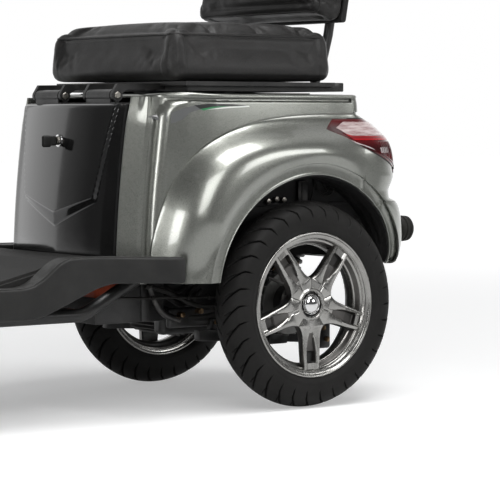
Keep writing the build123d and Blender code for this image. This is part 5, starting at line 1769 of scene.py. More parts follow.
# ---------------------------------------------------------------- tail lamps
@dataclass
class TailLamp:
    """A lamp round the tail's corner: dark lens on a gasket, pale window, red strip, ribs and heel."""

    shop: Paintshop
    body: RearBody
    tip: Flat = (0.0480, 0.5510)
    shoulder_y: float = 0.078
    top: float = 0.5710
    split: float = 0.5375
    heel: Flat = (0.250, 0.4610)
    low: float = 0.4610
    last_turn: float = 0.345
    proud: float = 0.0016

    def point(self, along: float, z: float, out: float) -> Point:
        """A point of the lens's skin.

        Args:
            along: 0 at the front tip, 1 at the end behind the tail.
            z: The height.
            out: How far outside the bodywork.
        Returns:
            The point.
        """
        share = 0.36
        if along < share:
            y = self.tip[0] + (self.body.tail_front - self.tip[0]) * along / share
            crease = self.body.crease_at(y)
            skin = self.body.wall_x(y, z)
            if z < crease:
                skin = self.body.panel_x(y) - self.body.lean_in(crease) + self.body.swell(y, crease - z)
            near = ease((y - self.tip[0]) / (self.body.tail_front - self.tip[0]))
            return skin + (self.body.tail_half(z) - skin) * near + out, y, z
        turn = self.last_turn * ((along - share) / (1 - share)) ** 1.05
        return self.body.tail_point(turn, z, out)

    def edges(self, along: float, grow: float = 0.0) -> Flat:
        """Lowest and highest point of the lamp at a place along it."""
        z = 0.52
        for _ in range(4):
            y = self.point(along, z, 0)[1]
            slope = (self.heel[1] - self.tip[1]) / (self.heel[0] - self.tip[0])
            z = max(self.tip[1] + slope * (y - self.tip[0]), self.low)
            if along > 0.75:
                z = self.low
        y_top = self.point(along, self.top - 0.001, 0)[1]
        rise = min(max((y_top - self.tip[0]) / (self.shoulder_y - self.tip[0]), 0.0), 1.0)
        high = self.tip[1] + (self.top - self.tip[1]) * rise
        return z - grow, high + grow

    def sheet(self, name: str, out: float, grow: float, low: float | None = None, high: float | None = None,
              start: float = 0.0, flutes: float = 0.0, tip_z: float | None = None) -> Piece:
        """One skin of the lamp.

        Args:
            name: The piece's name.
            out: How far outside the bodywork.
            grow: How much larger than the lamp's outline.
            low: A height that it stops above, if any.
            high: A height that it stops below, if any.
            start: Where it starts along the lamp.
            flutes: Depth of the upright ribs.
            tip_z: The height of its pointed front end, if it has one.
        Returns:
            The skin with its wall.
        """
        columns, rows = 120, 26

        def place(u: float, v: float) -> Point:
            along = start + (1 - start) * u
            bottom, top = self.edges(along, grow)
            bottom = max(bottom, low) if low is not None else bottom
            top = min(top, high) if high is not None else top
            if tip_z is not None:
                spread = min((along - start) / 0.12, 1.0)
                bottom, top = tip_z + (bottom - tip_z) * spread, tip_z + (top - tip_z) * spread
            if top < bottom:
                bottom = top = (top + bottom) / 2
            z = bottom + (top - bottom) * v
            edge = min(v, 1 - v, u + start * 4, (1 - u)) * 14
            dome = 0.0012 * ease(edge) if grow == 0 else 0.0
            wave = flutes * (0.5 + 0.5 * math.cos(math.tau * u * 22)) if 0.04 < v < 0.96 else 0.0
            return self.point(along, z, out + dome - wave)

        return smooth(thicken(weld(patch(name, columns, rows, place), FINE), 0.0022), 40)

    def build(self) -> None:
        """Makes both lamps."""
        gasket = self.sheet("lamp_gasket_left", 0.0004, 0.0018)
        lens = self.sheet("tail_lens_left", self.proud, 0.0)
        window = self.sheet("lamp_window_left", self.proud + 0.0022, -0.0055,
                            self.split, None, 0.12, 0.0, 0.5535)
        strip = self.sheet("lamp_strip_left", self.proud + 0.0024, -0.003, self.split - 0.0085,
                           self.split - 0.0004, 0.15, 0.0, 0.5450)
        ribs = self.sheet("tail_ribs_left", self.proud + 0.0024, -0.005, self.low + 0.008,
                          self.split - 0.0100, 0.46, 0.0012)
        heel = self.sheet("tail_heel_left", self.proud + 0.0026, -0.004, self.low + 0.006,
                          self.split - 0.0095, 0.80, 0.0006)
        parts = ((gasket, Finish.SATIN_BLACK, "tail_lamp"), (lens, Finish.DEEP_RED, ""),
                 (window, Finish.WINDOW, "rear_indicator"), (strip, Finish.RED, ""),
                 (ribs, Finish.DEEP_RED, ""), (heel, Finish.RED, ""))
        for piece, finish, node in parts:
            slot = "lamp_clear" if finish is Finish.WINDOW else "lamp_red"
            self.shop.pair(piece, finish, slot, *([node] if node else []))


@dataclass
class RearBuffer:
    """The two ringed rubber buffers on the bumper."""

    shop: Paintshop
    place: Point = (0.200, 0.288, 0.343)
    radius: float = 0.027
    reach: float = 0.039

    def build(self) -> None:
        """Turns a buffer with its rings and copies it."""
        r, h = self.radius, self.reach
        outline = [(0.0, 0.0), (0.0, r - 0.006), (0.004, r - 0.0055), (0.006, r - 0.002), (0.009, r),
                   (0.0125, r), (0.0145, r - 0.0025), (0.0165, r - 0.0025), (0.0185, r), (0.0225, r),
                   (0.0245, r - 0.0025), (0.0265, r - 0.0025), (0.0285, r - 0.0005), (0.0330, r - 0.0012),
                   (0.0365, r - 0.0045), (h, r - 0.0085), (h, 0.010), (h - 0.003, 0.008), (h - 0.003, 0.0)]
        buffer = smooth(turned("rear_buffer_left", outline, steps=64), 40)
        set_down(buffer, self.place, TO_REAR)
        self.shop.coat(buffer, Finish.RUBBER)
        twin = mirrored(buffer, "rear_buffer_right")
        self.shop.fit(buffer, "chassis", None, "rubber", "rear_buffers")
        self.shop.fit(twin, "chassis", None, "rubber")


# ---------------------------------------------------------------- seat
@dataclass
class Cushion:
    """A foam pad in a sewn cover, made flat on its back and stood in place afterwards.

    The pad lies in its own frame: X across, Y along and Z from its base up to its crown.
    """

    name: str
    low: Point
    high: Point
    crown: float = 0.010
    corner: float = 0.030
    voxel: float = 0.0065
    dense: int = 45000
    pressure: float = 4.0
    reach: float = 0.012
    channels: Sequence[float] = ()
    panel: float = 0.036
    waist: float = 0.0045

    def block(self) -> Piece:
        """The pad before it swells, a little under size."""
        inset = 0.006
        low = tuple(v + inset for v in self.low[:2]) + (self.low[2],)
        high = tuple(v - inset for v in self.high[:2]) + (self.high[2] - inset,)
        pad = rounded_block(self.name, low, high, self.corner - 0.006, 6)
        return apply_modifier(pad, "REMESH", mode="VOXEL", voxel_size=self.voxel, use_smooth_shade=True)

    def swell(self, pad: Piece) -> None:
        """Blows the cover up like a filled bag and caps how far each point goes."""
        before = [vertex.co.copy() for vertex in pad.data.vertices]
        group = pad.vertex_groups.new(name="glued")
        glued = [v.index for v in pad.data.vertices if v.co.z < self.low[2] + 0.010]
        group.add(glued, 1.0, "REPLACE")
        take(pad)
        cloth = pad.modifiers.new("Cover", "CLOTH")
        cloth.settings.use_pressure = True
        cloth.settings.uniform_pressure_force = self.pressure
        cloth.settings.effector_weights.gravity = 0
        cloth.settings.vertex_group_mass = "glued"
        cloth.settings.quality = 4
        cloth.settings.tension_stiffness = 18
        cloth.settings.compression_stiffness = 18
        cloth.point_cache.frame_end = 20
        scene = bpy.context.scene
        for frame in range(1, 19):
            scene.frame_set(frame)
        shaped = pad.evaluated_get(bpy.context.evaluated_depsgraph_get()).data
        moves = [shaped.vertices[k].co - before[k] for k in range(len(before))]
        pad.modifiers.remove(cloth)
        scene.frame_set(1)
        for vertex, start, move in zip(pad.data.vertices, before, moves):
            length = move.length
            vertex.co = start + move * (min(length, self.reach) / length if length > 1e-9 else 0)

    def sew(self, pad: Piece) -> None:
        """Draws in the seams: one round the top panel, the channels across it and the waist of the sides."""
        cx, cy = (self.low[0] + self.high[0]) / 2, (self.low[1] + self.high[1]) / 2
        hx, hy = (self.high[0] - self.low[0]) / 2, (self.high[1] - self.low[1]) / 2
        (left, front, base), (right, rear, top) = self.low, self.high
        corners = ((left, front), (right, front), (right, rear), (left, rear))
        height = top - base

        def groove(off: float, width: float) -> float:
            return math.exp(-((off / width) ** 2))

        for vertex in pad.data.vertices:
            x, y, z = vertex.co
            u, w = abs(x - cx) / hx, abs(y - cy) / hy
            up = ease((z - base) / height * 1.15 - 0.1)
            vertex.co.z += self.crown * up * (1 - u ** 2.4) * (1 - w ** 2.4)
            belt = max(u, w) > 0.86
            if belt:
                level = (z - base) / height
                pull = self.waist * math.sin(math.pi * min(max(level, 0), 1)) * 0.8
                corner = min(u, w) > 0.80
                pull *= 0.3 if corner else 1.0
                vertex.co.x -= math.copysign(pull * (u > 0.9), x - cx)
                vertex.co.y -= math.copysign(pull * (w > 0.9), y - cy)
            edge = inside_distance(corners, x, y)
            if z > base + height * 0.72:
                vertex.co.z -= 0.0036 * groove(edge - self.panel, 0.0045)
                if edge > self.panel - 0.004:
                    for place in self.channels:
                        vertex.co.z -= 0.0060 * groove(y - place, 0.0065) + 0.0028 * groove(y - place, 0.022)

    def piping(self, pad: Piece) -> Piece:
        """The cord sewn in round the top edge, laid on the swollen cover."""
        skin = BVHTree.FromPolygons([v.co.copy() for v in pad.data.vertices],
                                    [tuple(p.vertices) for p in pad.data.polygons])
        inset, z = 0.012, self.high[2] - 0.0150
        corners = ring_section((self.low[0] + inset, self.low[1] + inset),
                               (self.high[0] - inset, self.high[1] - inset), self.corner * 1.25, 9)
        plan = []
        for (ax, ay), (bx, by) in zip(corners, [*corners[1:], corners[0]]):
            steps = max(1, round(math.hypot(bx - ax, by - ay) / 0.010))
            plan += [(ax + (bx - ax) * k / steps, ay + (by - ay) * k / steps) for k in range(steps)]
        count = len(plan)
        lays = []
        for k, (x, y) in enumerate(plan):
            nx, ny = outward_at(plan, k)
            hit = skin.ray_cast(Vector((x + nx * 0.04, y + ny * 0.04, z)), Vector((-nx, -ny, 0)), 0.09)[0]
            lays.append((x, y, nx, ny, (hit.x - x) * nx + (hit.y - y) * ny if hit else 0.0))
        rings = []
        for k in range(count + 1):
            x, y, nx, ny, _ = lays[k % count]
            out = sum(lays[(k + j) % count][4] for j in (-2, -1, 0, 1, 2)) / 5 + 0.0004
            rings.append([(x + nx * (out + 0.0026 * math.cos(math.tau * i / 10)),
                           y + ny * (out + 0.0026 * math.cos(math.tau * i / 10)),
                           z + 0.0026 * math.sin(math.tau * i / 10)) for i in range(10)])
        return smooth(weld(loft(self.name + "_piping", rings, capped=False), 1e-5), 60)

    def make(self) -> list[Piece]:
        """Builds the pad and its piping in the pad's own frame."""
        pad = self.block()
        self.swell(pad)
        if len(pad.data.vertices) < self.dense:
            apply_modifier(pad, "SUBSURF", levels=1, render_levels=1)
        self.sew(pad)
        take(pad)
        bpy.ops.object.shade_smooth()
        return [pad, self.piping(pad)]


@dataclass
class Seat:
    """The driver's seat on its tilting pan: cushion, back, their shells, arm pads and fittings."""

    shop: Paintshop
    back_lean: float = 10.0
    back_foot: Point = (0.0, 0.060, 0.768)
    back_half: float = 0.230
    back_height: float = 0.395
    back_thick: float = 0.085
    arm_pivot: Flat = (0.178, 0.868)
    arm_inner: float = 0.244
    arm_width: float = 0.046
    arm_front: float = -0.170

    def cushion(self) -> None:
        """The seat cushion on its pan."""
        pad = Cushion("seat_pad", (-0.236, -0.296, 0.6465), (0.236, 0.114, 0.750),
                      channels=(-0.175, -0.060, 0.045))
        pieces = pad.make()
        for piece, nodes in zip(pieces, (("seat_cushion",), ())):
            self.shop.fit(piece, "seat", Finish.SEAT, "upholstery", *nodes)

    def stand(self, piece: Piece) -> None:
        """Carries a piece from the back pad's own frame, where it lies flat, to its place."""
        flip = Matrix(((1, 0, 0, 0), (0, 0, -1, 0), (0, 1, 0, 0), (0, 0, 0, 1)))
        forward = Matrix.Translation((0, self.back_thick, 0))
        piece.data.transform(Matrix.Translation(self.back_foot) @ tipped(-self.back_lean) @ forward @ flip)

    def backrest(self) -> None:
        """The seat back, its rear shell and its piping."""
        pad = Cushion("seat_back_pad", (-self.back_half + 0.003, 0.004, 0.010),
                      (self.back_half - 0.003, self.back_height - 0.004, self.back_thick - 0.006),
                      crown=0.006, corner=0.028, channels=(0.105, 0.200, 0.295), reach=0.009)
        pieces = pad.make()
        shell = rounded_block("seat_back_shell", (-self.back_half + 0.010, 0.012, 0.0),
                              (self.back_half - 0.010, self.back_height - 0.012, 0.013), 0.006, 4)
        ribs = [rounded_block(f"seat_back_rib_{k}", (-self.back_half + 0.045, y, -0.0022),
                              (self.back_half - 0.045, y + 0.012, 0.002), 0.0018, 2)
                for k, y in enumerate((0.085, 0.165, 0.245, 0.325))]
        back = smooth(joined("seat_back_shell", [shell, *ribs]), 35)
        for piece in (*pieces, back):
            self.stand(piece)
        self.shop.fit(pieces[0], "seat", Finish.SEAT, "upholstery", "seat_back")
        self.shop.fit(pieces[1], "seat", Finish.SEAT, "upholstery")
        self.shop.fit(back, "seat", Finish.BLACK_PLASTIC, "black_plastic")

    def arm(self) -> None:
        """Arm pads with their under plates and pivot caps."""
        inner, outer = self.arm_inner + 0.001, self.arm_inner + self.arm_width - 0.001
        y0, y1 = self.arm_front + 0.002, self.arm_pivot[0] - 0.012
        z0, z1 = self.arm_pivot[1] - 0.014, self.arm_pivot[1] + 0.0205
        rings = []
        steps = 40
        for k in range(steps + 1):
            t = k / steps
            y = y0 + (y1 - y0) * t
            end = min(t, 1 - t) * (y1 - y0)
            shrink = 0.010 * (1 - ease(end / 0.016)) ** 1.5
            crown = 0.0025 * math.sin(math.pi * t)
            ring = ring_section((inner + shrink, z0 + shrink * 0.6),
                                (outer - shrink, z1 - shrink), 0.0125 - shrink * 0.4, 5)
            rings.append([(x, y, z + (crown if z > (z0 + z1) / 2 else 0)) for x, z in ring])
        pad = smooth(apply_modifier(loft("arm_pad", rings), "SUBSURF", levels=1, render_levels=1), 60)
        plate = rounded_block("arm_plate", (inner + 0.006, y0 + 0.02, z0 - 0.0035),
                              (outer - 0.006, self.arm_pivot[0] - 0.006, z0 + 0.003), 0.0015, 2)
        py, pz = self.arm_pivot
        hub = turned("arm_hub", [(0.0, 0.0085), (0.0, 0.0185), (0.0015, 0.0198),
                                 (self.arm_width - 0.0075, 0.0198), (self.arm_width - 0.006, 0.0185),
                                 (self.arm_width - 0.006, 0.0085)], (self.arm_inner + 0.003, py, pz), 48)
        lid = turned("arm_cap", [(0.0, 0.0), (0.0, 0.0125), (0.0022, 0.0120), (0.0036, 0.0090),
                                 (0.0040, 0.0)], (self.arm_inner + self.arm_width - 0.003, py, pz), 40)
        parts = ((pad, Finish.SEAT, "upholstery"), (smooth(plate, 30), Finish.FRAME, "frame_black"),
                 (smooth(hub, 35), Finish.BLACK_PLASTIC, "upholstery"),
                 (smooth(lid, 40), Finish.ZINC, "upholstery"))
        for piece, finish, slot in parts:
            self.shop.coat(piece, finish)
            twin = mirrored(piece, piece.name + "_right")
            piece.name += "_left"
            left = ("armrest_left",) if piece is pad else ()
            right = ("armrest_right",) if piece is pad else ()
            self.shop.fit(piece, "armrest_left", None, slot, *left)
            self.shop.fit(twin, "armrest_right", None, slot, *right)

    def pan_skirt(self) -> None:
        """The cross ribs under the pan, its rubber stops and the hinge bolts."""
        walls = [rounded_block(f"pan_rib_{k}", (-0.222, y, 0.6262), (0.222, y + 0.004, 0.6375), 0.001, 1)
                 for k, y in enumerate((-0.18, -0.08, 0.02))]
        walls += [rounded_block(f"pan_beam_{k}", (x, -0.26, 0.6268), (x + 0.03, 0.10, 0.6375), 0.002, 2)
                  for k, x in enumerate((-0.12, 0.09))]
        walls += [rounded_block(f"pan_stop_{side}", (side * 0.201 - 0.021, 0.0985, 0.6260),
                                (side * 0.201 + 0.021, 0.1368, 0.6440), 0.002, 2) for side in (-1, 1)]
        self.shop.fit(smooth(joined("seat_pan_skirt", walls), 30), "seat", Finish.FRAME, "frame_black")
        stops = []
        for x in (-0.185, 0.185):
            stop = turned("stop", [(0.0, 0.0), (0.0, 0.011), (0.0012, 0.0122), (0.0085, 0.0115),
                                   (0.0105, 0.0095), (0.0108, 0.0)], steps=32)
            stops.append(set_down(stop, (x, -0.225, 0.6376), DOWNWARDS))
        self.shop.fit(smooth(joined("seat_stops", stops), 40), "seat", Finish.RUBBER, "frame_black")
        bolts = []
        for side in (-1, 1):
            for inner in (0.0445, 0.1455):
                x = side * inner
                head = turned("bolt", [(0.0, 0.0), (0.0, 0.0074), (0.0045, 0.0074),
                                       (0.0052, 0.0060), (0.0052, 0.0)], steps=6)
                turn = math.pi if (x < 0) == (inner > 0.09) else 0.0
                bolts.append(set_down(head, (x, -0.362, 0.617), (0, 0, turn)))
        self.shop.fit(joined("hinge_bolts", bolts), "seat", Finish.ZINC, "frame_black")

    def build(self) -> None:
        """Makes the whole seat."""
        self.cushion()
        self.backrest()
        self.arm()
        self.pan_skirt()


# ---------------------------------------------------------------- steering and leg shield
@dataclass
class FrontEnd:
    """Headlamp, nose, instruments, switches, grips, mirrors, and the fittings of fork and leg shield."""

    shop: Paintshop
    rake: float = 24.0
    foot: Point = (0.0, -1.0980, 0.1908)
    axle: Point = (0.0, -1.130, 0.205)
    nose_front: float = 0.100
    nose_low: float = 0.310
    nose_taper: float = 3.0
    lamp_middle: float = 0.600
    lamp_half: Flat = (0.0600, 0.0385)
    knee: Point = (0.190, 0.025, 0.850)
    tip: Point = (0.320, 0.075, 0.842)
    mirror_place: Point = (0.308, 0.0, 0.985)
    mirror_half: Flat = (0.062, 0.040)
    guard_radius: float = 0.1966

    def leaned(self, piece: Piece) -> Piece:
        """Leans a piece from the steering's own frame to its place."""
        piece.data.transform(Matrix.Translation(self.foot) @ tipped(-self.rake))
        return piece

    def steer(self, piece: Piece, finish: Finish, slot: str, *nodes: str) -> None:
        """Hands a piece to the steering, which turns with the bar."""
        self.shop.fit(self.leaned(piece), "steering", finish, slot, *nodes)

    def stay(self, piece: Piece, finish: Finish, slot: str, *nodes: str) -> None:
        """Hands a piece of the nose to the chassis, where the fairing is fixed."""
        self.shop.fit(self.leaned(piece), "chassis", finish, slot, *nodes)

    def both(self, piece: Piece, finish: Finish, slot: str, *nodes: str) -> None:
        """Hands a left piece and its twin to the steering."""
        twin = mirrored(piece, piece.name.replace("_left", "_right"))
        self.steer(piece, finish, slot, *nodes)
        self.steer(twin, finish, slot)

    def nose_y(self, z: float, out: float = 0.0) -> float:
        """The nose's front face at a height in the steering's own frame."""
        return -(self.nose_front - (z - self.nose_low) * math.tan(math.radians(self.nose_taper))) - out

    def lamp_ring(self, grow: float, out: float, count: int = 64) -> list[Point]:
        """The headlamp's outline, larger or smaller, at a distance before the nose."""
        ring = []
        for k in range(count):
            a = math.tau * k / count
            c, s = math.cos(a), math.sin(a)
            z = self.lamp_middle + math.copysign(abs(s) ** 0.5, s) * (self.lamp_half[1] + grow)
            wide = self.lamp_half[0] * (1 - 0.15 * (z - self.lamp_middle) / self.lamp_half[1]) + grow
            ring.append((math.copysign(abs(c) ** 0.5, c) * wide, self.nose_y(z, out), z))
        return ring

    def headlamp(self) -> None:
        """The lamp: bezel, reflector with its two projectors, and the crowned clear cover."""
        steps = [(0.0050, -0.0005), (0.0052, 0.0020), (0.0040, 0.0042), (0.0015, 0.0046),
                 (-0.0010, 0.0036), (-0.0018, -0.0010)]
        bezel = loft("headlamp_bezel",
                     [self.lamp_ring(grow, out) for grow, out in [*steps, steps[0]]], capped=False)
        self.stay(smooth(weld(bezel, FINE), 40), Finish.SATIN_BLACK, "black_plastic", "headlamp")
        steps = [(-0.0016, 0.0010), (-0.0040, -0.0040), (-0.0100, -0.0085), (-0.0200, -0.0110),
                 (-0.0200, -0.0135), (-0.0016, -0.0135)]
        bowl = loft("headlamp_reflector", [self.lamp_ring(grow, out) for grow, out in steps])
        self.stay(smooth(bowl, 30), Finish.CHROME, "lamp_clear")
        for side in (-1, 1):
            x = side * 0.0235
            eye = turned("projector",
                         [(0.0, 0.0), (0.0, 0.0155), (0.0030, 0.0160), (0.0060, 0.0150), (0.0072, 0.0125),
                          (0.0105, 0.0085), (0.0118, 0.0040), (0.0122, 0.0)], steps=40)
            set_down(eye, (x, self.nose_y(self.lamp_middle, -0.0115), self.lamp_middle), TO_FRONT)
            eye.name = "headlamp_eye_" + ("left" if side > 0 else "right")
            self.stay(smooth(eye, 40), Finish.CLEAR, "lamp_clear")
        rings = [self.lamp_ring(-0.0014, 0.0010)]
        for share in (0.0, 0.08, 0.18, 0.32, 0.48, 0.64, 0.80, 0.93):
            ring = []
            for x, y, z in self.lamp_ring(-0.0014, 0.0020):
                ring.append((x * (1 - share), y - 0.0050 * math.sin(share * math.pi / 2),
                             self.lamp_middle + (z - self.lamp_middle) * (1 - share)))
            rings.append(ring)
        self.stay(smooth(loft("headlamp_cover", rings), 60), Finish.CLEAR, "lamp_clear")

    def nose(self) -> None:
        """The black grille below the lamp with its slats and rim, the side strakes and the foot trim."""
        frame, slats = [], []
        frame.append(rounded_block("grille_back", (-0.050, -0.004, 0.420), (0.050, 0.0035, 0.528), 0.003, 3))
        for k in range(6):
            z = 0.431 + 0.0165 * k
            slats.append(rounded_block(f"grille_slat_{k}", (-0.0455, -0.0065, z),
                                       (0.0455, -0.0015, z + 0.0065), 0.0018, 2))
        sides = (("low", (-0.052, 0.4175), (0.052, 0.4245)), ("high", (-0.052, 0.5235), (0.052, 0.5305)),
                 ("l", (0.0460, 0.4175), (0.0530, 0.5305)), ("r", (-0.0530, 0.4175), (-0.0460, 0.5305)))
        rim = [rounded_block(f"grille_rim_{side}", (x0, -0.0075, z0), (x1, 0.002, z1), 0.002, 2)
               for side, (x0, z0), (x1, z1) in sides]
        for name, parts, finish in (("nose_grille", frame + slats, Finish.BLACK_PLASTIC),
                                    ("nose_grille_rim", rim, Finish.SATIN_BLACK)):
            piece = smooth(joined(name, parts), 30)
            for vertex in piece.data.vertices:
                vertex.co.y += self.nose_y(vertex.co.z, 0.0008)
            self.stay(piece, finish, "black_plastic")
        strakes = []
        for k in range(3):
            z = 0.400 + 0.030 * k
            strakes.append(rounded_block(f"nose_strake_{k}", (0.1135, -0.020, z),
                                         (0.1180, 0.036, z + 0.010), 0.002, 2))
        left = smooth(joined("nose_strakes_left", strakes), 30)
        for piece in (mirrored(left, "nose_strakes_right"), left):
            self.stay(piece, Finish.SATIN_BLACK, "black_plastic")
        lip = rounded_block("nose_foot_trim", (-0.066, self.nose_y(0.318, 0.003), 0.3085),
                            (0.066, self.nose_y(0.318, -0.004), 0.3225), 0.003, 3)
        self.stay(smooth(lip, 30), Finish.BLACK_PLASTIC, "black_plastic")

    def instruments(self) -> None:
        """The display on the bar cover, its tell-tales and the seams of its shell."""
        bezel = rounded_block("display_bezel", (-0.058, -0.040, 0.8435), (0.058, 0.022, 0.8485), 0.0024, 3)
        glass = rounded_block("display_glass", (-0.050, -0.033, 0.8480), (0.050, 0.015, 0.8492), 0.0006, 2)
        bars = [rounded_block(f"charge_bar_{k}", (-0.040 + 0.0105 * k, -0.026, 0.8489),
                              (-0.0325 + 0.0105 * k, -0.026 + 0.008 + 0.0016 * k, 0.8496), 0.0002, 1)
                for k in range(5)]
        lights = [turned("tell_tale",
                         [(0.0, 0.0), (0.0, 0.0030), (0.0010, 0.0027), (0.0016, 0.0012), (0.0017, 0.0)],
                         steps=20) for _ in range(3)]
        self.steer(smooth(bezel, 30), Finish.SATIN_BLACK, "black_plastic")
        self.steer(smooth(glass, 30), Finish.GLOSS_BLACK, "black_gloss")
        self.steer(smooth(joined("charge_bars", bars), 30), Finish.PALE_DECAL, "black_gloss")
        for index, (piece, finish) in enumerate(zip(lights, (Finish.GREEN_DECAL, Finish.AMBER, Finish.RED))):
            set_down(piece, (0.026 + 0.009 * index, -0.022, 0.8488), UPWARDS)
            piece.name = f"tell_tale_{index}"
            self.steer(smooth(piece, 40), finish, "black_gloss")
        low, high = 0.7930, 0.7955
        sides = (("front", (-0.086, -0.0688), (0.086, -0.0672)), ("rear", (-0.086, 0.0512), (0.086, 0.0528)),
                 ("l", (0.1142, -0.040), (0.1158, 0.024)), ("r", (-0.1158, -0.040), (-0.1142, 0.024)))
        seam = [rounded_block(f"cover_seam_{side}", (*start, low), (*end, high), 0.0005, 1)
                for side, start, end in sides]
        self.steer(smooth(joined("cover_seams", seam), 30), Finish.LINER_PLASTIC, "black_plastic")

    def turn_to(self, piece: Piece, start: Vector, along: Vector) -> Piece:
        """Lays a piece that was turned about X along a direction from a place."""
        turn = Vector((1, 0, 0)).rotation_difference(along).to_matrix().to_4x4()
        piece.data.transform(Matrix.Translation(start) @ turn)
        return piece

    def mirror_ring(self, grow: float, share: float, depth: float) -> list[Point]:
        """The mirror's oval, larger by grow and then scaled to a share, at a depth behind its place."""
        (x, y, z), (across, up) = self.mirror_place, self.mirror_half
        turns = [math.tau * i / 64 for i in range(64)]
        return [(x + (across + grow) * share * math.cos(a), y + depth, z + (up + grow) * share * math.sin(a))
                for a in turns]

    def controls(self) -> None:
        """Ribbed grips, switch pods with their buttons, and the mirrors."""
        knee, tip = Vector(self.knee), Vector(self.tip)
        along = (tip - knee).normalized()
        length = (tip - knee).length - 0.032 + 0.003
        outline = [(0.0, 0.0115), (0.0, 0.0165), (0.0008, 0.0170), (0.0045, 0.0170), (0.0055, 0.0158)]
        ribs = int((length - 0.016) / 0.0042)
        for k in range(ribs):
            start = 0.0065 + 0.0042 * k
            outline += [(start, 0.0150), (start + 0.0008, 0.0164),
                        (start + 0.0026, 0.0164), (start + 0.0034, 0.0150)]
        outline += [(length - 0.0075, 0.0150), (length - 0.0065, 0.0168), (length - 0.0015, 0.0168),
                    (length, 0.0150), (length, 0.0)]
        grip = turned("grip_left", outline, steps=48)
        self.both(smooth(self.turn_to(grip, knee + along * 0.032, along), 40),
                  Finish.RUBBER, "rubber", "grips")
        centre = Vector((0.080, 0.0, 0.800))
        slope = (knee - centre).normalized()
        pod = turned("switch_pod_left",
                     [(0.0, 0.0), (0.0, 0.0165), (0.0020, 0.0190), (0.0060, 0.0200), (0.0200, 0.0200),
                      (0.0240, 0.0188), (0.0260, 0.0160), (0.0260, 0.0)], steps=48)
        self.both(smooth(self.turn_to(pod, centre + slope * 0.046, slope), 35),
                  Finish.BLACK_PLASTIC, "black_plastic")
        place = centre + slope * 0.059
        for name, height, finish in (("horn_button_left", -0.004, Finish.AMBER),
                                     ("light_switch_left", 0.010, Finish.DEEP_RED)):
            button = rounded_block(name, (place.x - 0.006, place.y + 0.0145, place.z + height - 0.0045),
                                   (place.x + 0.006, place.y + 0.0225, place.z + height + 0.0045), 0.0015, 2)
            self.both(smooth(button, 30), finish, "lamp_amber")
        shell = []
        for k in range(12):
            a = k / 12 * math.pi / 2
            shell.append(self.mirror_ring(0.0, 1.01 * math.cos(a), -0.0086 - 0.0125 * math.sin(a)))
        rim = [self.mirror_ring(grow, 1.0, depth)
               for grow, depth in ((0.0004, -0.0090), (0.0012, 0.0), (0.0008, 0.0085), (-0.0012, 0.0104),
                                   (-0.0040, 0.0104), (-0.0046, 0.0088))]
        glass = [self.mirror_ring(-0.0048, share, depth)
                 for share, depth in ((1.0, 0.0086), (1.0, 0.0094), (0.7, 0.0101),
                                      (0.35, 0.0105), (0.05, 0.0106))]
        self.both(smooth(loft("mirror_shell_left", shell), 50), Finish.BLACK_PLASTIC, "black_plastic")
        self.both(smooth(loft("mirror_rim_left", rim, capped=False), 50),
                  Finish.BLACK_PLASTIC, "black_plastic")
        self.both(smooth(loft("mirror_glass_left", glass), 30), Finish.MIRROR, "black_plastic")

    def fork(self) -> None:
        """Bellows on the fork legs, axle nuts and the beads and rivets of the front mudguard."""
        outline = [(0.0, 0.0130)]
        for k in range(9):
            outline += [(0.0095 * k + 0.001, 0.0205),
                        (0.0095 * k + 0.0045, 0.0215), (0.0095 * k + 0.0075, 0.0175)]
        outline += [(0.090, 0.0190), (0.094, 0.0185), (0.094, 0.0130)]
        bellows = turned("fork_bellows_left", outline, steps=40)
        bellows = self.turn_to(bellows, Vector((0.073, -0.035, 0.168)), Vector((0, 0, 1)))
        self.both(smooth(bellows, 45), Finish.RUBBER, "rubber")
        nut = [round_bar("axle_washer", (0.0890, -0.035, 0), (0.0920, -0.035, 0), 0.0165, 32, 0.0005),
               round_bar("axle_nut", (0.0915, -0.035, 0), (0.1020, -0.035, 0), 0.0130, 6, 0.0012),
               round_bar("axle_end", (0.1010, -0.035, 0), (0.1065, -0.035, 0), 0.0075, 24, 0.0010)]
        self.both(smooth(joined("axle_nut_left", nut), 35), Finish.ZINC, "fork_steel")
        beads = []
        for first, last in ((-36, 50), (83, 160)):
            path = [(0.0588, self.axle[1] + self.guard_radius * math.cos(math.radians(a)),
                     self.axle[2] + self.guard_radius * math.sin(math.radians(a)))
                    for a in range(first, last + 1, 3)]
            beads.append(swept_tube("guard_bead", path, 0.0032, 12))
        rivets = []
        for angle in (58, 76):
            a = math.radians(angle)
            for side in (1, -1):
                base = Vector((side * 0.030, self.axle[1] + 0.2215 * math.cos(a),
                               self.axle[2] + 0.2215 * math.sin(a)))
                push = Vector((0, math.cos(a), math.sin(a)))
                rivets.append(round_bar("guard_bolt", tuple(base),
                                        tuple(base + push * 0.004), 0.0065, 6, 0.0008))
        self.shop.pair(smooth(joined("guard_bead_left", beads), 60), Finish.SILVER,
                       "body_silver", body="steering")
        self.shop.fit(smooth(joined("guard_bolts", rivets), 35), "steering", Finish.ZINC, "fork_steel")
        a = math.radians(-38)
        flap = rounded_block("guard_flap", (-0.056, -0.002, -0.038), (0.056, 0.002, 0.012), 0.0015, 2)
        set_down(flap, (0, self.axle[1] + 0.2225 * math.cos(a), self.axle[2] + 0.2225 * math.sin(a)),
                 (a, 0, 0))
        self.shop.fit(smooth(flap, 30), "steering", Finish.RUBBER, "rubber")

    def shield(self) -> None:
        """Glovebox door, its latch, knee pads, bag hook, key switch and the indicators' bezels."""
        def lay(piece: Piece, y: float, z: float, slope: float) -> Piece:
            piece.data.transform(Matrix.Translation((0, y, z)) @ tipped(-slope))
            return smooth(piece, 30)

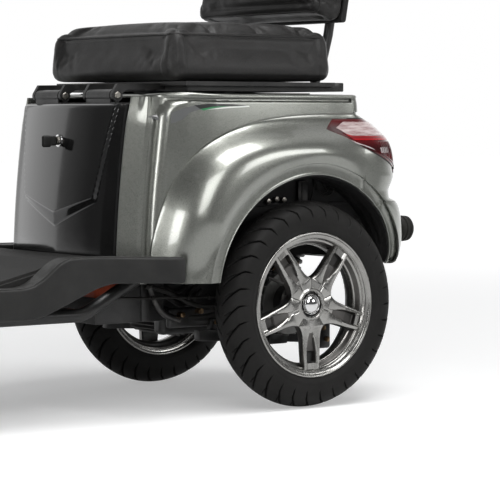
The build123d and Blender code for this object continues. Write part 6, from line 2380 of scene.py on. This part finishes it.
        door_place = (-0.8325, 0.562, 15.1)
        door = [rounded_block("glovebox_door", (-0.105, -0.003, -0.046), (0.105, 0.0045, 0.046), 0.0035, 4),
                rounded_block("glovebox_panel", (-0.088, 0.003, -0.030), (0.088, 0.0062, 0.028), 0.0015, 2)]
        self.shop.fit(lay(joined("glovebox_door", door), *door_place), "chassis",
                      Finish.SATIN_BLACK, "black_plastic")
        latch = rounded_block("glovebox_latch", (-0.020, 0.003, 0.030), (0.020, 0.0110, 0.041), 0.003, 3)
        self.shop.fit(lay(latch, *door_place), "chassis", Finish.BLACK_PLASTIC, "black_plastic")
        key = [turned("key_bezel",
                      [(0.0, 0.0), (0.0, 0.0160), (0.0035, 0.0150), (0.0040, 0.0100), (0.0030, 0.0085),
                       (0.0030, 0.0)], steps=40),
               rounded_block("key_blade", (0.0020, -0.0012, -0.0060), (0.0200, 0.0012, 0.0060), 0.0008, 1),
               rounded_block("key_head", (0.0160, -0.0028, -0.0110), (0.0380, 0.0028, 0.0110), 0.0024, 3)]
        piece = joined("key_switch", key)
        to_rear = Matrix.Rotation(math.pi / 2, 4, "Z")
        piece.data.transform(Matrix.Translation((-0.075, -0.8010, 0.655)) @ tipped(-22) @ to_rear)
        self.shop.fit(smooth(piece, 35), "chassis", Finish.ZINC, "black_plastic")
        hook = [swept_tube("hook_arm",
                           [(0.075, -0.8030, 0.660), (0.075, -0.7860, 0.652), (0.075, -0.7700, 0.640),
                            (0.075, -0.7660, 0.6480), (0.075, -0.7630, 0.6600)], 0.0042, 14),
                rounded_block("hook_plate", (0.060, -0.8075, 0.640), (0.090, -0.8000, 0.678), 0.003, 3)]
        self.shop.fit(smooth(joined("bag_hook", hook), 45), "chassis", Finish.BLACK_PLASTIC, "black_plastic")
        pads = []
        for k in range(7):
            z = 0.335 + 0.017 * k
            pads.append(rounded_block(f"knee_rib_{k}", (0.060, -0.8465, z),
                                      (0.165, -0.8400, z + 0.0085), 0.0025, 2))
        pads.append(rounded_block("knee_pad", (0.055, -0.8470, 0.327), (0.170, -0.8425, 0.454), 0.002, 2))
        pad = smooth(joined("knee_pad_left", pads), 30)
        for vertex in pad.data.vertices:
            if vertex.co.z < 0.400:
                vertex.co.y += (0.400 - vertex.co.z) * 0.019 / 0.125
        self.shop.pair(pad, Finish.RUBBER, "rubber")
        rim = rounded_block("indicator_rim_left", (0.1525, -0.8960, 0.5065),
                            (0.2035, -0.8860, 0.5835), 0.010, 4)
        ribs = [rounded_block(f"indicator_rib_{k}", (0.1600, -0.9045, 0.5200 + 0.0085 * k),
                              (0.1960, -0.9015, 0.5235 + 0.0085 * k), 0.0012, 2) for k in range(6)]
        lens = smooth(joined("indicator_ribs_left", ribs), 30)
        self.shop.pair(smooth(rim, 30), Finish.SATIN_BLACK, "black_plastic")
        self.shop.pair(lens, Finish.AMBER, "black_plastic")

    def build(self) -> None:
        """Makes the steering's and the leg shield's fittings."""
        self.headlamp()
        self.nose()
        self.instruments()
        self.controls()
        self.fork()
        self.shield()


# ---------------------------------------------------------------- under the body
@dataclass
class Underbody:
    """What shows in the wheel arches and below the body: liners, wiring, battery tray, springs and arms."""

    shop: Paintshop
    body: RearBody
    wall_x: float = 0.2105
    wall_low: float = 0.300
    liner_radius: float = 0.2374
    liner_wall: float = 0.0015
    rear_foot: float = 0.2790

    def liner(self) -> Piece:
        """The round inner mudguard, from the fender's foot over the wheel to the bumper."""
        steps = 120
        first = math.pi - math.asin((self.body.bottom + 0.002 - self.body.arch_z) / self.liner_radius)
        last = math.asin((self.rear_foot - self.body.arch_z) / self.liner_radius)

        def place(u: float, v: float) -> Point:
            angle = first + (last - first) * u
            outer = self.body.lip_x(angle) - 0.0030
            ripple = 0.0012 * (0.5 + 0.5 * math.cos(math.tau * v * 3)) if 0.1 < v < 0.9 else 0.0
            radius = self.liner_radius - ripple
            x = self.wall_x + 0.001 + (outer - self.wall_x - 0.001) * v
            return x, radius * math.cos(angle), self.body.arch_z + radius * math.sin(angle)

        band = patch("arch_liner_shell_left", steps, 24, place)
        outward(band, (0.24, 0.0, self.body.arch_z))
        return smooth(apply_modifier(band, "SOLIDIFY", thickness=self.liner_wall, offset=-1), 40)

    def wall(self) -> Piece:
        """The upright inner wall of the arch, with pressed ribs."""
        outline = []
        low = math.asin((self.wall_low - self.body.arch_z) / self.liner_radius)
        for k in range(61):
            angle = low + (math.pi - 2 * low) * k / 60
            outline.append((self.wall_x, self.liner_radius * math.cos(angle),
                            self.body.arch_z + self.liner_radius * math.sin(angle)))
        sheet = prism("arch_wall_sheet", outline, (0.003, 0, 0))
        ribs = [rounded_block(f"arch_rib_{k}", (self.wall_x + 0.002, -0.150, z),
                              (self.wall_x + 0.0052, 0.185, z + 0.006), 0.0012, 2)
                for k, z in enumerate((0.330, 0.365, 0.398))]
        return smooth(joined("arch_wall_left", [sheet, *ribs]), 35)

    def fittings(self) -> list[tuple[Piece, Finish]]:
        """The bracket, clips and wiring on the arch's inner wall."""
        x = self.wall_x + 0.003
        bracket = [rounded_block("arch_bracket", (x, 0.022, 0.404), (x + 0.0075, 0.046, 0.447), 0.0015, 2),
                   rounded_block("arch_bracket_web", (x + 0.004, 0.030, 0.400),
                                 (x + 0.0095, 0.034, 0.445), 0.001, 2)]
        clips = []
        for y, z in ((-0.052, 0.4080), (-0.032, 0.4115), (-0.014, 0.4100)):
            clips.append(round_bar("arch_clip", (x, y, z), (x + 0.009, y, z), 0.0055, 16))
        loops = []
        for k, (y, z, wide, drop) in enumerate(((0.085, 0.449, 0.020, 0.016), (0.094, 0.450, 0.026, 0.020),
                                                (0.104, 0.448, 0.018, 0.014))):
            loops.append(swept_tube(f"arch_wire_{k}",
                                    [(x, y - wide, z + 0.002), (x + 0.005, y - wide * 0.9, z - drop),
                                     (x + 0.007, y, z - drop * 1.9), (x + 0.005, y + wide, z - drop),
                                     (x, y + wide * 1.1, z)], 0.0019, 8))
        loops.append(swept_tube("arch_wire_down",
                                [(x + 0.002, 0.066, 0.448), (x + 0.006, 0.064, 0.436),
                                 (x + 0.005, 0.058, 0.420), (x + 0.003, 0.055, 0.402)], 0.0015, 8))
        return [(smooth(joined("arch_bracket_left", bracket), 35), Finish.CAST),
                (smooth(joined("arch_clips_left", clips), 40), Finish.ZINC),
                (smooth(joined("arch_wiring_left", loops), 60), Finish.RUBBER)]

    def battery_tray(self) -> Piece:
        """The black tray that holds the battery, open over its front upper corner."""
        outer = [(0.1312, -0.4035, 0.2265), (0.1312, -0.3860, 0.2265), (0.1312, -0.3500, 0.2530),
                 (0.1312, -0.3440, 0.2860), (0.1312, -0.2480, 0.2860),
                 (0.1312, -0.2480, 0.1770), (0.1312, -0.4035, 0.1770)]
        left = bevelled(prism("tray_left", outer, (0.003, 0, 0)), 0.0008, 2)
        right = mirrored(left, "tray_right")
        base = rounded_block("tray_base", (-0.1340, -0.4040, 0.1745), (0.1340, -0.2475, 0.1790), 0.0015, 2)
        back = rounded_block("tray_back", (-0.1340, -0.2488, 0.1760), (0.1340, -0.2455, 0.2860), 0.001, 2)
        front = rounded_block("tray_front", (-0.1340, -0.4065, 0.1760), (0.1340, -0.4030, 0.2265), 0.001, 2)
        strap = [rounded_block(f"tray_strap_{side}", (side * 0.1345 - 0.0022, -0.300, 0.176),
                               (side * 0.1345 + 0.0022, -0.280, 0.288), 0.001, 2) for side in (-1, 1)]
        return smooth(joined("battery_tray", [left, right, base, back, front, *strap]), 30)

    def spring(self, side: int) -> Piece:
        """A coil spring with its two cups, round a damper."""
        foot, head = Vector((side * 0.140, 0.030, 0.232)), Vector((side * 0.140, 0.066, 0.308))
        axis = (head - foot).normalized()
        across = Vector((1, 0, 0))
        third = axis.cross(across)
        turns, radius, count = 5.5, 0.0285, 66
        points = []
        for k in range(count + 1):
            angle = math.tau * turns * k / count
            points.append(tuple(foot + (head - foot) * k / count + across * radius * math.cos(angle)
                                + third * radius * math.sin(angle)))
        coil = swept_tube("coil", points, 0.0046, 12)
        cups = [round_bar("cup", tuple(foot - axis * 0.006), tuple(foot - axis * 0.001), 0.0345, 40, 0.0012),
                round_bar("cup", tuple(head + axis * 0.001), tuple(head + axis * 0.006), 0.0345, 40, 0.0012)]
        return smooth(joined("rear_spring_" + ("left" if side > 0 else "right"), [coil, *cups]), 50)

    def arms(self) -> list[tuple[Piece, Finish]]:
        """The lower arm below the axle with its end bracket, bolts and the brake drum's finned rim."""
        arm = bevelled(prism("arm_blade",
                             [(0.158, -0.190, 0.156), (0.158, -0.020, 0.1460), (0.158, 0.112, 0.1350),
                              (0.158, 0.112, 0.1130), (0.158, -0.020, 0.1240), (0.158, -0.190, 0.134)],
                             (0.018, 0, 0)), 0.002, 2)
        bracket = rounded_block("arm_bracket", (0.150, 0.094, 0.102), (0.186, 0.134, 0.160), 0.006, 3)
        clamp = [rounded_block("arm_clamp", (0.150, -0.020, 0.118), (0.184, 0.024, 0.182), 0.003, 2)]
        bolts = [round_bar("arm_bolt", (0.180, y, z), (0.1905, y, z), 0.0060, 6, 0.0008)
                 for y, z in ((0.112, 0.145), (0.122, 0.121), (-0.008, 0.160), (0.012, 0.160))]
        drum = [turned("drum", [(0.190, 0.040), (0.190, 0.0600), (0.1915, 0.0640), (0.194, 0.0648),
                                (0.2175, 0.0648), (0.2190, 0.0635), (0.2190, 0.040)], (0.0, 0.0, 0.205), 80)]
        fins = []
        for k in range(24):
            fin = rounded_block(f"drum_fin_{k}", (0.1930, -0.0014, 0.0640),
                                (0.2170, 0.0014, 0.0680), 0.0006, 1)
            fins.append(set_down(fin, (0, 0, 0.205), (math.tau * k / 24, 0, 0)))
        lever = [rounded_block("drum_lever", (0.181, -0.006, 0.262), (0.187, 0.052, 0.276), 0.002, 2),
                 round_bar("drum_cam", (0.176, 0.0, 0.268), (0.192, 0.0, 0.268), 0.0085, 20),
                 round_bar("drum_pin", (0.178, 0.046, 0.269), (0.194, 0.046, 0.269), 0.0048, 6, 0.0006),
                 round_bar("drum_nut", (0.184, 0.046, 0.274), (0.184, 0.046, 0.284), 0.0055, 6, 0.0006)]
        return [(smooth(joined("lower_arm_left", [arm, bracket, *clamp]), 35), Finish.FRAME),
                (smooth(joined("arm_bolts_left", bolts), 35), Finish.BRASS),
                (smooth(joined("brake_drum_left", drum + fins), 35), Finish.CASTING),
                (smooth(joined("brake_lever_link_left", lever), 35), Finish.BRASS)]

    def cables(self) -> list[tuple[Piece, Finish]]:
        """Motor leads, brake pipes and the strap between the battery and the axle."""
        leads = []
        for k, (x, z, dip) in enumerate(((0.100, 0.246, 0.020), (0.112, 0.234, 0.030), (0.124, 0.222, 0.022),
                                         (0.094, 0.258, 0.012))):
            leads.append(swept_tube(f"motor_lead_{k}",
                                    [(x - 0.03, -0.246, z + 0.010), (x, -0.232, z),
                                     (x + 0.012, -0.205, z - dip), (x - 0.004, -0.175, z - dip * 0.8),
                                     (x - 0.030, -0.150, z - 0.012), (x - 0.040, -0.120, z + 0.004)], 0.0048,
                                    14))
        pipes = [swept_tube("brake_pipe",
                            [(0.172, -0.400, 0.2300), (0.172, -0.345, 0.2255), (0.170, -0.240, 0.2220),
                             (0.170, -0.150, 0.2190), (0.176, -0.075, 0.2240), (0.186, -0.030, 0.2460),
                             (0.186, 0.000, 0.2660)], 0.0030, 10),
                 swept_tube("brake_sleeve",
                            [(0.150, -0.300, 0.2460), (0.156, -0.252, 0.2360), (0.162, -0.200, 0.2060),
                             (0.164, -0.150, 0.1980), (0.160, -0.090, 0.2080), (0.150, -0.045, 0.2260)],
                            0.0052, 14),
                 swept_tube("wire_bundle",
                            [(0.120, -0.246, 0.200), (0.138, -0.225, 0.188), (0.150, -0.185, 0.176),
                             (0.152, -0.140, 0.180), (0.140, -0.090, 0.196), (0.110, -0.050, 0.206)], 0.0066,
                            16)]
        ties = [round_bar(f"pipe_tie_{k}", (0.1705, y, z), (0.1705, y + 0.006, z), 0.0052, 16, 0.0008)
                for k, (y, z) in enumerate(((-0.300, 0.2238), (-0.215, 0.2213), (-0.165, 0.2193)))]
        strap = swept_tube("support_strap",
                           [(0.150, -0.290, 0.246), (0.151, -0.284, 0.228), (0.152, -0.272, 0.202),
                            (0.153, -0.252, 0.184), (0.154, -0.222, 0.176)], 0.0066, 14)
        bolts = [round_bar("link_bolt", (0.150, y, z), (0.168, y, z), 0.0058, 6, 0.0008)
                 for y, z in ((-0.222, 0.187), (-0.178, 0.192), (-0.138, 0.168))]
        plate = [rounded_block("link_plate", (0.138, -0.246, 0.160), (0.152, -0.105, 0.200), 0.006, 3),
                 rounded_block("link_arm", (0.142, -0.150, 0.142), (0.160, -0.020, 0.176), 0.006, 3)]
        return [(smooth(joined("motor_leads", leads), 60), Finish.RUBBER),
                (smooth(joined("brake_pipes_left", [*pipes, *ties]), 60), Finish.RUBBER),
                (smooth(strap, 60), Finish.CAST), (smooth(joined("link_bolts", bolts), 35), Finish.BRASS),
                (smooth(joined("axle_links", plate), 35), Finish.FRAME)]

    def build(self) -> None:
        """Makes everything under the body."""
        self.shop.pair(self.liner(), Finish.LINER_PLASTIC, "black_plastic", "arch_liner")
        self.shop.pair(self.wall(), Finish.LINER_PLASTIC, "black_plastic")
        for piece, finish in (*self.fittings(), *self.arms()):
            self.shop.pair(piece, finish, "frame_black")
        self.shop.fit(self.battery_tray(), "chassis", Finish.FRAME, "frame_black")
        for side in (1, -1):
            self.shop.fit(self.spring(side), "chassis", Finish.SPRING, "spring_steel")
        for piece, finish in self.cables():
            self.shop.fit(piece, "chassis", finish, "frame_black")


# ---------------------------------------------------------------- nodes that keep their CAD shape
@dataclass
class KeptNodes:
    """Frame, running gear and other nodes whose CAD shape is right: they get their finish here."""

    shop: Paintshop
    nodes: dict[str, Piece]
    finishes: dict[str, Finish] = field(default_factory=lambda: {
        "frame_black": Finish.FRAME, "body_silver": Finish.SILVER, "black_gloss": Finish.GLOSS_BLACK,
        "black_plastic": Finish.BLACK_PLASTIC, "battery_orange": Finish.BATTERY, "cast_metal": Finish.CAST,
        "spring_steel": Finish.SPRING, "fork_steel": Finish.FORK, "alloy": Finish.ALLOY, "tyre": Finish.TYRE,
        "rubber": Finish.RUBBER, "upholstery": Finish.SEAT, "lamp_red": Finish.RED,
        "lamp_clear": Finish.CLEAR, "lamp_amber": Finish.AMBER})

    def build(self) -> None:
        """Assigns a finish to every node by its material slot."""
        for name, node in self.nodes.items():
            for slot in node.material_slots:
                key = slot.material.name.split(".")[0] if slot.material else ""
                if key in self.finishes:
                    slot.material = self.shop.material(self.finishes[key])
            if name == "floor_mat":
                node.material_slots[0].material = self.shop.material(Finish.MAT)
        log.info("%d nodes kept or stood for", len(self.nodes))


# ---------------------------------------------------------------- studio
@dataclass
class Studio:
    """Pale floor, soft lamps and the camera.

    eye is the camera's place from the rear axle's ground point, heading its turn from the vehicle's
    front towards the rider's left and pitch how far it looks down, in degrees.
    """

    axle_y: float
    eye: Point = (3.8408, -2.7713, 0.5787)
    heading: float = 53.56
    pitch: float = 3.38
    lens: float = 164.37
    floor_tone: Sequence[float] = (0.72, 0.72, 0.72)
    glow: Flat = (0.36, 0.93)
    glow_reach: Flat = (1.3, 5.5)
    room_light: float = 0.16
    room_gloss: float = 0.10
    backdrop: Point = (-0.805, 0.593, 0.0)

    def camera(self) -> None:
        """Stands the camera."""
        a, e = math.radians(self.heading), math.radians(self.pitch)
        back = Vector((math.sin(a) * math.cos(e), -math.cos(a) * math.cos(e), math.sin(e)))
        data = bpy.data.cameras.new("view")
        data.lens = self.lens
        data.clip_end = 60
        made = bpy.data.objects.new("view", data)
        made.location = (self.eye[0], self.eye[1] + self.axle_y, self.eye[2])
        made.rotation_euler = (-back).to_track_quat("-Z", "Y").to_euler()
        bpy.context.scene.collection.objects.link(made)
        bpy.context.scene.camera = made

    def floor(self) -> None:
        """Lays the floor, which runs on into the pale surround."""
        deselect_all()
        bpy.ops.mesh.primitive_plane_add(size=40, location=(0, 0, -0.0004))
        ground = newest("studio_floor")
        ground.data.materials.append(self.pale_ground())

    def pale_ground(self) -> bpy.types.Material:
        """White ground that keeps the vehicle's shadow and runs on into the backdrop where the lamps end."""
        g = Graph("studio_white")
        g.fix(Base_Color=(*self.floor_tone, 1), Roughness=1.0, Specular_IOR_Level=0.0)
        away = g.add("ShaderNodeVectorMath", operation="LENGTH")
        g.link(g.places, away.inputs[0])
        glow = g.add("ShaderNodeEmission")
        glow.inputs["Color"].default_value = (1, 1, 1, 1)
        ray = g.add("ShaderNodeLightPath")
        side = g.add("ShaderNodeVectorMath", operation="DOT_PRODUCT")
        g.link(g.places, side.inputs[0])
        side.inputs[1].default_value = self.backdrop
        lasting = g.math("MAXIMUM", ray.outputs["Is Camera Ray"],
                         g.levels(side.outputs["Value"], -0.5, 1.5, self.room_gloss, 1.0))
        strength = g.levels(away.outputs["Value"], *self.glow_reach, *self.glow)
        g.link(g.math("MULTIPLY", strength, lasting), glow.inputs["Strength"])
        shown = g.math("MAXIMUM", g.math("MAXIMUM", ray.outputs["Is Camera Ray"],
                                         ray.outputs["Is Glossy Ray"]), ray.outputs["Is Transmission Ray"])
        lit = g.add("ShaderNodeAddShader")
        mixed = g.add("ShaderNodeMixShader")
        g.link(g.shader.outputs[0], lit.inputs[0])
        g.link(glow.outputs[0], lit.inputs[1])
        g.link(shown, mixed.inputs[0])
        g.link(g.shader.outputs[0], mixed.inputs[1])
        g.link(lit.outputs[0], mixed.inputs[2])
        g.link(mixed.outputs[0], g.out.inputs[0])
        return g.material

    def surround(self) -> None:
        """The room: white where it is seen; gloss and glass see it white behind the object, else dim."""
        world = bpy.data.worlds.new("studio_world")
        bpy.context.scene.world = world
        world.use_nodes = True
        tree = world.node_tree
        tree.nodes.clear()
        out = tree.nodes.new("ShaderNodeOutputWorld")
        seen, soft, room = (tree.nodes.new("ShaderNodeBackground") for _ in range(3))
        seen.inputs[0].default_value = (1, 1, 1, 1)
        soft.inputs[0].default_value = (0.95, 0.97, 1.0, 1)
        soft.inputs[1].default_value = self.room_light
        room.inputs[0].default_value = (1, 1, 1, 1)
        places, towards = tree.nodes.new("ShaderNodeTexCoord"), tree.nodes.new("ShaderNodeVectorMath")
        towards.operation = "DOT_PRODUCT"
        towards.inputs[1].default_value = self.backdrop
        tree.links.new(places.outputs["Generated"], towards.inputs[0])
        fade = tree.nodes.new("ShaderNodeMapRange")
        for socket, value in zip(("From Min", "From Max", "To Min", "To Max"),
                                 (0.15, 0.75, self.room_gloss, 1.0)):
            fade.inputs[socket].default_value = value
        tree.links.new(towards.outputs["Value"], fade.inputs["Value"])
        tree.links.new(fade.outputs[0], room.inputs[1])
        ray = tree.nodes.new("ShaderNodeLightPath")
        bright = tree.nodes.new("ShaderNodeMath")
        bright.operation = "MAXIMUM"
        tree.links.new(ray.outputs["Is Glossy Ray"], bright.inputs[0])
        tree.links.new(ray.outputs["Is Transmission Ray"], bright.inputs[1])
        first, last = tree.nodes.new("ShaderNodeMixShader"), tree.nodes.new("ShaderNodeMixShader")
        tree.links.new(bright.outputs[0], first.inputs[0])
        tree.links.new(soft.outputs[0], first.inputs[1])
        tree.links.new(room.outputs[0], first.inputs[2])
        tree.links.new(ray.outputs["Is Camera Ray"], last.inputs[0])
        tree.links.new(first.outputs[0], last.inputs[1])
        tree.links.new(seen.outputs[0], last.inputs[2])
        tree.links.new(last.outputs[0], out.inputs[0])

    def lamp(self, name: str, place: Point, aim: Point, size: Flat, power: float) -> None:
        """Hangs one soft rectangular lamp.

        Args:
            name: The lamp's name.
            place: Where it hangs, from the rear axle's ground point.
            aim: What it faces.
            size: Its width and height.
            power: Its power in watts.
        """
        data = bpy.data.lights.new(name, "AREA")
        data.shape = "RECTANGLE"
        data.size, data.size_y = size
        data.energy = power
        made = bpy.data.objects.new(name, data)
        spot, target = Vector(place), Vector(aim)
        spot.y += self.axle_y
        target.y += self.axle_y
        made.location = spot
        made.rotation_euler = (target - spot).to_track_quat("-Z", "Y").to_euler()
        bpy.context.scene.collection.objects.link(made)

    def build(self) -> None:
        """Sets up the whole studio."""
        bpy.context.scene.view_settings.view_transform = "Standard"
        self.camera()
        self.floor()
        self.surround()
        for lamp in (("top_box", (1.0, 0.2, 3.3), (0.2, 0.0, 0.5), (1.7, 1.7), 70),
                     ("key_softbox", (3.1, -1.7, 2.75), (0.2, -0.1, 0.4), (2.1, 2.3), 62),
                     ("front_strip", (0.45, -3.6, 1.15), (0.2, -0.3, 0.4), (0.7, 1.5), 26),
                     ("right_strip", (-2.7, -1.5, 0.9), (0.0, -0.4, 0.45), (1.15, 1.6), 3.8),
                     ("side_fill", (3.8, 2.4, 2.05), (0.2, 0.0, 0.5), (1.7, 1.2), 36)):
            self.lamp(*lamp)


def main() -> None:
    """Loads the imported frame, dresses it and sets up the studio."""
    logging.basicConfig(level=logging.INFO, format="%(message)s")
    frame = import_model()
    deselect_all()
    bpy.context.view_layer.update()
    low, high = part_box("rear_tyre_left")
    axle_y = (low[1] + high[1]) / 2
    shop = Paintshop(axle_y)
    Studio(axle_y).build()
    body = RearBody(shop)
    body.build()
    FrontPanel(shop, body).build()
    FloorTrim(shop).build()
    TailLamp(shop, body).build()
    RearBuffer(shop).build()
    WheelSet(shop).build()
    Underbody(shop, body).build()
    FrontEnd(shop).build()
    Seat(shop).build()
    KeptNodes(shop, frame["nodes"]).build()


if __name__ == "__main__":
    main()
